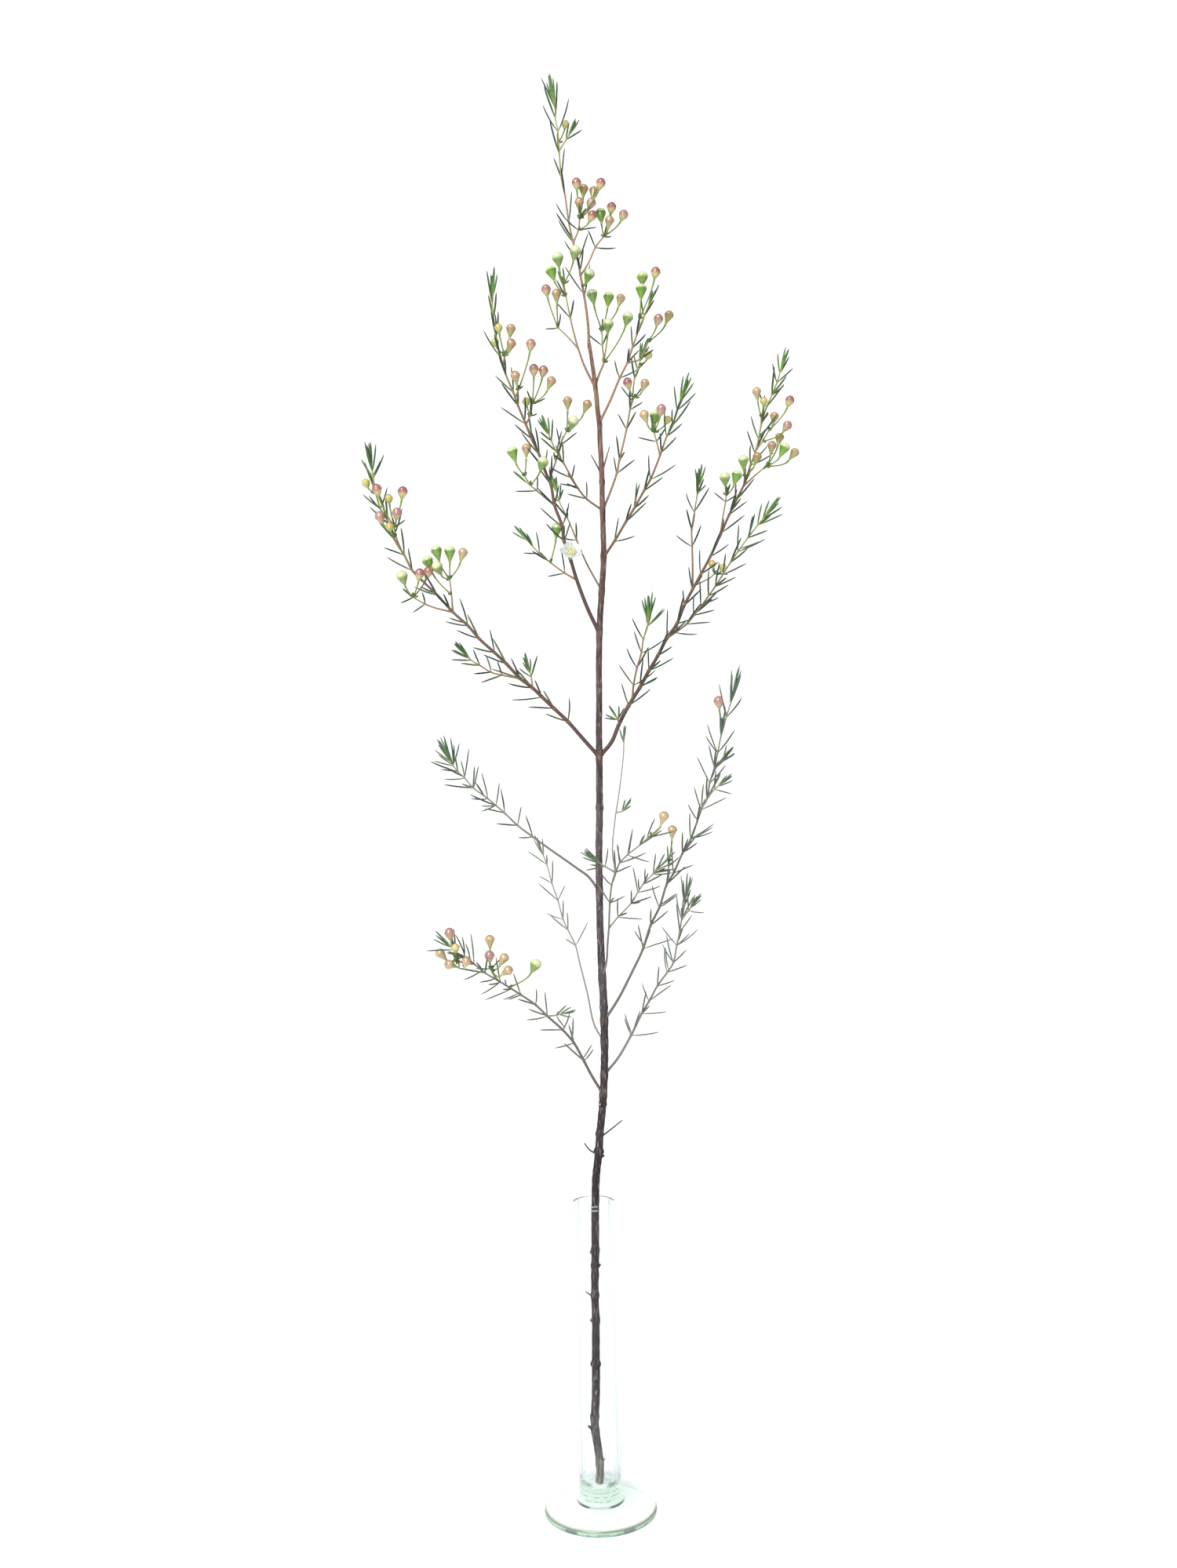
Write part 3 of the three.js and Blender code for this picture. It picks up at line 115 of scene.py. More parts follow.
class Graph:
    """A node tree, built from Python expressions."""

    def __init__(self, owner: bpy.types.Material | bpy.types.World) -> None:
        """Starts the owner's tree empty."""
        self.material = owner
        self.material.use_nodes = True
        self.tree = self.material.node_tree
        self.tree.nodes.clear()

    def node(self, kind: str, settings: dict, sockets: dict, output: str | int = 0) -> Value:
        """Adds a node.

        Args:
            kind: the node's type.
            settings: its properties, or the stops of a ramp as {"stops": [(place, colour), ...]}.
            sockets: a value or a link for each input, by name or by number.
            output: the output to work with, by name or by number, where the node has any.

        Returns:
            That output.
        """
        made = self.tree.nodes.new(kind)
        for key, setting in settings.items():
            if key == "stops":
                self.set_stops(made.color_ramp.elements, setting)
            else:
                setattr(made, key, setting)
        for key, value in sockets.items():
            if isinstance(value, Value):
                self.tree.links.new(value.socket, made.inputs[key])
            else:
                made.inputs[key].default_value = value
        return Value(self, made.outputs[output] if len(made.outputs) else None)

    @staticmethod
    def set_stops(elements: bpy.types.ColorRampElements, stops: Stops) -> None:
        """Gives a ramp its stops."""
        while len(elements) < len(stops):
            elements.new(1.0)
        for element, (place, colour) in zip(elements, stops):
            element.position = place
            element.color = linear(colour)

    def maths(self, operation: str, *values: "Value | float") -> Value:
        """A Math node on one or more values."""
        return self.node("ShaderNodeMath", {"operation": operation}, dict(enumerate(values)))

    def mixed(
        self, factor: Value | float, low: "Value | Colour", high: "Value | Colour", blend: str = "MIX"
    ) -> Value:
        """A colour between two others by a factor."""
        ends = [end if isinstance(end, Value) else linear(end) for end in (low, high)]
        settings = {"data_type": "RGBA", "blend_type": blend}
        return self.node("ShaderNodeMix", settings, {0: factor, 6: ends[0], 7: ends[1]}, 2)

    def blended(self, factor: Value, low: Value, high: Value) -> Value:
        """A shader between two others by a factor."""
        return self.node("ShaderNodeMixShader", {}, {0: factor, 1: low, 2: high})

    def ramp(self, factor: Value, stops: Stops) -> Value:
        """A colour by a value, between stops."""
        return self.node("ShaderNodeValToRGB", {"stops": stops}, {"Fac": factor})

    def attribute(self, name: str) -> Value:
        """A number that the mesh holds at its points."""
        return self.node("ShaderNodeAttribute", {"attribute_name": name}, {}, "Fac")

    def noise(self, grain: float, stretch: float = 1.0, detail: float = 3.0) -> Value:
        """Noise on the object's own coordinates.

        Args:
            grain: size of the grain across, in millimetres.
            stretch: how many times longer the grain is upwards.
            detail: octaves of finer noise.

        Returns:
            The noise, about 0.5 on average.
        """
        place = self.node("ShaderNodeTexCoord", {}, {}, "Object")
        size = 1 / (grain * METRES)
        sockets = {"Vector": place, "Scale": (size, size, size / stretch)}
        place = self.node("ShaderNodeMapping", {"vector_type": "POINT"}, sockets)
        return self.node("ShaderNodeTexNoise", {}, {"Vector": place, "Scale": 1.0, "Detail": detail})

    def bump(self, height: Value, depth: float, strength: float = 0.6) -> Value:
        """A normal from a height of 0 to 1 that stands for a depth in millimetres."""
        sockets = {"Height": height, "Distance": depth * METRES, "Strength": strength}
        return self.node("ShaderNodeBump", {}, sockets)

    def principled(self, sockets: dict) -> Value:
        """A Principled shader."""
        return self.node("ShaderNodeBsdfPrincipled", {}, sockets)

    def finished(self, surface: Value) -> bpy.types.Material:
        """The material, with this shader as its surface."""
        self.node("ShaderNodeOutputMaterial", {}, {"Surface": surface})
        return self.material


def linear(colour: Colour) -> tuple[float, float, float, float]:
    """A colour given as it shows, from 0 to 255, as the linear one that shaders use."""
    share = np.asarray(colour) / 255
    low, high = share / 12.92, ((share + 0.055) / 1.055) ** 2.4
    return (*np.where(share > 0.04045, high, low).tolist(), 1.0)


# ---- finishes ----


@dataclass(frozen=True)
class GlassPlace:
    """Where a point of the glass lies in millimetres: behind the axis, up, out and beside the stem."""

    away: Value
    height: Value
    radius: Value
    sides: Value
    front: Value  # 1 on the front half


# the floor, rings, foot's edge, seam and rim of this glass carry painted reflections, highlights and shade
@dataclass(frozen=True)
class ClearGlass:
    """Polished glass: hardly seen in the tube's thin wall, sea green in the floor and at the foot's edge.

    Places are in millimetres. A soft change starts at the first value of a span and is whole at the
    second, and a band lies between its two values.
    """

    height: float
    white: Colour = (255, 255, 255)
    tint: Colour = (253, 254, 255)
    depth_colour: Colour = (130, 204, 170)
    density: float = 11.0
    index: float = 1.36
    mirror: float = 0.08
    stem_offset: float = 0.6
    softness: float = 0.3
    front: Span = (4, -10)
    foot: Span = (14.9, 15.5)
    underside: Span = (0.9, 0.6)
    see_through: Span = (0.3, 0.66)
    # painted reflections on the bore's floor: bright in the middle, teal at the sides
    floor_bright_reflection: Colour = (232, 240, 236)
    floor_teal_reflection: Colour = (104, 142, 124)
    floor_sides: Span = (3.5, 7.5)
    floor_band: Span = (17.9, 20.0)
    floor_radius: Span = (12.0, 11.6)
    floor_away: Span = (1, -4)
    floor_share: float = 0.75
    # colour of the painted reflection lines at the plug's rings
    ring: Colour = (112, 140, 96)
    ring_bands: tuple[Span, ...] = ((11.0, 11.4), (13.9, 14.2), (16.6, 16.8))
    ring_dashes: Span = (0.42, 0.54)
    ring_away: Span = (-6, -10)
    ring_radius: Span = (13.0, 13.2)
    ring_share: float = 0.6
    edge: Span = (33.9, 35.1)
    # sea green of the thick glass, with painted darker reflection bands low down and near the top, and a
    # painted bright band at the top
    edge_stops: Stops = (
        (0.0, (70, 106, 94)), (0.2, (88, 136, 112)), (0.36, (134, 174, 148)), (0.66, (142, 176, 152)),
        (0.8, (104, 116, 92)), (0.9, (92, 98, 78)), (1.0, (164, 176, 162)),
    )
    edge_height: float = 4.0
    # colour of the painted dark reflections on the foot's edge
    edge_dark_reflection: Colour = (34, 64, 58)
    edge_shares: Span = (0.15, 0.73)
    reflection_streaks: Span = (0.48, 0.56)
    streak_height: Span = (2.6, 1.8)
    streak_share: float = 0.55
    flash_band: Span = (15.5, 20.5)
    flash_softness: float = 2.5
    flash_height: Span = (3.4, 2.6)
    flash_share: float = 0.85
    shadow: Colour = (84, 98, 96)
    seam_band: Span = (7.3, 8.6)
    seam_radius: Span = (15.6, 15.2)
    seam_sides: Span = (5.0, 8.0)
    seam_shares: Span = (0.3, 0.65)
    wall: Span = (18.5, 22.5)
    # painted bluish sheen at the tube's sides, stronger low down
    sheen: Colour = (176, 190, 214)
    sheen_facing: Span = (0.55, 1.0)
    sheen_height: Span = (160, 20)
    sheen_share: float = 0.6
    gloss_share: float = 0.35
    # painted highlight lines across the front of the rim and just below it
    rim_highlight: Colour = (168, 178, 176)
    rim_band: Span = (-0.3, 0.5)
    rim_softness: float = 0.15
    rim_away: Span = (-1, 3)
    rim_radius: Span = (11.8, 12.1)
    rim_sides: Span = (3.0, 7.0)
    rim_shares: Span = (0.35, 0.55)
    lip_band: Span = (-2.9, -2.7)
    lip_softness: float = 0.2
    lip_sides: Span = (3.6, 2.8)
    lip_share: float = 0.6

    def band(self, value: Value, span: Span, soft: float) -> Value:
        """A share that is 1 in a band and 0 outside it."""
        low, high = span
        return value.step(low - soft, low) * value.step(high + soft, high)

    def painted(self, graph: Graph, colour: "Value | Colour", roughness: float) -> Value:
        """A plain shader of one colour."""
        paint = colour if isinstance(colour, Value) else linear(colour)
        return graph.principled({"Base Color": paint, "Roughness": roughness})

    def place_in(self, graph: Graph) -> GlassPlace:
        """Works out where a point lies."""
        place = graph.node("ShaderNodeTexCoord", {}, {}, "Object")
        across, away, height = (
            graph.node("ShaderNodeSeparateXYZ", {}, {0: place}, axis) * (1 / METRES) for axis in range(3)
        )
        radius = graph.maths("SQRT", across * across + away * away)
        sides = graph.maths("ABSOLUTE", across + self.stem_offset)
        return GlassPlace(away, height, radius, sides, away.step(*self.front))

    def thick(self, graph: Graph, at: GlassPlace, clear: Value) -> Value:
        """The plug, bending light, the nearly clear foot, and painted reflections on the floor and rings."""
        bending = graph.principled({
            "Base Color": linear(self.white), "Roughness": 0.0, "IOR": self.index,
            "Transmission Weight": 1.0, "Specular IOR Level": self.mirror,
        })
        straight = graph.maths("MAXIMUM", at.radius.step(*self.foot), at.height.step(*self.underside))
        least, rest = self.see_through
        surface = graph.blended(least + straight * rest, bending, clear)
        # painted reflections on the bore's floor, on the front only: bright in the middle, teal at the sides
        floor_reflection_colour = graph.mixed(at.sides.step(*self.floor_sides), self.floor_bright_reflection, self.floor_teal_reflection)
        on_floor = self.band(at.height, self.floor_band, self.softness) * at.radius.step(*self.floor_radius)
        on_floor = on_floor * at.away.step(*self.floor_away) * self.floor_share
        surface = graph.blended(on_floor, surface, self.painted(graph, floor_reflection_colour, 0.2))
        # painted reflection lines at the plug's rings, in dashes, on the front only
        first, second, third = (self.band(at.height, band, self.softness) for band in self.ring_bands)
        dashes = graph.noise(4.0, 0.5).step(*self.ring_dashes) * at.away.step(*self.ring_away)
        rings = (first + second + third) * dashes * at.radius.step(*self.ring_radius) * self.ring_share
        return graph.blended(rings, surface, self.painted(graph, self.ring, 0.3))

    def edged(self, graph: Graph, at: GlassPlace, surface: Value) -> Value:
        """A surface with the foot's edge: green, with painted dark reflections in low streaks and two flashes.
        """
        # painted dark reflections: streaks low down, and a low flash on each side
        reflection_streaks = graph.noise(7.0, 0.4, 2.0).step(*self.reflection_streaks) * at.height.step(*self.streak_height)
        flashes = self.band(at.sides, self.flash_band, self.flash_softness)
        flashes = flashes * at.height.step(*self.flash_height)
        dark = graph.maths("MAXIMUM", reflection_streaks * self.streak_share, flashes * self.flash_share)
        green = graph.ramp(at.height * (1 / self.edge_height), self.edge_stops)
        colour = graph.mixed(dark, green, self.edge_dark_reflection)
        back, front = self.edge_shares
        share = at.radius.step(*self.edge) * (back + at.front * front)
        return graph.blended(share, surface, self.painted(graph, colour, 0.15))

    def seamed(self, graph: Graph, at: GlassPlace, surface: Value, shade: Value) -> Value:
        """A surface with the shaded seam where the tube meets the foot."""
        middle, beside = self.seam_shares
        seam = self.band(at.height, self.seam_band, self.softness) * at.radius.step(*self.seam_radius)
        share = seam * at.front * (middle + at.sides.step(*self.seam_sides) * beside)
        return graph.blended(share, surface, shade)

    def thin(self, graph: Graph, at: GlassPlace) -> Value:
        """The tube's wall: clear, with a faint painted sheen at its sides and a little gloss."""
        tinted = graph.node("ShaderNodeBsdfTransparent", {}, {"Color": linear(self.tint)})
        facing = graph.node("ShaderNodeLayerWeight", {}, {"Blend": 0.5}, "Facing")
        share = facing.step(*self.sheen_facing) * at.height.step(*self.sheen_height) * self.sheen_share
        surface = graph.blended(share, tinted, self.painted(graph, self.sheen, 0.1))
        gloss = graph.node("ShaderNodeBsdfAnisotropic", {}, {"Color": linear(self.white), "Roughness": 0.02})
        mirrored = graph.node("ShaderNodeFresnel", {}, {"IOR": self.index}) * self.gloss_share
        return graph.blended(mirrored, surface, gloss)

    def rimmed(self, graph: Graph, at: GlassPlace, surface: Value, shade: Value) -> Value:
        """A surface with the rim: shaded at the back, and two short painted highlights on the front, before
        the stem.
        """
        top = at.height - self.height
        rim = self.band(top, self.rim_band, self.rim_softness)
        middle, beside = self.rim_shares
        back_rim = rim * at.away.step(*self.rim_away) * at.radius.step(*self.rim_radius)
        back_rim = back_rim * (middle + at.sides.step(*self.rim_sides) * beside)
        surface = graph.blended(back_rim, surface, shade)
        # painted highlight lines on the front, at the rim and just below it
        lines = rim + self.band(top, self.lip_band, self.lip_softness)
        share = lines * at.front * at.sides.step(*self.lip_sides) * self.lip_share
        return graph.blended(share, surface, self.painted(graph, self.rim_highlight, 0.3))

    def material(self) -> bpy.types.Material:
        """Glass that bends light, takes up a little of it on the way, and lets lamps through for shadows."""
        graph = Graph(bpy.data.materials.new("clear_glass"))
        at = self.place_in(graph)
        clear = graph.node("ShaderNodeBsdfTransparent", {}, {"Color": linear(self.white)})
        shade = self.painted(graph, self.shadow, 0.3)
        surface = self.seamed(graph, at, self.edged(graph, at, self.thick(graph, at, clear)), shade)
        surface = graph.blended(at.height.step(*self.wall), surface, self.thin(graph, at))
        surface = self.rimmed(graph, at, surface, shade)
        is_shadow, is_diffuse = (
            graph.node("ShaderNodeLightPath", {}, {}, name) for name in ("Is Shadow Ray", "Is Diffuse Ray")
        )
        surface = graph.blended(1 - (1 - is_shadow) * (1 - is_diffuse), surface, clear)
        sockets = {"Color": linear(self.depth_colour), "Density": self.density}
        volume = graph.node("ShaderNodeVolumeAbsorption", {}, sockets)
        graph.node("ShaderNodeOutputMaterial", {}, {"Surface": surface, "Volume": volume})
        return graph.material


@dataclass(frozen=True)
class StemBark:
    """Dry bark of the main stem: greyish at the foot, plum brown above it and rust brown near the top."""

    heights: Stops = (
        (0.0, (112, 110, 102)), (0.04, (74, 69, 68)), (0.1, (44, 36, 38)), (0.28, (44, 36, 36)),
        (0.42, (68, 63, 66)), (0.56, (84, 75, 75)), (0.64, (74, 63, 60)), (0.7, (82, 66, 62)),
        (0.86, (104, 80, 70)), (0.95, (128, 96, 78)), (1.0, (144, 110, 88)),
    )
    fissure: Colour = (30, 24, 26)
    fleck: Colour = (158, 148, 148)
    collar: Colour = (104, 82, 70)
    cut: Colour = (156, 144, 126)

    def material(self) -> bpy.types.Material:
        """Bark with long fissures, pale flecks, lighter collars at the forks and pale cut ends."""
        graph = Graph(bpy.data.materials.new("stem_bark"))
        long_grain = graph.noise(0.8, 14.0, 4.0)
        flecks = graph.noise(0.8, 7.0, 2.0).step(0.56, 0.68)
        patches = graph.noise(5.0, 4.0, 2.0)
        colour = graph.ramp(graph.attribute("height") + (patches - 0.5) * 0.16, self.heights)
        colour = graph.mixed(graph.attribute("collar") * patches.step(0.3, 0.6), colour, self.collar)
        blotches = graph.noise(3.0, 5.0, 3.0)
        colour = graph.mixed(blotches.step(0.5, 0.38) * 0.4, colour, self.fissure)
        colour = graph.mixed(long_grain.step(0.48, 0.38) * 0.6, colour, self.fissure)
        colour = graph.mixed(flecks * 0.45, colour, self.fleck)
        colour = graph.mixed(graph.attribute("cut"), colour, self.cut)
        relief = long_grain + graph.noise(0.25, 2.0, 3.0) * 0.3
        roughness = 0.62 + long_grain * 0.25
        return graph.finished(graph.principled({
            "Base Color": colour, "Roughness": roughness, "Specular IOR Level": 0.2,
            "Normal": graph.bump(relief, 0.35),
        }))


@dataclass(frozen=True)
class TwigBark:
    """Bark of the twigs by their thickness: plum brown, then salmon, and yellow green at the tips."""

    reds: Stops = (
        (0.0, (142, 128, 94)), (0.12, (134, 110, 88)), (0.3, (120, 94, 80)), (0.6, (98, 76, 68)),
        (1.0, (76, 60, 56)),
    )
    greys: Stops = (
        (0.0, (142, 140, 126)), (0.12, (118, 114, 102)), (0.3, (96, 90, 82)), (0.6, (76, 70, 66)),
        (1.0, (60, 55, 55)),
    )
    pales: Stops = ((0.0, (150, 140, 98)), (0.3, (148, 116, 92)), (0.7, (132, 98, 82)), (1.0, (116, 84, 74)))
    fissure: Colour = (62, 48, 44)
    collar: Colour = (140, 104, 84)
    fresh: Colour = (142, 156, 74)
    spill_grey: Colour = (134, 128, 124)

    def material(self) -> bpy.types.Material:
        """Bark whose colour follows the twig's thickness, with fine grain and lighter collars."""
        graph = Graph(bpy.data.materials.new("twig_bark"))
        thickness = graph.attribute("thickness") + (graph.noise(3.0) - 0.5) * 0.2
        grey = graph.attribute("grey")
        colour = graph.mixed(grey, graph.ramp(thickness, self.reds), graph.ramp(thickness, self.greys))
        colour = graph.mixed(graph.attribute("light"), colour, graph.ramp(thickness, self.pales))
        grain = graph.noise(0.4, 4.0, 4.0)
        colour = graph.mixed(grain.step(0.46, 0.36) * (0.25 + thickness * 0.45), colour, self.fissure)
        colour = graph.mixed(graph.attribute("collar") * (0.65 - grey * 0.4), colour, self.collar)
        colour = graph.mixed(graph.attribute("fresh"), colour, self.fresh)
        # painted light spill: thin twigs of some lower branches turn grey
        colour = graph.mixed(graph.attribute("haze"), colour, self.spill_grey)
        return graph.finished(graph.principled({
            "Base Color": colour, "Roughness": 0.6, "Specular IOR Level": 0.25,
            "Normal": graph.bump(grain, 0.12),
        }))


@dataclass(frozen=True)
class NeedleLeaf:
    """Needle leaves: blue green when grown, bright green at the twigs' tips, yellowish at their bases."""

    grown: Stops = (
        (0.0, (140, 146, 78)), (0.14, (84, 104, 62)), (0.32, (38, 62, 52)), (0.85, (32, 54, 50)),
        (1.0, (72, 68, 56)),
    )
    young: Stops = (
        (0.0, (172, 184, 92)), (0.2, (122, 154, 72)), (0.55, (84, 130, 66)), (0.94, (70, 112, 64)),
        (1.0, (104, 112, 72)),
    )
    light: Colour = (134, 152, 92)
    dark: Colour = (190, 198, 206)
    pale: Colour = (255, 255, 250)
    dot: Colour = (120, 144, 110)
    spill_grey: Colour = (118, 128, 120)

    def material(self) -> bpy.types.Material:
        """Waxy leaf with fine oil dots."""
        graph = Graph(bpy.data.materials.new("needle_leaf"))
        rise = graph.attribute("rise")
        grown_colour, young_colour = graph.ramp(rise, self.grown), graph.ramp(rise, self.young)
        colour = graph.mixed(graph.attribute("youth"), grown_colour, young_colour)
        shade = graph.attribute("shade") * 0.7 + graph.noise(2.5) * 0.3
        colour = graph.mixed(graph.attribute("face").step(0.35, 0.9) * 0.34, colour, self.light)
        tone = graph.ramp(shade, ((0.0, self.dark), (1.0, self.pale)))
        colour = graph.mixed(1.0, colour, tone, "MULTIPLY")
        dots = graph.noise(0.3, 1.0, 1.0)
        colour = graph.mixed(dots.step(0.62, 0.7) * 0.35, colour, self.dot)
        # painted light spill: leaves of some lower branches turn grey
        colour = graph.mixed(graph.attribute("haze"), colour, self.spill_grey)
        return graph.finished(graph.principled({
            "Base Color": colour, "Roughness": 0.4, "Specular IOR Level": 0.25,
            "Normal": graph.bump(dots, 0.05),
        }))


@dataclass(frozen=True)
class BudSkin:
    """Waxy skin of a bud, coloured from the foot of its cup to its crown."""

    name: str
    stops: Stops
    lobe: Colour
    gloss: float = 0.25
    faded: Colour = (214, 192, 152)
    fading: float = 0.4

    def material(self) -> bpy.types.Material:
        """Skin with dots of oil, more or less faded, with its sepals' own colour at the rim."""
        graph = Graph(bpy.data.materials.new(self.name))
        rise = graph.attribute("rise") + (graph.noise(1.6, 1.5) - 0.5) * 0.1
        colour = graph.ramp(rise, self.stops)
        colour = graph.mixed(graph.attribute("lobe") * 0.8, colour, self.lobe)
        colour = graph.mixed(graph.attribute("shade") * self.fading, colour, self.faded)
        dots = graph.noise(0.35, 1.0, 1.0)
        colour = graph.mixed(dots.step(0.6, 0.7) * 0.3, colour, self.lobe)
        return graph.finished(graph.principled({
            "Base Color": colour, "Roughness": self.gloss, "Coat Weight": 0.8, "Coat Roughness": 0.08,
            "Subsurface Weight": 0.05, "Subsurface Radius": (0.002, 0.0012, 0.0008), "Subsurface Scale": 0.6,
            "Normal": graph.bump(dots, 0.04),
        }))


@dataclass(frozen=True)
class Stalk:
    """Thin yellow-green stalks of the buds."""

    stops: Stops = ((0.0, (126, 104, 68)), (0.3, (112, 122, 54)), (1.0, (104, 138, 46)))

    def material(self) -> bpy.types.Material:
        """Satin skin, browner where it leaves the twig."""
        graph = Graph(bpy.data.materials.new("bud_stalk"))
        grain = graph.noise(0.6, 3.0)
        colour = graph.ramp(graph.attribute("rise") + (grain - 0.5) * 0.3, self.stops)
        return graph.finished(graph.principled({
            "Base Color": colour, "Roughness": 0.45, "Specular IOR Level": 0.3,
            "Normal": graph.bump(grain, 0.05),
        }))


@dataclass(frozen=True)
class Petal:
    """Thin white petals, a little green towards the cup, with painted grey shade at their outer edges."""

    # the greyest stop, at the petals' outer edges, is painted shade
    stops: Stops = (
        (0.0, (172, 184, 140)), (0.3, (180, 184, 178)), (0.8, (188, 191, 192)), (1.0, (158, 164, 168)),
    )
    vein: Colour = (156, 162, 160)

    def material(self) -> bpy.types.Material:
        """Waxy petal with faint veins that run out from the cup."""
        graph = Graph(bpy.data.materials.new("petal"))
        veins = graph.attribute("vein").step(0.55, 1.0)
        colour = graph.ramp(graph.attribute("rise"), self.stops)
        colour = graph.mixed(veins * 0.5, colour, self.vein)
        return graph.finished(graph.principled({
            "Base Color": colour, "Roughness": 0.4, "Subsurface Weight": 0.3,
            "Subsurface Radius": (0.002, 0.002, 0.002), "Subsurface Scale": 0.5,
            "Normal": graph.bump(veins, 0.05),
        }))


@dataclass(frozen=True)
class FlowerHeart:
    """The flower's cup, disc and stamens, from green by way of pale yellow to cream."""

    stops: Stops = (
        (0.0, (126, 152, 70)), (0.3, (158, 176, 100)), (0.5, (204, 204, 152)), (0.7, (198, 184, 128)),
        (1.0, (226, 220, 196)),
    )

    def material(self) -> bpy.types.Material:
        """Glossy, as with nectar."""
        graph = Graph(bpy.data.materials.new("flower_heart"))
        grain = graph.noise(0.5)
        colour = graph.ramp(graph.attribute("rise") + (grain - 0.5) * 0.15, self.stops)
        return graph.finished(graph.principled({
            "Base Color": colour, "Roughness": 0.3, "Coat Weight": 0.4, "Normal": graph.bump(grain, 0.06),
        }))


@dataclass(frozen=True)
class PaleFloor:
    """A plain pale floor."""

    colour: Colour = (248, 248, 248)

    def material(self) -> bpy.types.Material:
        """Matte and even."""
        graph = Graph(bpy.data.materials.new("pale_floor"))
        facts = {"Base Color": linear(self.colour), "Roughness": 0.9, "Specular IOR Level": 0.0}
        return graph.finished(graph.principled(facts))


# ---- surfaces ----


@dataclass
class Shell:
    """Closed surfaces: their points, their faces, and the numbers that they hold at the points."""

    points: Array
    quads: NDArray[np.int64]
    triangles: NDArray[np.int64]
    values: dict[str, Array]
    finish: int = 0


def unit(vectors: Array) -> Array:
    """Vectors of length 1 with the same directions."""
    return vectors / np.linalg.norm(vectors, axis=-1, keepdims=True)


def square_to(directions: Array, reference: Array = FORWARD) -> tuple[Array, Array]:
    """The side, direction x reference, and the back, side x direction, of each direction."""
    side = unit(np.cross(directions, reference))
    return side, unit(np.cross(side, directions))


def directions_of(points: Array) -> Array:
    """Direction of a chain at each point: from the point before it to the one after it."""
    ends = np.concatenate((points[:1], points, points[-1:]))
    return unit(ends[2:] - ends[:-2])


def tubes(rings: Array, low: Array, high: Array, values: dict[str, Array | float], finish: int = 0) -> Shell:
    """Closed tubes: rows of points round an axis, with a pole at each end.

    The point at (row, side) is joined to those at (row, side + 1), (row + 1, side + 1) and (row + 1,
    side). A pole is joined to every side of its row, and holds the mean of that row's numbers.

    Args:
        rings: points of each tube, by tube, row and side, turned to the left round the way that the rows
        go. low: the pole before each tube's first row. high: the pole after each tube's last row. values:
        numbers to hold, of any form that spreads over tubes, rows and sides. finish: number of the
        material among those of the piece.

    Returns:
        All the tubes in one shell.
    """
    count, rows, sides, _ = rings.shape
    grid = np.arange(count * rows * sides).reshape(count, rows, sides)
    beside = np.roll(grid, -1, axis=2)
    quads = np.stack((grid[:, :-1], beside[:, :-1], beside[:, 1:], grid[:, 1:]), axis=-1)
    lows = np.broadcast_to(grid.size + np.arange(count)[:, None], (count, sides))
    fans = (
        np.stack((beside[:, 0], grid[:, 0], lows), axis=-1),
        np.stack((grid[:, -1], beside[:, -1], lows + count), axis=-1),
    )
    held = {}
    for name, value in values.items():
        spread = np.broadcast_to(value, (count, rows, sides))
        held[name] = np.concatenate((spread.ravel(), spread[:, 0].mean(axis=1), spread[:, -1].mean(axis=1)))
    points = np.concatenate((rings.reshape(-1, 3), low.reshape(-1, 3), high.reshape(-1, 3)))
    return Shell(points, quads.reshape(-1, 4), np.concatenate(fans).reshape(-1, 3), held, finish)


def smoothed(points: Array, step: float) -> tuple[Array, Array]:
    """A smooth curve through a chain of points, in cubic Hermite spans.

    Over a span from p to q the place is (2t^3 - 3t^2 + 1) p + (t^3 - 2t^2 + t) m + (3t^2 - 2t^3) q + (t^3
    - t^2) n. The slopes m and n at its ends are those of the chords between the neighbours, times the
    span's length.

    Args:
        points: the chain.
        step: distance between the places on the curve, about.

    Returns:
        The places, and how many points of the chain lie behind each of them.
    """
    lengths = np.linalg.norm(np.diff(points, axis=0), axis=1)
    counts = np.maximum(np.ceil(lengths / step).astype(int), 1)
    parts = [i + np.arange(count) / count for i, count in enumerate(counts)]
    behind = np.concatenate([*parts, [len(counts)]])
    chords = np.concatenate((points[:1], points, points[-1:]))
    spans = np.concatenate(([0.0], lengths, [0.0]))
    slopes = (chords[2:] - chords[:-2]) / (spans[1:] + spans[:-1])[:, None]
    span = np.minimum(behind.astype(int), len(counts) - 1)
    t = (behind - span)[:, None]
    size = lengths[span][:, None]
    curve = (2 * t**3 - 3 * t**2 + 1) * points[span] + (t**3 - 2 * t**2 + t) * slopes[span] * size
    curve += (3 * t**2 - 2 * t**3) * points[span + 1] + (t**3 - t**2) * slopes[span + 1] * size
    return curve, behind


def swept(
    curve: Array, radii: Array, sides: int, values: dict[str, Array | float], cap: float = 0.4,
    finish: int = 0,
) -> Shell:
    """A closed tube along a curve.

    A ring is place + radius (side cos a - back sin a), and a pole stands off its end by a share of the
    radius there.

    Args:
        curve: the places along it.
        radii: a radius for each place, or for each place and side.
        sides: points in a ring.
        values: numbers to hold, by place or by place and side.
        cap: height of the rounded ends as a share of the radius.
        finish: number of the material.

    Returns:
        The tube.
    """
    ways = directions_of(curve)
    side, back = square_to(ways)
    angle = np.linspace(0, TURN, sides, endpoint=False)
    radii = np.broadcast_to(radii.reshape(len(curve), -1), (len(curve), sides))
    spoke = side[:, None] * np.cos(angle)[:, None] - back[:, None] * np.sin(angle)[:, None]
    rings = curve[:, None] + radii[..., None] * spoke
    low = curve[0] - ways[0] * radii[0].mean() * cap
    high = curve[-1] + ways[-1] * radii[-1].mean() * cap
    spread = {name: np.reshape(value, (1, len(curve), -1)) if np.ndim(value) else value
              for name, value in values.items()}
    return tubes(rings[None], low, high, spread, finish)


def bell(distance: Array, width: float) -> Array:
    """A smooth bump, exp(-(distance / width)^2)."""
    return np.exp(-((distance / width) ** 2))


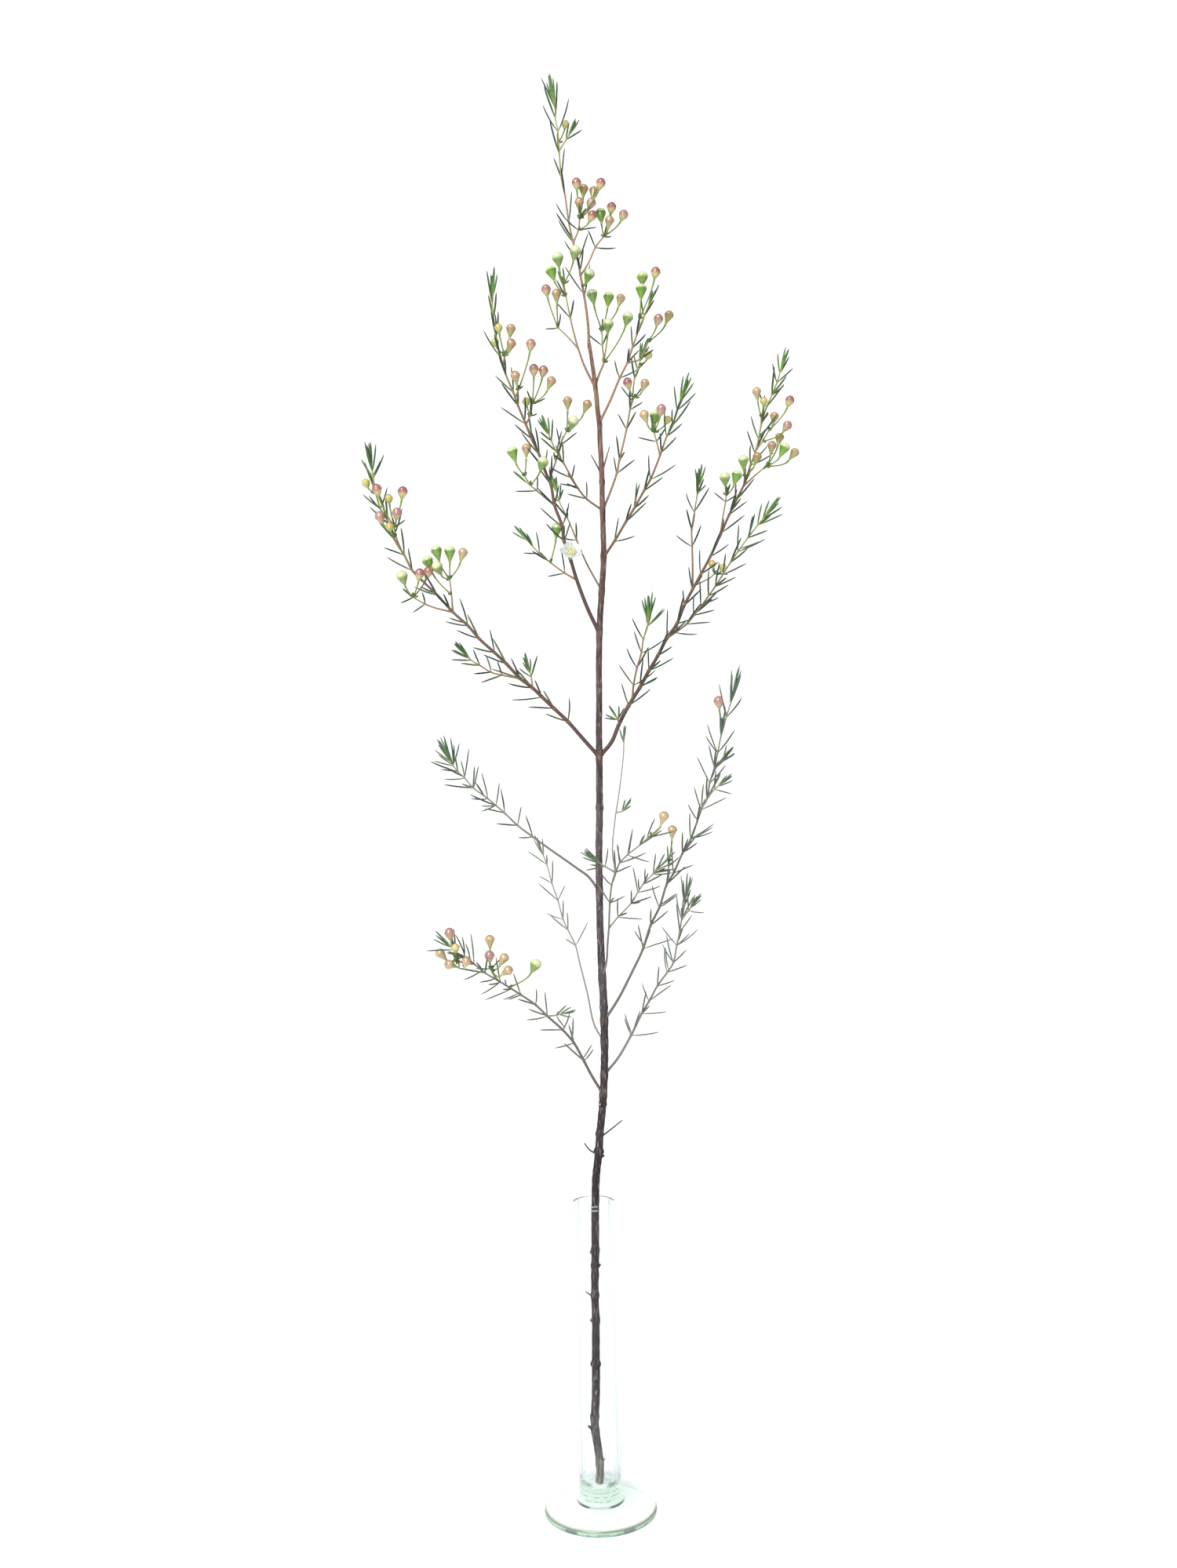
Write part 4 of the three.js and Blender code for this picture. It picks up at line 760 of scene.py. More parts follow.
def make_piece(
    name: str, shells: Sequence[Shell], materials: Sequence[bpy.types.Material], node: str
) -> None:
    """Makes one piece of shells, which rides on the body and stands for a node.

    Args:
        name: the piece's name.
        shells: what it is made of.
        materials: what the shells wear, by their finish number.
        node: the node that it stands for.
    """
    starts = np.cumsum([0, *(len(shell.points) for shell in shells)])
    points = np.clip(np.concatenate([shell.points for shell in shells]) * METRES, *CAD_BOX)
    quads = np.concatenate([shell.quads + start for shell, start in zip(shells, starts)])
    triangles = np.concatenate([shell.triangles + start for shell, start in zip(shells, starts)])
    mesh = bpy.data.meshes.new(name)
    mesh.from_pydata(points.tolist(), (), quads.tolist() + triangles.tolist())
    worn = [np.full(len(shell.quads), shell.finish) for shell in shells]
    worn += [np.full(len(shell.triangles), shell.finish) for shell in shells]
    mesh.polygons.foreach_set("material_index", np.concatenate(worn).astype(np.int32))
    mesh.polygons.foreach_set("use_smooth", np.ones(len(mesh.polygons), dtype=bool))
    for value in sorted({value for shell in shells for value in shell.values}):
        held = [shell.values.get(value, np.zeros(len(shell.points))) for shell in shells]
        attribute = mesh.attributes.new(value, "FLOAT", "POINT")
        attribute.data.foreach_set("value", np.concatenate(held).astype(np.float32))
    for material in materials:
        mesh.materials.append(material)
    piece = bpy.data.objects.new(name, mesh)
    bpy.context.scene.collection.objects.link(piece)
    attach(piece, BODY)
    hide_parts(node)
    LOG.info("%s: %d faces", name, len(mesh.polygons))


# ---- the vase ----


@dataclass(frozen=True)
class Vase:
    """The glass: a straight tube on a round foot with a thick floor, turned in one piece."""

    height: float = 197.0
    tube_radius: float = 13.5
    wall: float = 1.75
    foot_radius: float = 36.0
    foot_edge: float = 4.0
    foot_rise: float = 3.4
    bead_radius: float = 14.8
    floor: float = 18.0
    ripple: float = 0.16
    sides: int = 120
    corner_steps: int = 7

    def outline(self) -> Array:
        """Corners of the section as (radius, height, rounding), from under the foot to the bore's floor."""
        bore = self.tube_radius - self.wall
        seam = self.foot_edge + self.foot_rise
        trough = self.tube_radius - self.ripple
        return np.array((
            (0.5, 0.05, 0), (self.foot_radius, 0.05, 1.3), (self.foot_radius, self.foot_edge, 1.7),
            (self.bead_radius + 0.6, seam, 0.5), (self.bead_radius - 0.5, seam + 0.35, 0.3),
            (self.bead_radius, seam + 0.8, 0.3), (self.bead_radius, seam + 2.0, 0.6),
            (self.tube_radius, seam + 3.2, 0.8), (trough, seam + 5.4, 0.9),
            (self.tube_radius, seam + 7.3, 0.8), (trough, seam + 9.2, 0.8),
            (self.tube_radius, seam + 11.1, 0.9), (self.tube_radius, self.height * 0.5, 0),
            (self.tube_radius, self.height, 0.7), (bore, self.height, 0.7), (bore, self.height * 0.5, 0),
            (bore, self.floor + 0.2, 3.4), (0.5, self.floor, 0),
        ))

    def section(self) -> Array:
        """The outline with each corner turned into a curve.

        Over a corner c, from a to b on its two sides, the place is (1 - t)^2 a + 2 t (1 - t) c + t^2 b.
        """
        corners = self.outline()
        places, sizes = corners[:, :2], corners[:, 2:]
        ways = unit(np.diff(places, axis=0))
        start = places - sizes * np.concatenate((ways[:1], ways))
        end = places + sizes * np.concatenate((ways, ways[-1:]))
        t = np.linspace(0, 1, self.corner_steps)[:, None, None]
        curve = (1 - t) ** 2 * start + 2 * t * (1 - t) * places + t**2 * end
        curve = curve.transpose(1, 0, 2)
        kept = np.repeat(sizes > 0, self.corner_steps, axis=1)
        kept[:, 0] = True
        return curve[kept]

    def shell(self) -> Shell:
        """The section turned about the axis: the place is (r cos a, r sin a, z)."""
        radius, height = self.section().T
        angle = np.linspace(0, TURN, self.sides, endpoint=False)
        ring = np.stack((np.cos(angle), np.sin(angle)), axis=-1)
        rings = np.empty((1, len(radius), self.sides, 3))
        rings[0, ..., :2] = radius[:, None, None] * ring
        rings[0, ..., 2] = height[:, None]
        low, high = np.array((0, 0, height[0])), np.array((0, 0, height[-1]))
        return tubes(rings, low, high, {})

    def build(self) -> None:
        """Makes the piece."""
        make_piece("vase_glass", [self.shell()], [ClearGlass(self.height).material()], "vase")


# ---- the plant's description ----


class Kind(Enum):
    """Kinds of bud."""

    PINK = "pink"
    TAN = "tan"
    GREEN = "green"
    WHITE = "white"
    YELLOW = "yellow"


@dataclass(frozen=True)
class Twig:
    """A twig and its leaves.

    It starts on another node's twigs and comes forward (-) or goes back (+) by its reach. Leaf pairs grow
    at its places from the first on, turned about it by a phase and standing off it by a spread, low down
    and at the tip, in degrees. The tuft is the number of young leaves that close its tip.
    """

    on: str
    reach: float
    girth: tuple[float, float]
    first: int
    phase: float
    spread: tuple[float, float]
    length: float
    tuft: int
    route: tuple[Place, ...]


@dataclass(frozen=True)
class Stub:
    """A trimmed twig or a scar of the main stem."""

    route: tuple[Place, ...]
    reach: float
    girth: tuple[float, float]


@dataclass(frozen=True)
class Bud:
    """A bud's place, reach and kind, and the place on the first stalk, or SIDE, where its own starts."""

    x: float
    z: float
    reach: float
    kind: Kind
    start: int


@dataclass(frozen=True)
class Spray:
    """A node of the plant: its twigs and its buds. A single bud has the node and place it grows from."""

    name: str
    on: str = ""
    root: Place = (0.0, 0.0)
    twigs: tuple[Twig, ...] = ()
    buds: tuple[Bud, ...] = ()


PINK, TAN, GREEN, WHITE, YELLOW = Kind
SIDE = -1  # the tip of the second stalk

STEM_ROUTE = (
    (-0.5, 17.6), (0, 24.5), (-0.5, 34.5), (-2.5, 51.5), (-2.5, 59), (-1.5, 72.5), (-1, 97.5), (-0.5, 117),
    (-0.5, 136), (0, 155), (0.5, 174.5), (1, 191.5), (2, 212.5), (4, 226), (5, 239.5), (7.5, 260), (9, 280.5),
    (9.5, 297.5), (9.5, 320.5), (9, 343.5), (8.5, 366.5), (8.5, 389.5), (9, 421), (10, 450.5), (10.5, 477),
    (11.5, 524), (12.5, 556), (14.5, 583.5), (16.5, 607.5), (16.5, 637), (16.5, 662), (16, 682.5), (16, 692.5),
    (15, 700), (14, 714), (12, 732.5), (10.5, 742.5),
)
STEM_STUBS = (
    Stub(((1.5, 226.5), (-1.5, 229.5), (-5, 234)), -2, (0.6, 0.35)),
    Stub(((5, 224), (7.5, 226)), -1, (1.1, 0.7)),
    Stub(((6, 237), (13, 243), (19.5, 248)), -3, (0.55, 0.35)),
    Stub(((8, 256), (5.5, 258.5)), -3.5, (1.1, 0.7)),
    Stub(((0, 162), (-3, 165)), 0, (1.3, 0.7)),
    Stub(((0.5, 154), (3.5, 156.5)), -1, (1.3, 0.7)),
    Stub(((-0.5, 135), (-6.5, 139.5)), -1, (0.5, 0.35)),
    Stub(((-0.5, 119), (-4, 121.5)), -1, (1.1, 0.6)),
    Stub(((-1, 92), (-4, 94)), 1, (1.1, 0.6)),
    Stub(((-2.5, 50), (-7, 54)), -1, (1.2, 0.7)),
    Stub(((-0.5, 30), (3, 32.5)), -1, (1.2, 0.7)),
    Stub(((15.5, 660), (22, 677.5)), -4, (0.7, 0.3)),
    Stub(((15.5, 660), (10, 672.5)), -4, (0.7, 0.3)),
)

# Room of a bud of each kind: (height, radius) of its cup, shoulder and crown.
BUD_ROOM = {
    PINK: ((5.1, 3.0), (7.4, 2.4), (8.8, 0)),
    TAN: ((7.2, 2.95), (9.4, 2.45), (10.4, 0)),
    GREEN: ((8.0, 3.5), (10.1, 3.0), (11.3, 0)),
    WHITE: ((6.4, 3.5), (9.2, 3.1), (10.5, 0)),
    YELLOW: ((3.6, 2.5), (5.5, 2.0), (6.4, 0)),
}

PLANT = (
    Spray("leader", twigs=(
        Twig("main_stem", 6, (0.88, 0.38), 2, 20, (26, 13), 18, 5, (
            (10.5, 742.5), (10, 757.5), (8, 775), (6, 787.5), (5, 796), (2, 808), (-0.5, 821), (-2.5, 838),
            (-4.5, 849), (-5.5, 864.5), (-6, 879), (-7.5, 887.5), (-7.5, 894), (-8.5, 900),
        )),
        Twig("leader", -3, (0.5, 0.4), 1, 50, (34, 26), 11, 3, ((-4, 867), (-1, 873.5), (2.5, 879))),
    )),
    Spray("leader_buds_upper", twigs=(
        Twig("leader", -5, (0.55, 0.5), 1, 10, (60, 50), 10, 0, ((2, 808), (5.5, 816), (6.5, 823.5))),
    ), buds=(
        Bud(5, 846, -3, PINK, 2), Bud(9.5, 842.5, 4, TAN, 2), Bud(6.5, 834, -7, TAN, 2),
        Bud(14, 833, 2, PINK, 2), Bud(14.5, 825, -4, PINK, 1), Bud(20.5, 845.5, -2, PINK, 2),
        Bud(16, 841, 8, TAN, 2),
    )),
    Spray("leader_buds_lower", twigs=(
        Twig("leader", 7, (0.6, 0.5), 2, 15, (55, 45), 12, 0, (
            (6.5, 787), (11.5, 795), (16, 804.5), (21.5, 811.5),
        )),
    ), buds=(
        Bud(34.5, 825, 2, PINK, 3), Bud(20, 824.5, 4, GREEN, 3), Bud(27, 830, -1, PINK, 3),
        Bud(25.5, 822, -6, TAN, 3),
    )),
    Spray("leader_bud_green", "leader", (6.5, 781), buds=(Bud(11, 786, -5, GREEN, 0),)),
    Spray("leader_bud_tip", "leader", (-5.5, 872), buds=(Bud(-1, 884, 5, YELLOW, 0),)),
    Spray("fork_spray_left", twigs=(
        Twig("main_stem", -22, (0.8, 0.4), 4, 30, (38, 26), 12, 2, (
            (13, 715), (7.5, 728.5), (3.5, 740.5), (0.5, 752.5), (-1, 760), (-3.5, 774), (-4.5, 782),
        )),
        Twig("fork_spray_left", -4, (0.55, 0.45), 2, 40, (55, 45), 9, 0, (
            (3.5, 740.5), (-3, 748), (-9, 754),
        )),
    ), buds=(
        Bud(-9.5, 776, -6, TAN, SIDE), Bud(-16, 778.5, 1, PINK, SIDE), Bud(-8, 798, -7, WHITE, 5),
        Bud(-12, 788.5, 5, GREEN, 5), Bud(3, 802, -9, WHITE, 6),
    )),
    Spray("fork_spray_right", twigs=(
        Twig("main_stem", 18, (0.8, 0.45), 3, 25, (36, 26), 13, 2, (
            (14.5, 716.5), (17, 725), (19.5, 731), (19, 742), (19, 751.5),
        )),
    ), buds=(
        Bud(13.5, 773, -6, GREEN, 4), Bud(23.5, 771, 3, GREEN, 4), Bud(31.5, 772, 7, TAN, 4),
        Bud(23, 755, -7, WHITE, 2), Bud(35.5, 759, -1, WHITE, 2),
    )),
    Spray("branch_14_right", twigs=(
        Twig("main_stem", -28, (0.85, 0.45), 2, 30, (36, 28), 12, 3, (
            (16, 693), (22.5, 705.5), (29.5, 721), (34.5, 730.5), (38, 740), (41.5, 749.5), (46, 760),
            (50.5, 770),
        )),
        Twig("branch_14_right", 5, (0.55, 0.45), 1, 70, (38, 30), 11, 2, (
            (34.5, 730.5), (42.5, 732.5), (46, 738),
        )),
    )),
    Spray("branch_14_buds_upper", twigs=(
        Twig("branch_14_right", 3, (0.5, 0.45), 9, 0, (50, 40), 8, 0, ((42.5, 752), (43, 758.5))),
    ), buds=(
        Bud(44.5, 775.5, 2, GREEN, 1), Bud(45.5, 784.5, 8, WHITE, 1), Bud(54, 788, 6, PINK, 1),
    )),
    Spray("branch_14_buds_side", twigs=(
        Twig("branch_14_right", 3, (0.5, 0.45), 9, 0, (50, 40), 8, 0, ((46, 738), (48, 743.5))),
    ), buds=(
        Bud(55, 758, -2, PINK, 1), Bud(62, 760.5, 3, TAN, 1),
    )),
    Spray("branch_13_right", twigs=(
        Twig("main_stem", 40, (0.8, 0.45), 2, 35, (34, 26), 15, 5, (
            (17, 636.5), (21.5, 648), (26, 660), (28, 668.5), (33, 688), (35.5, 700.5), (37, 706.5),
            (39, 720.5), (41.5, 727.5), (43.5, 734),
        )),
    )),
    Spray("branch_13_buds", twigs=(
        Twig("branch_13_right", -3, (0.5, 0.45), 9, 0, (50, 40), 8, 0, ((36.5, 703), (38.5, 708.5))),
    ), buds=(
        Bud(34.5, 718, -5, PINK, 1), Bud(45.5, 717.5, 1, TAN, 1),
    )),
    Spray("branch_13_bud_tip", "branch_13_right", (42, 729), buds=(Bud(48.5, 735.5, -4, YELLOW, 0),)),
    Spray("branch_12_right", twigs=(
        Twig("main_stem", -36, (0.9, 0.45), 1, 30, (36, 30), 15.5, 6, (
            (18, 607), (23.5, 617), (31, 629), (36.5, 637.5), (43, 648.5), (47.5, 656), (54, 671),
            (58.5, 683), (62.5, 690), (65.5, 699.5), (69, 708.5),
        )),
    )),
    Spray("branch_12_buds", twigs=(
        Twig("branch_12_right", 4, (0.55, 0.45), 1, 10, (60, 50), 11, 0, (
            (54, 671), (52, 680), (50.5, 686),
        )),
    ), buds=(
        Bud(44.5, 697.5, -4, TAN, 2), Bud(51.5, 696, 4, WHITE, 2), Bud(55.5, 700.5, -3, PINK, 2),
        Bud(59.5, 694, 3, YELLOW, 2),
    )),
    Spray("branch_11_left", twigs=(
        Twig("main_stem", 42, (0.65, 0.4), 2, 40, (36, 28), 13, 4, (
            (13, 586), (5.5, 603.5), (-0.5, 618.5), (-6, 632.5), (-11, 643.5), (-13, 652),
        )),
    )),
    Spray("branch_10_left", twigs=(
        Twig("main_stem", -34, (0.7, 0.42), 1, 35, (38, 32), 13, 5, (
            (15.5, 637), (6.5, 644.5), (1.5, 651), (-2.5, 658), (-7.5, 667.5), (-12, 675), (-15, 682),
            (-17.5, 689),
        )),
    )),
    Spray("branch_09_left", twigs=(
        Twig("main_stem", -34, (1.3, 0.4), 3, 30, (40, 15), 16, 5, (
            (11.5, 558.5), (5.5, 574.5), (-1, 593), (-4.5, 605.5), (-8.5, 618), (-9.5, 627.5), (-14, 641),
            (-16, 654), (-19.5, 663), (-23, 673.5), (-27.5, 683.5), (-31, 693), (-35.5, 704.5),
            (-38.5, 713.5), (-43, 725), (-46, 736), (-48.5, 749), (-50, 761.5), (-50.5, 770), (-50, 778.5),
        )),
        Twig("branch_09_left", 9, (0.6, 0.42), 1, 20, (42, 30), 13, 4, (
            (-1, 593), (-8.5, 597.5), (-17.5, 604.5), (-24.5, 610.5), (-28.5, 615), (-34, 621.5),
        )),
        Twig("branch_09_left", -10, (0.65, 0.42), 2, 20, (42, 30), 12, 2, (
            (-14.5, 641), (-19.5, 645.5), (-25, 650.5), (-31, 655.5),
        )),
        Twig("branch_09_left", 10, (0.6, 0.42), 1, 60, (38, 28), 13, 3, (
            (-16.5, 657), (-12.5, 669), (-9.5, 679), (-7.5, 685),
        )),
    )),
    Spray("branch_09_buds_top", twigs=(
        Twig("branch_09_left", -3, (0.5, 0.45), 9, 0, (50, 40), 8, 0, ((-44.5, 730.5), (-43.5, 737.5))),
    ), buds=(
        Bud(-47, 755.5, -5, YELLOW, 1), Bud(-39, 754.5, 1, TAN, 1), Bud(-49.5, 746, 5, YELLOW, 1),
        Bud(-39, 745, -5, TAN, 1),
    )),
    Spray("branch_09_buds_upper", twigs=(
        Twig("branch_09_left", -3, (0.5, 0.45), 9, 0, (50, 40), 8, 0, ((-37.5, 710), (-35, 715.5))),
    ), buds=(
        Bud(-26.5, 744, -2, PINK, 1), Bud(-37, 724.5, -5, TAN, 1),
    )),
    Spray("branch_09_buds_middle", twigs=(
        Twig("branch_09_left", 4, (0.55, 0.45), 1, 80, (50, 40), 10, 0, (
            (-31, 693), (-28, 698.5), (-26.5, 706),
        )),
    ), buds=(
        Bud(-25, 728, -3, PINK, 2), Bud(-19, 727, 3, PINK, 2), Bud(-14, 720.5, -1, TAN, 2),
        Bud(-30.5, 708, 4, YELLOW, 1),
    )),
    Spray("branch_09_bud_low", "branch_09_left", (-17.5, 604.5), buds=(Bud(-13, 624.5, -5, GREEN, 0),)),
    Spray("branch_09_buds_left", twigs=(
        Twig("branch_09_left", -2, (0.45, 0.42), 9, 0, (60, 50), 9, 0, ((-29, 654.5), (-32.5, 660))),
    ), buds=(
        Bud(-39.5, 674, -3, GREEN, 1), Bud(-31, 678, 3, TAN, 1), Bud(-21, 668, -3, WHITE, 0),
    )),
    Spray("branch_09_buds_inner", twigs=(
        Twig("branch_09_left", 1, (0.45, 0.42), 9, 0, (60, 50), 9, 0, ((-8.5, 682), (-5, 688))),
    ), buds=(
        Bud(-1, 693.5, -5, WHITE, 1), Bud(-4, 707.5, 2, TAN, 1), Bud(8.5, 705, -3, TAN, 1),
    )),
    Spray("branch_08_right", twigs=(
        Twig("main_stem", 50, (1.35, 0.45), 3, 35, (38, 32), 16, 6, (
            (13.5, 480), (18.5, 489), (23.5, 500), (30, 512), (37.5, 523.5), (43.5, 534), (49.5, 543.5),
            (55.5, 554.5), (62, 563.5), (67, 575), (72.5, 585), (78, 594.5), (84.5, 606), (91, 619),
            (97, 632), (101.5, 641), (107, 651), (111.5, 663.5), (115, 672.5), (117, 680), (119, 689.5),
            (122.5, 700), (126, 707.5), (129.5, 715.5), (132.5, 724.5),
        )),
        Twig("branch_08_right", 10, (0.7, 0.42), 2, 30, (40, 32), 15, 5, (
            (72.5, 585), (73, 598.5), (73, 612.5), (73, 623), (75, 634.5), (77, 645), (78.5, 654),
        )),
        Twig("branch_08_right", -14, (0.65, 0.42), 1, 35, (40, 34), 16, 6, (
            (55.5, 554.5), (61, 558), (68, 563), (73, 568.5), (77.5, 574), (82.5, 580.5), (87, 586.5),
            (92, 594), (97, 601.5), (102, 608.5), (108.5, 617), (115, 625), (120.5, 631.5),
        )),
        Twig("branch_08_right", -12, (0.7, 0.42), 1, 30, (42, 34), 16, 7, (
            (32.5, 516), (33.5, 525), (36, 536), (39, 545.5), (40.5, 554), (43.5, 562.5), (44, 569.5),
        )),
        Twig("branch_08_right", -2, (0.5, 0.4), 1, 20, (60, 50), 10, 4, (
            (23.5, 500), (23, 503.5), (21.5, 506),
        )),
    )),
    Spray("branch_08_buds_tip", twigs=(
        Twig("branch_08_right", -3, (0.45, 0.42), 9, 0, (60, 50), 9, 0, ((119, 689.5), (119, 694))),
    ), buds=(
        Bud(116.5, 710.5, -3, TAN, 1), Bud(121, 704.5, -7, YELLOW, 1),
    )),
    Spray("branch_08_buds_upper", twigs=(
        Twig("branch_08_right", -3, (0.5, 0.45), 9, 0, (60, 50), 9, 0, (
            (115, 673), (119.5, 678.5), (123.5, 685),
        )),
    ), buds=(
        Bud(135.5, 688, -7, PINK, 1), Bud(127.5, 694.5, 3, TAN, 2), Bud(137.5, 704, -3, PINK, 2),
    )),
    Spray("branch_08_buds_right", twigs=(
        Twig("branch_08_right", -4, (0.6, 0.45), 2, 20, (30, 25), 7, 3, (
            (107, 650), (115, 657.5), (121.5, 662.5),
        )),
    ), buds=(
        Bud(125.5, 676, -3, TAN, 2), Bud(130.5, 681, 8, TAN, 2), Bud(132.5, 672.5, -4, GREEN, 2),
        Bud(140, 671, 2, TAN, 2),
    )),
    Spray("branch_08_buds_inner", twigs=(
        Twig("branch_08_right", -3, (0.5, 0.45), 9, 0, (60, 50), 9, 0, ((107, 651), (107.5, 656.5))),
    ), buds=(
        Bud(107, 665, -4, GREEN, 1), Bud(116, 669, 0, TAN, 1),
    )),
    Spray("branch_08_buds_left", twigs=(
        Twig("branch_08_right", -5, (0.55, 0.45), 2, 10, (55, 45), 9, 0, (
            (91, 619), (93, 630.5), (95, 640.5), (95.5, 644.5),
        )),
    ), buds=(
        Bud(95, 655.5, -3, WHITE, 3), Bud(102, 655.5, 3, GREEN, 3),
    )),
    Spray("branch_08_buds_low", twigs=(
        Twig("branch_08_right", 6, (0.5, 0.45), 2, 10, (55, 45), 9, 0, (
            (74.5, 587.5), (83.5, 592), (87, 595),
        )),
    ), buds=(
        Bud(85.5, 601.5, -3, YELLOW, 2), Bud(92.5, 599, 3, YELLOW, 2),
    )),
    Spray("branch_07_left", twigs=(
        Twig("main_stem", -52, (1.3, 0.45), 2, 35, (40, 32), 16, 6, (
            (8, 480), (1.5, 490.5), (-9, 503), (-17.5, 511.5), (-25, 519), (-31, 525), (-38.5, 531),
            (-47, 540.5), (-54.5, 548), (-64, 557), (-71, 565.5), (-80.5, 574.5), (-90, 585.5),
            (-98, 593.5), (-105.5, 601.5), (-110.5, 611.5), (-116.5, 621.5), (-120.5, 633.5), (-125, 641.5),
            (-127.5, 651), (-129, 661), (-130, 669),
        )),
        Twig("branch_07_left", -10, (0.6, 0.4), 1, 40, (48, 36), 13, 6, (
            (-38.5, 531), (-50, 533.5), (-57, 535.5), (-64, 540), (-69.5, 543.5), (-73, 547.5),
        )),
        Twig("branch_07_left", 4, (0.55, 0.4), 1, 20, (42, 32), 12, 5, (
            (-31, 525), (-31.5, 532), (-33, 537.5),
        )),
    )),
    Spray("branch_07_buds_left", twigs=(
        Twig("branch_07_left", -5, (0.6, 0.45), 2, 30, (60, 50), 10, 0, (
            (-80.5, 574.5), (-90.5, 577), (-98, 580), (-105.5, 584.5),
        )),
    ), buds=(
        Bud(-112, 597.5, -3, WHITE, 3), Bud(-101, 599.5, -3, PINK, 3), Bud(-95.5, 600.5, 3, PINK, 3),
    )),
    Spray("branch_07_buds_right", twigs=(
        Twig("branch_07_left", 5, (0.6, 0.45), 9, 20, (60, 50), 9, 0, (
            (-80.5, 574.5), (-81, 585.5), (-82, 595.5),
        )),
    ), buds=(
        Bud(-81.5, 611.5, -2, GREEN, 2), Bud(-89.5, 612, 3, GREEN, 2), Bud(-73, 612.5, 2, TAN, 2),
        Bud(-89.5, 603, -5, WHITE, 2), Bud(-95, 605.5, 1, GREEN, 1),
    )),
    Spray("branch_07_buds_top", twigs=(
        Twig("branch_07_left", -5, (0.6, 0.45), 2, 20, (60, 50), 9, 0, (
            (-112.5, 615.5), (-115.5, 623.5), (-116.5, 629.5),
        )),
    ), buds=(
        Bud(-110.5, 652, 1, PINK, 2), Bud(-119.5, 648.5, -4, YELLOW, 2), Bud(-127, 654, -7, PINK, 2),
        Bud(-114.5, 638.5, -6, PINK, 2), Bud(-125.5, 636.5, -5, PINK, 1), Bud(-119.5, 630.5, -9, YELLOW, 1),
    )),
    Spray("branch_07_bud_tip", "branch_07_left", (-127.5, 651), buds=(Bud(-134, 658.5, 3, YELLOW, 0),)),
    Spray("branch_06_left", twigs=(
        Twig("main_stem", 36, (0.85, 0.42), 5, 35, (52, 42), 17, 8, (
            (8, 394), (2, 403.5), (-5, 409), (-13, 415), (-22.5, 422), (-33, 430), (-42.5, 437.5),
            (-50.5, 445.5), (-56, 450.5), (-61, 455), (-70, 462), (-75.5, 468.5), (-79.5, 472.5),
            (-82.5, 476.5), (-85.5, 482),
        )),
    )),
    Spray("branch_05_left", twigs=(
        Twig("main_stem", 52, (0.6, 0.4), 4, 40, (45, 32), 14, 4, (
            (6.5, 297.5), (3, 310), (-0.5, 328.5), (-5, 348.5), (-7.5, 360), (-12, 370), (-15, 377),
            (-18, 389), (-21.5, 400), (-24.5, 412), (-27.5, 420.5),
        )),
    )),
    Spray("branch_04_middle", twigs=(
        Twig("main_stem", -50, (0.7, 0.42), 4, 35, (52, 34), 14.5, 6, (
            (10.5, 339), (12, 349.5), (13, 361), (14, 370.5), (15, 386.5), (16.5, 398), (19, 406),
            (22, 412), (27, 417), (35, 423), (42, 429), (48.5, 434.5),
        )),
        Twig("branch_04_middle", -12, (0.5, 0.4), 1, 30, (48, 34), 14, 5, (
            (14, 370.5), (20, 377.5), (28.5, 386), (33, 393), (36.5, 398), (43, 404.5), (48, 409.5),
        )),
        Twig("branch_04_middle", -3, (0.5, 0.4), 1, 30, (55, 38), 13, 6, (
            (19, 406), (12.5, 410), (7, 414),
        )),
        Twig("branch_04_middle", -6, (0.45, 0.38), 9, 40, (50, 38), 11, 3, (
            (19, 406), (17.5, 420), (19.5, 439), (23, 459), (26, 481), (26.5, 492),
        )),
        Twig("branch_04_middle", -1, (0.42, 0.38), 2, 40, (60, 50), 8, 4, (
            (21, 444), (24.5, 445), (26.5, 447.5),
        )),
    )),
    Spray("branch_04_bud", "branch_04_middle", (42, 429), buds=(Bud(51, 441.5, -5, TAN, 0),)),
    Spray("branch_03_right", twigs=(
        Twig("main_stem", -32, (0.9, 0.42), 3, 30, (44, 30), 17, 7, (
            (12, 311.5), (19, 325.5), (28.5, 343), (35.5, 357), (40.5, 371.5), (46.5, 383), (51.5, 397.5),
            (56, 404.5), (62, 417), (67.5, 426), (71.5, 436), (74.5, 444.5), (78.5, 451.5), (80.5, 461.5),
            (83.5, 470.5), (86, 480.5), (88.5, 491.5), (92, 503), (95, 512), (97, 519.5),
        )),
        Twig("branch_03_right", -3, (0.5, 0.4), 1, 30, (50, 38), 11, 4, (
            (78.5, 451.5), (83.5, 457.5), (88.5, 461.5),
        )),
        Twig("branch_03_right", 3, (0.5, 0.4), 1, 60, (50, 38), 10, 5, (
            (83.5, 470.5), (89, 475), (91.5, 478.5),
        )),
        Twig("branch_03_right", -5, (0.5, 0.4), 1, 60, (42, 30), 12, 4, (
            (51.5, 397.5), (53, 409), (54, 416.5),
        )),
    )),
    Spray("branch_03_bud_low", "branch_03_right", (53.5, 412), buds=(Bud(56, 432.5, -7, TAN, 0),)),
    Spray("branch_03_bud_high", "branch_03_right", (89.5, 495), buds=(Bud(87.5, 513.5, -5, PINK, 0),)),
    Spray("branch_02_right", twigs=(
        Twig("main_stem", 46, (0.85, 0.42), 2, 30, (48, 32), 16.5, 7, (
            (11, 277), (18, 288), (26.5, 302), (33.5, 315.5), (38.5, 323.5), (44, 333), (50.5, 341.5),
            (54.5, 347.5), (57, 358.5), (59, 367), (60.5, 375), (62.5, 383.5), (63.5, 391),
        )),
        Twig("branch_02_right", -6, (0.5, 0.4), 1, 20, (45, 35), 11, 5, (
            (60.5, 375), (65, 380.5), (68, 384.5),
        )),
    )),
    Spray("branch_01_left", twigs=(
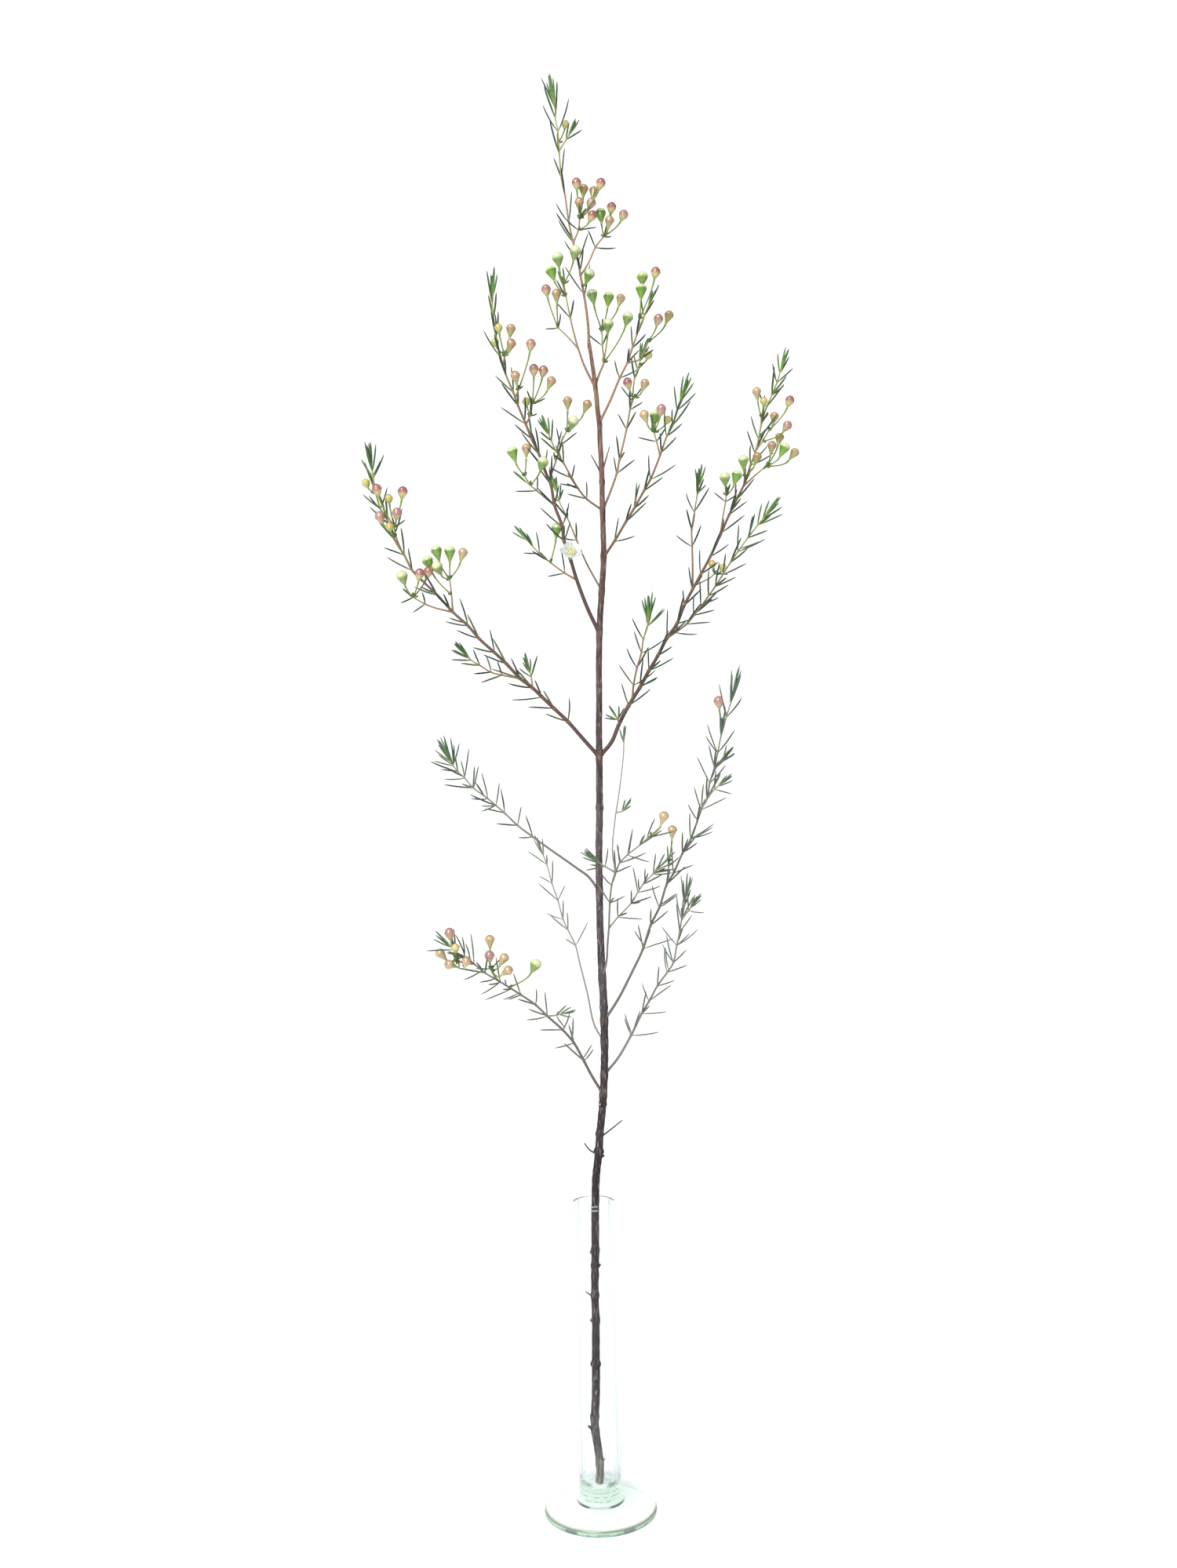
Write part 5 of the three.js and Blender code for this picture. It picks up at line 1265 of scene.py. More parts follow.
        Twig("main_stem", -46, (0.95, 0.42), 2, 35, (58, 42), 15.5, 7, (
            (6.5, 265), (1, 276.5), (-4, 286.5), (-10, 298), (-17, 306.5), (-26.5, 315.5), (-34, 323),
            (-43, 329.5), (-50.5, 334.5), (-57.5, 339), (-65.5, 344), (-72.5, 350), (-78, 354.5),
            (-84, 358), (-88.5, 363.5),
        )),
        Twig("branch_01_left", -3, (0.5, 0.4), 1, 30, (60, 45), 10, 4, (
            (-26.5, 315.5), (-21, 316), (-15.5, 317),
        )),
    )),
    Spray("branch_01_buds_tip", twigs=(
        Twig("branch_01_left", -4, (0.55, 0.45), 9, 30, (60, 50), 9, 0, (
            (-72.5, 350), (-79, 350.5), (-83, 353),
        )),
    ), buds=(
        Bud(-87.5, 370, -4, PINK, 2), Bud(-84, 361, -7, YELLOW, 2), Bud(-94, 357.5, -1, TAN, 2),
        Bud(-88.5, 350, -4, TAN, 2), Bud(-77, 352, -6, TAN, 1),
    )),
    Spray("branch_01_buds_upper", twigs=(
        Twig("branch_01_left", -2, (0.55, 0.45), 2, 10, (70, 60), 11, 0, (
            (-57.5, 339), (-60, 342.5), (-62, 346.5),
        )),
    ), buds=(
        Bud(-62, 365.5, 2, TAN, 2), Bud(-62.5, 355, -4, PINK, 2), Bud(-53, 353.5, 1, TAN, 2),
        Bud(-50.5, 345.5, -5, TAN, 2),
    )),
    Spray("branch_01_bud_right", "branch_01_left", (-50.5, 334.5), buds=(Bud(-33.5, 348, 4, WHITE, 0),)),
)


# ---- growth ----


class Draws:
    """A repeatable stream of draws between 0 and 1."""

    FACTOR, STEP, SIZE = 1664525, 1013904223, 2**32

    def __init__(self, seed: int) -> None:
        """Starts the stream at a seed."""
        self.state = seed

    def next(self) -> float:
        """The next draw, by a linear congruence."""
        self.state = (self.state * self.FACTOR + self.STEP) % self.SIZE
        return self.state / self.SIZE

    def within(self, low: float, width: float) -> float:
        """The next draw, between a value and that value plus a width."""
        return low + width * self.next()

    def about(self, width: float) -> float:
        """The next draw, up to half a width below or above 0."""
        return (self.next() - 0.5) * width


def placed(drawn: Array, depths: Array) -> Array:
    """Drawn places slid along their sight lines to a depth: EYE + (place - EYE) (1 + depth / distance)."""
    across = EYE + (drawn - EYE) * (1 + np.asarray(depths)[..., None] / EYE_DISTANCE)
    return np.stack((across[..., 0], np.broadcast_to(depths, across.shape[:-1]), across[..., 1]), axis=-1)


def shares_of(drawn: Array) -> Array:
    """Distance along a drawn route to each of its places, as a share of the whole."""
    along = np.concatenate(([0.0], np.cumsum(np.linalg.norm(np.diff(drawn, axis=0), axis=1))))
    return along / along[-1]


@dataclass
class Chain:
    """A twig in space: its drawn places, with their depths, thickness, points and directions."""

    drawn: Array
    depths: Array
    radii: Array
    points: Array = field(init=False)
    ways: Array = field(init=False)

    def __post_init__(self) -> None:
        """Works out the points and the directions."""
        self.points = placed(self.drawn, self.depths)
        self.ways = directions_of(self.points)

    def nearest(self, place: Place) -> tuple[float, Array, float]:
        """How far a drawn place lies from the chain, and the chain's nearest drawn place and its depth."""
        start, line = self.drawn[:-1], np.diff(self.drawn, axis=0)
        share = ((np.array(place) - start) * line).sum(axis=1) / (line**2).sum(axis=1)
        share = np.clip(share, 0, 1)
        spots = start + share[:, None] * line
        distances = np.hypot(*(np.array(place) - spots).T)
        best = int(np.argmin(distances))
        depth = self.depths[best] + share[best] * (self.depths[best + 1] - self.depths[best])
        return float(distances[best]), spots[best], float(depth)


def nearest_on(chains: Sequence[Chain], place: Place) -> tuple[Array, float]:
    """The drawn place and depth nearest to a place on any of the chains."""
    found = [chain.nearest(place) for chain in chains]
    _, spot, depth = min(found, key=lambda item: item[0])
    return spot, depth


def grown(twig: Twig | Stub, parents: Sequence[Chain]) -> Chain:
    """A twig in space, rooted where its route starts on its parents, depth and thickness even along it."""
    spot, depth = nearest_on(parents, twig.route[0])
    drawn = np.array((tuple(spot), *twig.route[1:]))
    share = shares_of(drawn)
    thick, thin = twig.girth
    return Chain(drawn, depth + twig.reach * share, thick + (thin - thick) * share)


class Room:
    """The room that the plant takes, as straight pieces with a radius and an owner."""

    def __init__(self, size: int = 8192) -> None:
        """Starts with no room taken."""
        self.starts = np.zeros((size, 3))
        self.lines = np.zeros((size, 3))
        self.radii = np.zeros(size)
        self.owners = np.full(size, -1)
        self.count = 0

    def take(self, owner: int, points: Array, radii: Array) -> None:
        """Takes the room of a chain; each piece has the greater radius of its two ends."""
        here = slice(self.count, self.count + len(points) - 1)
        self.starts[here] = points[:-1]
        self.lines[here] = np.diff(points, axis=0)
        self.radii[here] = np.maximum(radii[:-1], radii[1:])
        self.owners[here] = owner
        self.count = here.stop

    def is_free(self, owner: int, samples: Array, margin: float) -> bool:
        """Whether samples keep a margin from every piece of the other owners."""
        others = np.flatnonzero(self.owners[: self.count] != owner)
        line = self.lines[others]
        size = np.maximum((line**2).sum(axis=1), 1e-9)
        offset = samples[:, None] - self.starts[others]
        share = np.clip((offset * line).sum(axis=2) / size, 0, 1)
        distance = np.linalg.norm(offset - share[..., None] * line, axis=2)
        return bool((distance >= self.radii[others] + margin).all())


# ---- leaves ----


@dataclass
class Foliage:
    """A node's needle leaves, each a chain of base, middle and tip, with its twig's direction and youth."""

    chains: list[Array] = field(default_factory=list)
    ways: list[Array] = field(default_factory=list)
    youth: list[float] = field(default_factory=list)


@dataclass(frozen=True)
class LeafWish:
    """A wanted leaf: turn about the twig, spread and curl in degrees, length, slide and youth."""

    azimuth: float
    spread: float
    curl: float
    length: float
    slide: float
    youth: float


@dataclass(frozen=True)
class LeafForm:
    """Sizes of the needles, and the rules by which they grow."""

    radius: float = 0.62
    clearance: float = 0.42
    samples: int = 12
    half_width: float = 0.74
    half_depth: float = 0.55
    margin: float = 0.35
    slimming: float = 0.36
    broadening: float = 0.22
    sides: int = 6
    rows: tuple[float, ...] = (0.0, 0.08, 0.25, 0.5, 0.75, 0.9, 0.975)
    widths: tuple[float, ...] = (0.45, 0.7, 0.95, 1.0, 0.92, 0.66, 0.32)
    # a span for draws is the least value and the width above it; angles are in degrees
    pair_turn: float = 60.0
    pair_spread: float = 22.0
    pair_length: Span = (0.9, 0.4)
    pair_curl: Span = (-2.4, 12.0)
    pair_youth: float = 0.45
    tuft_turn: float = 30.0
    inner_spread: Span = (3.0, 5.0)
    outer_spread: Span = (0.3, 0.4)
    tuft_length: Span = (0.8, 0.3)
    tuft_curl: float = 4.0
    tuft_slides: Span = (-3.5, -1.5)
    tuft_youths: Span = (0.8, 1.0)
    bunch_spread: float = 30.0
    bunch_length: Span = (0.65, 0.4)
    bunch_step: float = 0.3
    bunch_curl: float = 6.0
    bunch_youth: Span = (0.15, 0.35)
    bunch_share: Span = (0.1, 0.6)
    flat_side: float = 0.8
    # turns about the twig and slides along it, tried in order until a leaf is clear
    tries: tuple[Place, ...] = (
        (0, 0), (25, 0), (-25, 0), (50, 0), (-50, 0), (0, -2), (35, -2), (-35, -2), (70, -2),
        (-70, -2), (0, 2), (40, 2), (-40, 2), (90, -2.5), (-90, -2.5), (120, -3), (-120, -3),
    )

    def chain(
        self, base: Array, way: Array, outward: Array, spread: float, curl: float, length: float
    ) -> Array:
        """A leaf's base, middle and tip, off its twig by spread + curl / 2, then by spread - curl / 2."""
        first, second = spread + curl / 2, spread - curl / 2
        middle = base + (way * np.cos(first) + outward * np.sin(first)) * length * 0.5
        tip = middle + (way * np.cos(second) + outward * np.sin(second)) * length * 0.5
        return np.stack((base, middle, tip))

    def sampled(self, chain: Array) -> Array:
        """Evenly spaced points along a leaf, from just outside the bark to its tip."""
        share = 2 * np.arange(1, self.samples + 1) / self.samples
        return np.stack([np.interp(share, (0, 1, 2), chain[:, axis]) for axis in range(3)], axis=-1)

    def clear_chain(self, root: Array, way: Array, wish: LeafWish, owner: int, room: Room) -> Array | None:
        """The clear leaf that is nearest to the wanted one.

        Args:
            root: the place on the twig where it grows.
            way: the twig's direction there.
            wish: the wanted leaf.
            owner: number of its node.
            room: what the plant takes.

        Returns:
            Its base, middle and tip, or None where none fits.
        """
        side, back = square_to(way)
        spread, curl = np.radians((wish.spread, wish.curl))
        for turn, slide in self.tries:
            angle = np.radians(wish.azimuth + turn)
            outward = side * np.cos(angle) + back * np.sin(angle)
            leaf = self.chain(root + way * (wish.slide + slide), way, outward, spread, curl, wish.length)
            if room.is_free(owner, self.sampled(leaf), self.radius + self.clearance):
                return leaf
        return None

    def add(self, root: Array, way: Array, wish: LeafWish, owner: int, room: Room, foliage: Foliage) -> None:
        """Grows one leaf where it fits, which then takes room."""
        leaf = self.clear_chain(root, way, wish, owner, room)
        if leaf is not None:
            room.take(owner, leaf, np.full(3, self.radius))
            foliage.chains.append(leaf)
            foliage.ways.append(way)
            foliage.youth.append(wish.youth)

    def grow(self, twig: Twig, chain: Chain, seed: int, owner: int, room: Room, foliage: Foliage) -> None:
        """Grows a twig's main leaves: crossed pairs at its places, and a tuft of young ones at its tip.

        Args:
            twig: the twig's description.
            chain: the twig in space.
            seed: where its draws start.
            owner: number of its node.
            room: what the plant takes, which each leaf adds to.
            foliage: where the leaves are kept.
        """
        draws = Draws(seed)
        last = len(chain.points) - 1
        low, high = twig.spread
        for at in range(twig.first, last if twig.tuft else last + 1):
            age = (at - twig.first) / max(last - twig.first, 1)
            for half in (0, 180):
                azimuth = twig.phase + half + 90 * (at - twig.first) + draws.about(self.pair_turn)
                spread = low + (high - low) * age + draws.about(self.pair_spread)
                length = twig.length * draws.within(*self.pair_length)
                curl = draws.within(*self.pair_curl)
                wish = LeafWish(azimuth, spread, curl, length, 0.0, self.pair_youth * age**3)
                self.add(chain.points[at], chain.ways[at], wish, owner, room, foliage)
        for i in range(twig.tuft):
            inner = i % 2
            azimuth = twig.phase + 360 * i / twig.tuft + draws.about(self.tuft_turn)
            spread = draws.within(*self.inner_spread) if inner else high * draws.within(*self.outer_spread)
            length = twig.length * draws.within(*self.tuft_length)
            slide, youth = self.tuft_slides[inner], self.tuft_youths[inner]
            wish = LeafWish(azimuth, spread, self.tuft_curl, length, slide, youth)
            self.add(chain.points[last], chain.ways[last], wish, owner, room, foliage)

    def fill(
        self, twig: Twig, chain: Chain, seed: int, owner: int, room: Room, foliage: Foliage, bunch: int
    ) -> None:
        """Grows a bunch of smaller leaves at each place of a twig, where they fit; see grow for the rest."""
        draws = Draws(seed)
        low, high = twig.spread
        for at in range(twig.first, len(chain.points) - 1):
            age = (at - twig.first) / max(len(chain.points) - 1 - twig.first, 1)
            step = chain.points[at + 1] - chain.points[at]
            for _ in range(bunch):
                azimuth = 360 * draws.next()
                spread = low + (high - low) * age + draws.about(self.bunch_spread)
                length = twig.length * draws.within(*self.bunch_length)
                root = chain.points[at] + step * self.bunch_step * draws.next()
                youth = self.bunch_youth[0] + self.bunch_youth[1] * age**2
                wish = LeafWish(azimuth, spread, self.bunch_curl, length, 0.0, youth)
                if draws.next() < self.bunch_share[0] + self.bunch_share[1] * age:
                    self.add(root, unit(step), wish, owner, room, foliage)

    def kept_inside(self, chains: Array) -> Array:
        """The leaves, with those shortened whose tips would pass the part's box less a margin."""
        low, high = np.array(CAD_BOX) / METRES + np.array((self.margin, -self.margin))[:, None]
        base, tip = chains[:, 0], chains[:, 2]
        limit = np.where(tip > base, high, low)
        past = (tip < low) | (tip > high)
        kept = np.where(past, (limit - base) / np.where(past, tip - base, 1), 1).min(axis=1)
        return base[:, None] + (chains - base[:, None]) * kept[:, None, None]

    def shell(self, foliage: Foliage, seed: int, haze: float = 0.0) -> Shell:
        """Needles about curves.

        A needle's curve is (1 - t)^2 base + 2 t (1 - t) bend + t^2 tip, where the bend takes it through
        the middle. Its rings are place + n d cos a + b w sin a, drawn in by a fifth at every second
        point, where n faces the twig and b lies across: a section like a rounded triangle.

        Args:
            foliage: the leaves.
            seed: where the draws of their shades start.
            haze: how grey and slim they are drawn, a painted light spill; young ones are broader.

        Returns:
            All the needles in one shell.
        """
        chains, ways = self.kept_inside(np.array(foliage.chains)), np.array(foliage.ways)
        count = len(chains)
        base, middle, tip = chains.transpose(1, 0, 2)[:, :, None]
        bend = 2 * middle - (base + tip) / 2
        t = np.array(self.rows)[:, None]
        curve = (1 - t) ** 2 * base + 2 * t * (1 - t) * bend + t**2 * tip
        tangent = unit((1 - t) * (bend - base) + t * (tip - bend))
        across = unit(np.cross(tangent, ways[:, None] + 1e-3 * UPWARD))
        facing = np.cross(across, tangent)
        angle = np.linspace(0, TURN, self.sides, endpoint=False)
        section = np.where(np.arange(self.sides) % 2, 1.0, self.flat_side)
        youth = np.array(foliage.youth)[:, None, None]
        size = np.array(self.widths)[:, None] * section
        size = size * (1 - self.slimming * haze) * (1 + self.broadening * youth)
        along_n = (size * np.cos(angle) * self.half_depth)[..., None]
        along_b = (size * np.sin(angle) * self.half_width)[..., None]
        rings = curve[:, :, None] + facing[:, :, None] * along_n - across[:, :, None] * along_b
        shade = np.random.default_rng(seed).random(count)
        values = {
            "rise": t, "youth": youth, "shade": shade[:, None, None],
            "face": 0.5 + 0.5 * np.cos(angle), "haze": haze,
        }
        return tubes(rings, base[:, 0], tip[:, 0], values)


# ---- buds ----


@dataclass(frozen=True)
class BudForm:
    """A kind of bud: the height of its heart, its outline from the foot of its cup up, and its skin.

    The outline holds (height, radius) of the cup up to its rim, and then of the folded petals up to the
    crown.
    """

    heart: float
    cup: tuple[Place, ...]
    dome: tuple[Place, ...]
    skin: BudSkin
    twist: float = 0.35


BUD_FORMS = {
    PINK: BudForm(
        5.2,
        ((0, 0.48), (0.7, 0.8), (1.8, 1.5), (3.1, 2.25), (4.5, 2.85)),
        ((5.1, 3.0), (5.9, 3.0), (6.9, 2.65), (7.8, 1.9), (8.4, 0.95)),
        BudSkin(
            "bud_pink",
            ((0.0, (122, 152, 54)), (0.14, (152, 166, 80)), (0.3, (184, 180, 118)), (0.44, (180, 146, 108)),
             (0.54, (154, 102, 90)), (0.68, (144, 80, 82)), (0.84, (124, 54, 64)), (1.0, (84, 26, 40))),
            (136, 70, 70), faded=(170, 138, 124), fading=0.7,
        ),
    ),
    TAN: BudForm(
        7.6,
        ((0, 0.48), (1.7, 0.78), (3.5, 1.4), (5.1, 2.1), (6.6, 2.75)),
        ((7.2, 2.95), (8.2, 2.9), (9.1, 2.45), (9.8, 1.6), (10.2, 0.8)),
        BudSkin(
            "bud_tan",
            ((0.0, (106, 140, 46)), (0.2, (116, 138, 52)), (0.36, (132, 132, 70)), (0.54, (142, 114, 74)),
             (0.68, (162, 132, 86)), (0.8, (142, 104, 72)), (0.92, (104, 68, 54)), (1.0, (80, 50, 44))),
            (136, 96, 70), 0.2,
        ),
    ),
    GREEN: BudForm(
        6.0,
        ((0, 0.54), (1.8, 0.95), (3.8, 1.8), (5.8, 2.7), (7.5, 3.35)),
        ((8.0, 3.5), (8.8, 3.45), (9.8, 3.05), (10.6, 2.2), (11.1, 1.05)),
        BudSkin(
            "bud_green",
            # the darkest green, just below the rim, is painted shade under the dome
            ((0.0, (124, 146, 48)), (0.25, (106, 148, 34)), (0.5, (88, 138, 26)), (0.58, (76, 124, 28)),
             (0.62, (134, 172, 82)), (0.67, (188, 208, 148)), (0.85, (200, 214, 170)),
             (1.0, (158, 182, 112))),
            (88, 138, 34), fading=0.1,
        ),
    ),
    WHITE: BudForm(
        6.2,
        ((0, 0.48), (1.3, 0.85), (3.0, 1.75), (4.7, 2.7), (6.0, 3.3)),
        ((6.4, 3.48), (7.5, 3.5), (8.7, 3.05), (9.6, 2.2), (10.3, 1.05)),
        BudSkin(
            "bud_white",
            # the darkest green, just below the rim, is painted shade under the dome
            ((0.0, (104, 126, 54)), (0.3, (98, 130, 50)), (0.46, (84, 124, 42)), (0.53, (140, 164, 94)),
             (0.6, (190, 198, 146)), (0.85, (202, 206, 166)), (1.0, (164, 176, 112))),
            (112, 148, 62), fading=0.12,
        ),
    ),
    YELLOW: BudForm(
        4.0,
        ((0, 0.46), (0.6, 0.95), (1.5, 1.7), (2.5, 2.25), (3.2, 2.45)),
        ((3.6, 2.5), (4.4, 2.4), (5.1, 2.0), (5.7, 1.4), (6.15, 0.75)),
        BudSkin(
            "bud_yellow",
            ((0.0, (126, 156, 56)), (0.3, (152, 164, 72)), (0.55, (176, 166, 86)), (0.8, (176, 138, 82)),
             (1.0, (140, 92, 64))),
            (160, 166, 82),
        ),
    ),
}


@dataclass
class BudPlan:
    """A bud in space: the root and foot of its stalk, its axis and its kind."""

    root: Array
    foot: Array
    axis: Array
    kind: Kind


@dataclass(frozen=True)
class BudMaker:
    """Makes buds with their stalks and bracts."""

    stalk_radius: float = 0.48
    upright: float = 0.7
    sides: int = 30
    ribs: float = 0.03
    seam: float = 0.13
    lobe: float = 0.24
    bract_length: float = 3.0
    bract_spread: float = 34.0
    bract_curl: float = 30.0
    bract_youth: float = 0.75
    stalk_sides: int = 8
    outline_step: float = 0.45

    def plan(self, root: Array, heart: Array, kind: Kind) -> BudPlan:
        """The axis leans from the stalk's direction towards upright; the foot lies below the heart on it."""
        axis = unit(unit(heart - root) + self.upright * UPWARD)
        return BudPlan(root, heart - axis * BUD_FORMS[kind].heart, axis, kind)

    def outline(self, form: BudForm) -> tuple[Array, Array, Array]:
        """The outline made finer: heights, radii and shares of its length."""
        places = np.array(form.cup + form.dome)
        fine, _ = smoothed(np.insert(places, 1, 0.0, axis=1), self.outline_step)
        height, radius = fine[:, 0], fine[:, 2]
        length = np.concatenate(([0.0], np.cumsum(np.hypot(np.diff(height), np.diff(radius)))))
        return height, radius, length / (length[-1] + radius[-1])

    def heads(self, kind: Kind, plans: Sequence[BudPlan], seed: int, finish: int, fade: float) -> Shell:
        """Buds of one kind.

        The radius at height h and angle a is r(h) (1 + ribs cos 10a) on the cup. The folded petals have
        five seams, where it is less by seam exp(-(sin(2.5 (a + twist (h - rim))) / 0.3)^2), and five
        sepals lie on their foot, where it is greater by lobe (0.5 + 0.5 cos 5a) within a millimetre of
        the rim.

        Args:
            kind: the kind of bud.
            plans: their places.
            seed: where the draws of their turns and shades start.
            finish: number of the material.
            fade: how faded the least faded of them is.

        Returns:
            The buds in one shell.
        """
        form = BUD_FORMS[kind]
        height, radius, rise = (part[:, None] for part in self.outline(form))
        rim = form.dome[0][0]
        angle = np.linspace(0, TURN, self.sides, endpoint=False)
        on_dome = np.clip((height - rim) / 0.5 + 0.5, 0, 1)
        ribs = 1 + self.ribs * np.cos(10 * angle) * (1 - on_dome)
        seams = self.seam * bell(np.sin(2.5 * (angle + form.twist * (height - rim))), 0.3) * on_dome
        sepal = (0.5 + 0.5 * np.cos(5 * angle)) * bell(height - rim - 0.2, 0.75)
        size = radius * ribs - seams * np.minimum(radius, 1) + self.lobe * sepal
        draws = np.random.default_rng(seed)
        feet = np.array([plan.foot for plan in plans])
        axes = np.array([plan.axis for plan in plans])
        side, back = square_to(axes)
        turned = angle + draws.random(len(plans))[:, None] * TURN
        spoke = side[:, None] * np.cos(turned)[..., None] - back[:, None] * np.sin(turned)[..., None]
        rings = feet[:, None, None] + axes[:, None, None] * height[..., None]
        rings = rings + spoke[:, None] * size[..., None]
        crown = feet + axes * (height[-1, 0] + 0.25 * radius[-1, 0])
        shade = fade + (1 - fade) * draws.random(len(plans))[:, None, None]
        values = {"rise": rise, "lobe": sepal, "shade": shade}
        return tubes(rings, feet, crown, values, finish)

    def stalks(self, plans: Sequence[BudPlan], finish: int) -> list[Shell]:
        """The stalks: curves (1 - t)^2 root + 2 t (1 - t) bend + t^2 foot that end along the buds' axes."""
        t = np.linspace(0, 1, 12)[:, None]
        radii = self.stalk_radius * (0.92 + 0.45 * bell(t - 1, 0.25) + 0.5 * bell(t, 0.1))
        made = []
        for plan in plans:
            bend = plan.foot - plan.axis * np.linalg.norm(plan.foot - plan.root) * 0.3
            curve = (1 - t) ** 2 * plan.root + 2 * t * (1 - t) * bend + t**2 * (plan.foot + 0.3 * plan.axis)
            made.append(swept(curve, radii, self.stalk_sides, {"rise": t}, finish=finish))
        return made

    def bracts(self, plans: Sequence[BudPlan], seed: int) -> Foliage:
        """Two small bracts at the root of each stalk."""
        draws = np.random.default_rng(seed)
        foliage = Foliage()
        spread, curl = np.radians((self.bract_spread, self.bract_curl))
        for plan in plans:
            way = unit(plan.foot - plan.root)
            side, back = square_to(way)
            turn = draws.random() * TURN
            for angle in (turn, turn + np.pi):
                outward = side * np.cos(angle) + back * np.sin(angle)
                base = plan.root + way * 0.3
                length = self.bract_length * (0.7 + 0.5 * draws.random())
                foliage.chains.append(LEAVES.chain(base, way, outward, spread, curl, length))
                foliage.ways.append(way)
                foliage.youth.append(self.bract_youth)
        return foliage


LEAVES = LeafForm()
BUD_MAKER = BudMaker()


# ---- the main stem ----


@dataclass(frozen=True)
class MainStem:
    """The woody stem, which leans on the vase's rim, with its trimmed stubs."""

    route: tuple[Place, ...] = STEM_ROUTE
    stubs: tuple[Stub, ...] = STEM_STUBS
    lean: tuple[float, float, float] = (-3.88, 0.0735, 0.000049)
    girth: tuple[Place, ...] = ((0, 2.5), (0.45, 2.35), (0.7, 2.0), (0.88, 1.7), (0.96, 1.4), (1, 1.2))
    sides: int = 24
    step: float = 0.9
    relief: float = 0.1
    node_width: float = 3.2
    knob_width: float = 1.6
    knob_rise: float = 0.2
    scar_turn: float = 1.2
    old_scars: tuple[float, ...] = (
        163.5, 147.5, 135.5, 120, 107, 92.5, 83, 67.5, 59.5, 51.5, 226, 318, 402, 447,
    )
    cut_depth: float = 0.12
    fork_swelling: float = 0.13
    fork_collar: Span = (0.8, 1.6)
    waves: tuple[Span, ...] = ((2, 0.05), (3, 0.09), (5, 0.16), (7, 0.34), (9, 0.7))
    stub_step: float = 0.6
    stub_sides: int = 12
    stub_base: Span = (0.5, 2.6)

    def chain(self) -> Chain:
        """The stem in space: its depth at height z is start + slope z - ease z^2."""
        start, slope, ease = self.lean
        drawn = np.array(self.route, dtype=float)
        height = drawn[:, 1]
        share, radius = np.array(self.girth).T
        depths = start + slope * height - ease * height**2
        return Chain(drawn, depths, np.interp(shares_of(drawn), share, radius))

    def bark(self, chain: Chain, forks: Array) -> Shell:
        """The stem's surface.

        The radius at distance s and angle a is r (1 + relief (sum of sin(n a + w s + p) / 3) + swelling),
        where p and w differ for each n. The swelling is a bump at each fork, and at each old scar k it is
        a pair of knobs, with 0.25 + cos(a - k turn)^4.
        """
        curve, behind = smoothed(chain.points, self.step)
        along = np.concatenate(([0.0], np.cumsum(np.linalg.norm(np.diff(curve, axis=0), axis=1))))
        radius = np.interp(behind, np.arange(len(chain.radii)), chain.radii)
        near = np.abs(curve[:, 2:] - forks).min(axis=1)
        scars = np.array([stub.route[0][1] for stub in self.stubs] + list(self.old_scars))
        angle = np.linspace(0, TURN, self.sides, endpoint=False)
        pairs = np.cos(angle - np.arange(len(scars))[:, None] * self.scar_turn) ** 4
        swelling = self.fork_swelling * bell(near, self.node_width)[:, None]
        swelling = swelling + self.knob_rise * bell(curve[:, 2:] - scars, self.knob_width) @ (0.25 + pairs)
        draws = np.random.default_rng(5)
        ripple = sum(
            np.sin(n * angle + w * along[:, None] * draws.choice((-1, 1)) + draws.random() * TURN)
            for n, w in self.waves
        ) / 3
        size = radius[:, None] * (1 + self.relief * ripple + swelling)
        height = (curve[:, 2] - curve[0, 2]) / (curve[-1, 2] - curve[0, 2])
        cut = (np.arange(len(curve)) < 1).astype(float)
        collar, width = self.fork_collar
        values = {"height": height, "collar": collar * bell(near, width), "cut": cut}
        return swept(curve, size, self.sides, values, 0.05)

    def stub(self, chain: Chain, base: float) -> Shell:
        """A stub with a flat pale cut at its end."""
        curve, behind = smoothed(chain.points, self.stub_step)
        radius = np.interp(behind, np.arange(len(chain.radii)), chain.radii)
        way = unit(curve[-1] - curve[-2])
        curve = np.concatenate((curve, [curve[-1] + way * 0.02, curve[-1] + way * 0.03]))
        radius = np.concatenate((radius, [radius[-1] * 0.96, radius[-1] * 0.7]))
        cut = np.concatenate((np.zeros(len(behind)), [1.0, 1.0]))
        swelling, width = self.stub_base
        knobs = 1 + swelling * bell(np.arange(len(curve)) * self.stub_step, width)
        values = {"height": np.full(len(curve), base), "collar": 0.0, "cut": cut}
        return swept(curve, radius * knobs, self.stub_sides, values, -self.cut_depth)

    def shells(self, forks: Array) -> list[Shell]:
        """The stem and its stubs."""
        chain = self.chain()
        made = [self.bark(chain, forks)]
        low, high = chain.points[0, 2], chain.points[-1, 2]
        for stub in self.stubs:
            grown_stub = grown(stub, [chain])
            made.append(self.stub(grown_stub, (grown_stub.points[0, 2] - low) / (high - low)))
        return made


# ---- the open flower ----


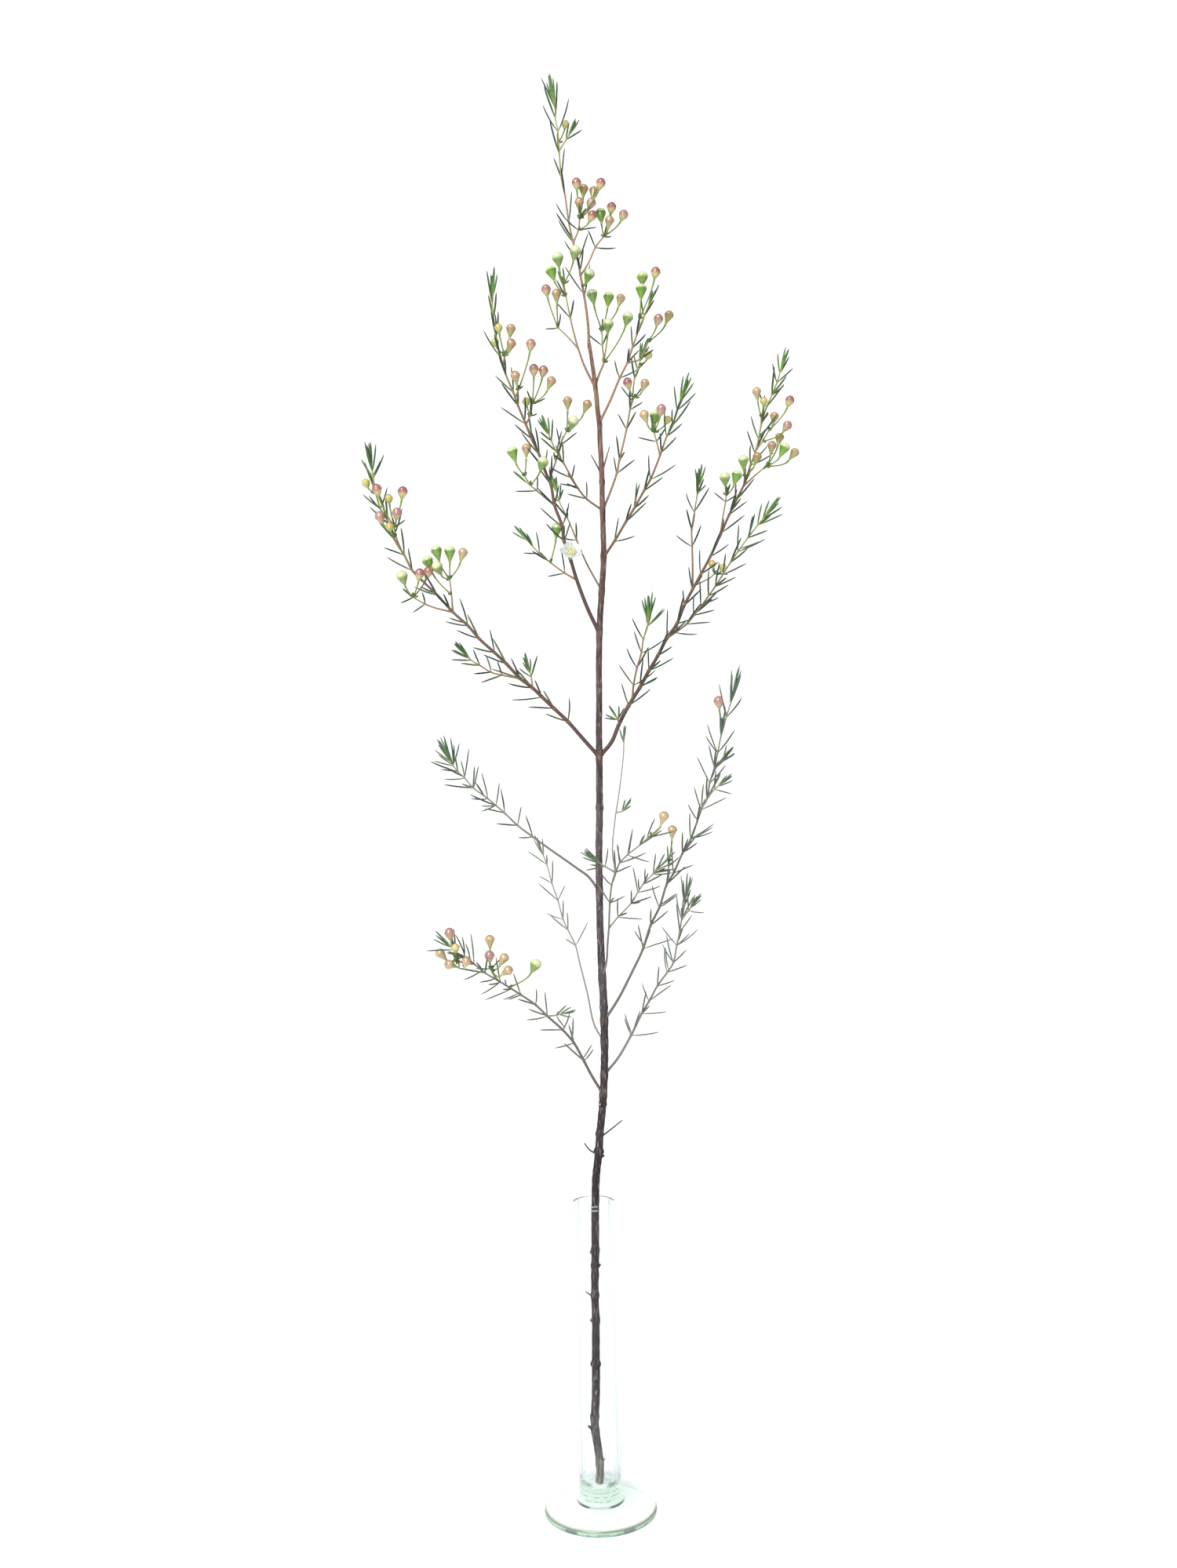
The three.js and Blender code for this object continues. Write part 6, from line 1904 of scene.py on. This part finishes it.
@dataclass(frozen=True)
class OpenFlower:
    """The open flower: a ribbed cup on a stalk, five petals, five sepals, a ring of stamens and a style."""

    on: str = "branch_09_left"
    root: Place = (-1.5, 594.5)
    heart: Place = (-4, 611)
    reach: float = -8.0
    facing: tuple[float, float, float] = (0.1, -0.78, 0.62)
    petals: int = 5
    petal_radius: float = 3.6
    petal_span: float = 4.4
    tilt: float = 14.0
    stamens: int = 10
    stalk_radius: float = 0.5
    room_radius: float = 8.0
    stalk_room: float = 0.6
    cup_depth: float = 6.6
    disc_sides: int = 28
    disc_shares: tuple[float, ...] = (0.3, 0.55, 0.75, 0.9, 0.985, 1.0, 0.985, 0.9, 0.75, 0.55, 0.3)
    disc_thickness: float = 0.26
    disc_section: tuple[float, ...] = (1.0, 1.0, 1.0, 0.9, 0.7, 0.35, 0.0, 0.0, 0.0, 0.0, 0.0)
    dish: float = 0.55
    ripples: Span = (0.32, 0.14)
    veins: int = 9
    petal_form: Span = (0.96, 0.4)
    sepal_form: tuple[float, float, float, float] = (1.25, 3.5, 0.85, -0.1)
    ribs: Span = (10, 0.04)
    ribbed_rows: int = 7
    stalk_steps: int = 14

    def seat(self, parents: Sequence[Chain]) -> tuple[Array, Array, Array]:
        """The root of its stalk, its heart and its axis."""
        spot, depth = nearest_on(parents, self.root)
        root = placed(spot, np.array(depth))
        heart = placed(np.array(self.heart, dtype=float), np.array(depth + self.reach))
        return root, heart, unit(np.array(self.facing))

    def stalk_curve(self, root: Array, heart: Array, axis: Array, steps: int) -> Array:
        """(1 - t)^2 root + 2 t (1 - t) bend + t^2 foot, where the foot is the underside of the cup."""
        t = np.linspace(0, 1, steps + 1)[:, None]
        foot = heart - self.cup_depth * axis
        return (1 - t) ** 2 * root + 2 * t * (1 - t) * (foot - 2 * axis) + t**2 * foot

    def take_room(self, parents: Sequence[Chain], room: Room, owner: int) -> None:
        """Takes the room of the stalk and of the bloom."""
        root, heart, axis = self.seat(parents)
        stalk = self.stalk_curve(root, heart, axis, 3)
        room.take(owner, stalk, np.full(len(stalk), self.stalk_room))
        room.take(owner, np.stack((heart, heart + 2 * axis)), np.full(2, self.room_radius))

    def frames(self, axis: Array, count: int, offset: float) -> tuple[Array, Array]:
        """Directions out and across, evenly turned about the axis, which with it are right-handed."""
        turn = np.array(Vector(FORWARD).rotation_difference(Vector(axis)).to_matrix())
        angle = TURN * (np.arange(count) + offset) / count
        zero = np.zeros(count)
        out = np.stack((np.sin(angle), zero, np.cos(angle)), axis=-1)
        across = np.stack((np.cos(angle), zero, -np.sin(angle)), axis=-1)
        return out @ turn.T, across @ turn.T

    def discs(
        self, heart: Array, axis: Array, count: int, offset: float, form: Sequence[float], seed: int
    ) -> tuple[Array, Array, Array, dict[str, Array]]:
        """Thin cupped discs about the axis.

        A disc's place at share p of its radius and angle a is span + radius p cos a outwards, radius p
        sin a across, and 0.5 + lean (radius p cos a) + 0.55 p^2 + ripple p^3 upwards, less the thickness
        underneath.

        Args:
            heart: middle of the flower.
            axis: its axis.
            count: how many discs.
            offset: turn of the first, in steps.
            form: their radius, span, width across as a share, and height of the middle.
            seed: where the draws of their ripples start.

        Returns:
            Rings, low poles, high poles and values for tubes.
        """
        radius, span, width, middle = form
        out, across = self.frames(axis, count, offset)
        draws = np.random.default_rng(seed)
        angle = np.linspace(0, TURN, self.disc_sides, endpoint=False)
        share = np.array(self.disc_shares)[:, None]
        thickness = np.array(self.disc_section)[:, None] * self.disc_thickness
        phase = draws.random((count, 1, 1)) * TURN
        long, short = self.ripples
        ripple = long * np.sin(3 * angle + phase) + short * np.sin(7 * angle + 2 * phase)
        forward = radius * share * np.cos(angle) * (1 - 0.08 * np.cos(angle))
        sideways = radius * share * np.sin(angle) * width
        lift = middle + np.tan(np.radians(self.tilt)) * forward
        lift = lift + self.dish * share**2 + ripple * share**3 - thickness
        rings = heart + out[:, None, None] * (span + forward)[..., None]
        rings = rings + across[:, None, None] * sideways[..., None] + axis * lift[..., None]
        centre = heart + out * span + axis * middle
        fan = np.arctan2(sideways, radius * 1.2 + forward)
        values = {
            "rise": 0.5 + 0.5 * share * np.cos(angle),
            "vein": np.abs(np.cos(self.veins * fan)) * np.ones_like(share),
        }
        return rings, centre - axis * self.disc_thickness, centre, values

    def cup(self, heart: Array, axis: Array) -> Shell:
        """The ribbed cup and its sunken disc: radius r(h) (1 + 0.04 cos 10a) about the axis."""
        outline = np.array((
            (0.5, -7.1), (0.95, -6.0), (1.5, -4.3), (2.2, -2.4), (2.8, -0.7), (3.05, 0.3), (3.0, 0.8),
            (2.75, 1.05), (2.5, 0.95), (2.1, 0.6), (1.4, 0.42), (0.7, 0.5), (0.35, 0.7),
        ))
        rise = np.array((0.0, 0.05, 0.1, 0.15, 0.22, 0.3, 0.4, 0.5, 0.62, 0.7, 0.62, 0.55, 0.5))
        radius, height = outline.T
        angle = np.linspace(0, TURN, 40, endpoint=False)
        side, back = square_to(axis, UPWARD)
        spoke = side * np.cos(angle)[:, None] - back * np.sin(angle)[:, None]
        count, depth = self.ribs
        ribs = 1 + depth * np.cos(count * angle) * (np.arange(len(radius)) < self.ribbed_rows)[:, None]
        rings = heart + axis * height[:, None, None] + spoke * (radius[:, None] * ribs)[..., None]
        low, high = rings[0].mean(axis=0), rings[-1].mean(axis=0)
        return tubes(rings[None], low, high, {"rise": rise[None, :, None]}, 1)

    def stamen_shells(self, heart: Array, axis: Array) -> list[Shell]:
        """Filaments that rise from the cup's rim and lean inwards, with anthers, and the style."""
        out, _ = self.frames(axis, self.stamens, 0.5)
        t = np.linspace(0, 1, 9)
        radius = 0.15 + 0.2 * bell(t - 0.93, 0.09)
        made = []
        for way in out:
            curve = heart + np.outer(2.45 - 0.2 * t - 0.75 * t**2, way)
            curve = curve + np.outer(0.8 + 2.0 * t - 0.5 * t**2, axis)
            made.append(swept(curve, radius, 8, {"rise": 0.55 + 0.45 * t}, finish=1))
        style = heart + np.outer(0.5 + 2.6 * t, axis)
        made.append(swept(style, 0.17 + 0.16 * bell(t - 0.97, 0.06), 8, {"rise": 0.5 + 0.2 * t}, finish=1))
        return made

    def shells(self, parents: Sequence[Chain]) -> list[Shell]:
        """All of the flower; petals, heart and stalk wear the first, second and third material."""
        root, heart, axis = self.seat(parents)
        form = (self.petal_radius, self.petal_span, *self.petal_form)
        petals = self.discs(heart, axis, self.petals, 0.0, form, 3)
        sepals = self.discs(heart, axis, self.petals, 0.5, self.sepal_form, 8)
        curve = self.stalk_curve(root, heart, axis, self.stalk_steps)
        t = np.linspace(0, 1, self.stalk_steps + 1)
        stalk = swept(curve, self.stalk_radius * (0.85 + 0.6 * bell(t - 1, 0.12)), 8, {"rise": t}, finish=2)
        stamens = self.stamen_shells(heart, axis)
        return [tubes(*petals), tubes(*sepals, finish=1), self.cup(heart, axis), stalk, *stamens]


# ---- the plant ----


@dataclass
class Grown:
    """A spray in space: its twigs, its buds and its leaves."""

    spray: Spray
    chains: list[Chain]
    plans: list[BudPlan]
    foliage: Foliage = field(default_factory=Foliage)


class Plant:
    """The whole plant: it grows every node in space, keeps its leaves clear, and makes its pieces."""

    GREY_BRANCHES = ("branch_01", "branch_02", "branch_03", "branch_04", "branch_05", "branch_06")
    DULL_TIPS = (*GREY_BRANCHES, "branch_07")
    DULL_YOUTH = 0.55
    FADE = 0.75
    # painted light spill: how much the leaves and thin twigs of these lower branches are greyed, and the
    # leaves slimmed
    LIGHT_SPILL = {
        "branch_01": 0.3, "branch_02": 0.45, "branch_03": 0.3, "branch_04": 0.3, "branch_05": 0.6,
        "branch_06": 0.2,
    }
    PALE_BRANCHES = ("leader", "fork_spray", "branch_14", "branch_13")
    SPARSE = ("leader", "branch_14_right", "branch_13_right", "branch_05_left")
    BUNCHED = ("branch_01_left", "branch_02_right", "branch_03_right", "branch_04_middle", "branch_06_left")
    LEAFY_TUFT = 4
    LEAF_SEED, BUNCH_SEED, NODE_SEED, TWIG_SEED = 101, 5003, 37, 11
    BUNCH, LARGE_BUNCH = 1, 4
    BARK_STEP, BARK_SIDES = 1.6, 10
    NODE_SWELLING, ROOT_SWELLING, NODE_COLLAR = (0.2, 1.1), (0.35, 3.0), (0.6, 1.0)  # share and width
    THINNEST, THICKER_BY = 0.4, 0.95
    FRESH_FROM, GREY_FRESH_FROM = 0.6, 0.85
    FRESH_TIP, FRESH_PLAIN = 0.9, 0.4
    LIGHT_SPILL_REACH = 1.3
    STEM_OWNER, FLOWER_OWNER, FIRST_OWNER = 0, 1, 2

    def __init__(self, stem: MainStem, flower: OpenFlower, sprays: Sequence[Spray]) -> None:
        """Keeps the description."""
        self.stem = stem
        self.flower = flower
        self.sprays = sprays
        self.chains = {"main_stem": [stem.chain()]}
        self.nodes: list[Grown] = []
        self.room = Room()

    def grow(self) -> None:
        """Grows all twigs and buds, then the leaves of each node in turn."""
        for spray in self.sprays:
            self.nodes.append(self.grow_spray(spray))
        stem = self.chains["main_stem"][0]
        self.room.take(self.STEM_OWNER, stem.points, stem.radii)
        self.flower.take_room(self.chains[self.flower.on], self.room, self.FLOWER_OWNER)
        for owner, node in enumerate(self.nodes, self.FIRST_OWNER):
            self.take_room(owner, node)
        for index, node in enumerate(self.nodes):
            for turn, (twig, chain) in enumerate(zip(node.spray.twigs, node.chains)):
                seed = self.LEAF_SEED + self.NODE_SEED * index + self.TWIG_SEED * turn
                LEAVES.grow(twig, chain, seed, index + self.FIRST_OWNER, self.room, node.foliage)
        for index, node in enumerate(self.nodes):
            for turn, (twig, chain) in enumerate(zip(node.spray.twigs, node.chains)):
                if twig.tuft < self.LEAFY_TUFT or node.spray.buds or node.spray.name in self.SPARSE:
                    continue
                seed = self.BUNCH_SEED + self.NODE_SEED * index + self.TWIG_SEED * turn
                bunch = self.LARGE_BUNCH if node.spray.name in self.BUNCHED else self.BUNCH
                LEAVES.fill(twig, chain, seed, index + self.FIRST_OWNER, self.room, node.foliage, bunch)

    def grow_spray(self, spray: Spray) -> Grown:
        """A spray's twigs and bud plans."""
        own: list[Chain] = []
        for twig in spray.twigs:
            own.append(grown(twig, own if twig.on == spray.name else self.chains[twig.on]))
        self.chains[spray.name] = own
        plans = []
        for bud in spray.buds:
            if own:
                stalk, at = (own[1], -1) if bud.start == SIDE else (own[0], bud.start)
                root, depth = stalk.points[at], stalk.depths[at]
            else:
                spot, depth = nearest_on(self.chains[spray.on], spray.root)
                root = placed(spot, np.array(depth))
            heart = placed(np.array((bud.x, bud.z), dtype=float), np.array(depth + bud.reach))
            plans.append(BUD_MAKER.plan(root, heart, bud.kind))
        return Grown(spray, own, plans)

    def take_room(self, owner: int, node: Grown) -> None:
        """Takes the room of a node's twigs, and of the stalks and heads of its buds."""
        for chain in node.chains:
            self.room.take(owner, chain.points, chain.radii)
        for plan in node.plans:
            (low, wide), _, (top, _) = BUD_ROOM[plan.kind]
            self.room.take(owner, np.stack((plan.root, plan.foot)), np.full(2, BUD_MAKER.stalk_radius))
            head = np.stack((plan.foot + plan.axis * low * 0.6, plan.foot + plan.axis * (top - wide)))
            self.room.take(owner, head, np.full(2, wide))

    def light_spill_of(self, name: str) -> float:
        """How grey and slim a node's leaves are drawn, and how grey its thin twigs: painted light spill."""
        return next((haze for start, haze in self.LIGHT_SPILL.items() if name.startswith(start)), 0.0)

    def bark_of(self, node: Grown, twig: Twig, chain: Chain) -> Shell:
        """A twig's surface, a little thicker where it leaves its parent and at each place with leaves."""
        curve, behind = smoothed(chain.points, self.BARK_STEP)
        radius = np.interp(behind, np.arange(len(chain.radii)), chain.radii)
        scars = np.arange(min(twig.first, len(chain.points) - 1), len(chain.points))
        first_span = np.linalg.norm(chain.points[1] - chain.points[0])
        near = np.abs(behind[:, None] - scars).min(axis=1) * first_span
        start = np.linalg.norm(curve - curve[0], axis=1)
        (swelling, width), (root_swelling, root_width) = self.NODE_SWELLING, self.ROOT_SWELLING
        size = radius * (1 + swelling * bell(near, width) + root_swelling * bell(start, root_width))
        share = behind / behind[-1]
        is_grey = node.spray.name.startswith(self.GREY_BRANCHES)
        fresh_from = self.GREY_FRESH_FROM if is_grey else self.FRESH_FROM
        freshness = self.FRESH_TIP if twig.tuft else self.FRESH_PLAIN
        haze = self.light_spill_of(node.spray.name)
        values = {
            "thickness": np.clip((radius - self.THINNEST) / self.THICKER_BY, 0, 1),
            "collar": self.NODE_COLLAR[0] * bell(near, self.NODE_COLLAR[1]),
            "fresh": np.clip((share - fresh_from) / (1 - fresh_from), 0, 1) * freshness,
            "grey": 1.0 if is_grey else 0.0,
            "light": 1.0 if node.spray.name.startswith(self.PALE_BRANCHES) else 0.0,
            "haze": haze * np.clip(self.LIGHT_SPILL_REACH - (radius - self.THINNEST), 0, 1),
        }
        return swept(curve, size, self.BARK_SIDES, values)

    def build(self) -> None:
        """Makes every piece of the plant."""
        bark, stem_bark, leaf, stalk = TwigBark(), StemBark(), NeedleLeaf(), Stalk()
        twig_wear, leaf_wear, stalk_wear = bark.material(), leaf.material(), stalk.material()
        skins = {kind: form.skin.material() for kind, form in BUD_FORMS.items()}
        stem = self.stem.shells(self.forks())
        make_piece("main_stem_bark", stem, [stem_bark.material()], "main_stem")
        for index, node in enumerate(self.nodes):
            name = node.spray.name
            if node.chains:
                twigs = [self.bark_of(node, *pair) for pair in zip(node.spray.twigs, node.chains)]
                make_piece(f"{name}_twigs", twigs, [twig_wear], name)
            if name.startswith(self.DULL_TIPS):
                node.foliage.youth = [youth * self.DULL_YOUTH for youth in node.foliage.youth]
            greens = [LEAVES.shell(node.foliage, index, self.light_spill_of(name))] if node.foliage.chains else []
            if node.plans:
                greens.append(LEAVES.shell(BUD_MAKER.bracts(node.plans, index), index))
                kinds = list(dict.fromkeys(plan.kind for plan in node.plans))
                heads = BUD_MAKER.stalks(node.plans, 0)
                for number, kind in enumerate(kinds, 1):
                    own = [plan for plan in node.plans if plan.kind is kind]
                    fade = self.FADE if name.startswith(self.GREY_BRANCHES) else 0.0
                    heads.append(BUD_MAKER.heads(kind, own, 10 * index + number, number, fade))
                wear = [stalk_wear, *(skins[kind] for kind in kinds)]
                make_piece(f"{name}_heads", heads, wear, name)
            if greens:
                make_piece(f"{name}_leaves", greens, [leaf_wear], name)
        bloom = self.flower.shells(self.chains[self.flower.on])
        wear = [Petal().material(), FlowerHeart().material(), stalk_wear]
        make_piece("open_flower_bloom", bloom, wear, "open_flower")

    def forks(self) -> Array:
        """Heights at which something grows from the main stem."""
        heights = [node.chains[0].points[0, 2] for node in self.nodes
                   if node.chains and node.spray.twigs[0].on == "main_stem"]
        return np.array(heights)


# ---- the studio ----


@dataclass(frozen=True)
class Lamp:
    """A soft square lamp, in metres and watts, aimed at the middle of the plant."""

    name: str
    place: tuple[float, float, float]
    size: float
    power: float


@dataclass(frozen=True)
class Studio:
    """A pale floor, white surroundings, soft lamps and the camera."""

    aim: tuple[float, float, float] = (0.0, 0.0, 0.5)
    eye: tuple[float, float, float] = (0.0033, -0.95, 0.4628)
    roll: float = 1.4
    lens: float = 34.22
    sky: float = 1.15
    ceiling: float = 0.15
    room: float = 0.05
    ambient: float = 0.45
    floor_half: float = 2.0
    floor_drop: float = 0.0002
    sun: tuple[float, float, float] = (-0.35, -0.75, 1.0)
    sun_power: float = 2.8
    sun_angle: float = 35.0
    lamps: tuple[Lamp, ...] = (Lamp("window_lamp", (-0.45, -1.3, 0.95), 0.55, 13.0),)

    def build_floor(self) -> None:
        """A wide flat floor, a hair below the foot."""
        mesh = bpy.data.meshes.new("floor")
        half, drop = self.floor_half, -self.floor_drop
        corners = ((-half, -half, drop), (half, -half, drop), (half, half, drop), (-half, half, drop))
        mesh.from_pydata(corners, (), ((0, 1, 2, 3),))
        mesh.materials.append(PaleFloor().material())
        floor = bpy.data.objects.new("floor", mesh)
        bpy.context.scene.collection.objects.link(floor)

    def build_surroundings(self) -> None:
        """White surroundings, bright where seen straight or through glass, and dimmer as a light.

        The glass sees a darker ceiling and a darker room in front, which draw its rim and its foot.
        """
        graph = Graph(bpy.data.worlds.new("white_studio"))
        rays = {name: graph.node("ShaderNodeLightPath", {}, {}, name)
                for name in ("Is Camera Ray", "Is Singular Ray", "Diffuse Depth")}
        seen = graph.node("ShaderNodeTexCoord", {}, {}, "Generated")
        ahead, rise = (graph.node("ShaderNodeSeparateXYZ", {}, {0: seen}, number) for number in (1, 2))
        through = rays["Is Singular Ray"] * rays["Diffuse Depth"].step(0.9, 0.1)
        room = self.room + ahead.step(-0.25, 0.05) * (1 - self.room)
        glassy = (self.ceiling + rise.step(0.9, 0.6) * (self.sky - self.ceiling)) * room * through
        plain = self.ambient * (1 - rays["Is Camera Ray"]) * (1 - through)
        strength = self.sky * rays["Is Camera Ray"] + glassy + plain
        white = (1.0, 1.0, 1.0, 1.0)
        surface = graph.node("ShaderNodeBackground", {}, {"Color": white, "Strength": strength})
        graph.node("ShaderNodeOutputWorld", {}, {"Surface": surface})
        bpy.context.scene.world = graph.material

    def build_lights(self) -> None:
        """A high soft sun and the lamps."""
        sun = bpy.data.lights.new("soft_sun", "SUN")
        sun.energy = self.sun_power
        sun.angle = np.radians(self.sun_angle)
        made = bpy.data.objects.new("soft_sun", sun)
        made.rotation_euler = (-Vector(self.sun)).to_track_quat("-Z", "Y").to_euler()
        bpy.context.scene.collection.objects.link(made)
        for lamp in self.lamps:
            light = bpy.data.lights.new(lamp.name, "AREA")
            light.size = lamp.size
            light.energy = lamp.power
            made = bpy.data.objects.new(lamp.name, light)
            made.location = lamp.place
            made.rotation_euler = (Vector(self.aim) - Vector(lamp.place)).to_track_quat("-Z", "Y").to_euler()
            bpy.context.scene.collection.objects.link(made)

    def build_camera(self) -> None:
        """A level camera in front, turned a little about its own axis."""
        camera = bpy.data.cameras.new("camera")
        camera.lens = self.lens
        made = bpy.data.objects.new("camera", camera)
        upright = Matrix(((1, 0, 0), (0, 0, -1), (0, 1, 0)))
        turn = Matrix.Rotation(np.radians(self.roll), 3, "Y")
        made.matrix_world = Matrix.Translation(self.eye) @ (turn @ upright).to_4x4()
        bpy.context.scene.collection.objects.link(made)
        bpy.context.scene.camera = made

    def build(self) -> None:
        """Makes the studio."""
        self.build_camera()
        self.build_floor()
        self.build_surroundings()
        self.build_lights()
        bpy.context.scene.view_settings.view_transform = "Standard"


# ---- all of it ----


def main() -> None:
    """Builds the studio, the vase and the plant."""
    logging.basicConfig(level=logging.INFO, format="%(name)s: %(message)s")
    Studio().build()
    Vase().build()
    plant = Plant(MainStem(), OpenFlower(), PLANT)
    plant.grow()
    plant.build()


if __name__ == "__main__":
    main()
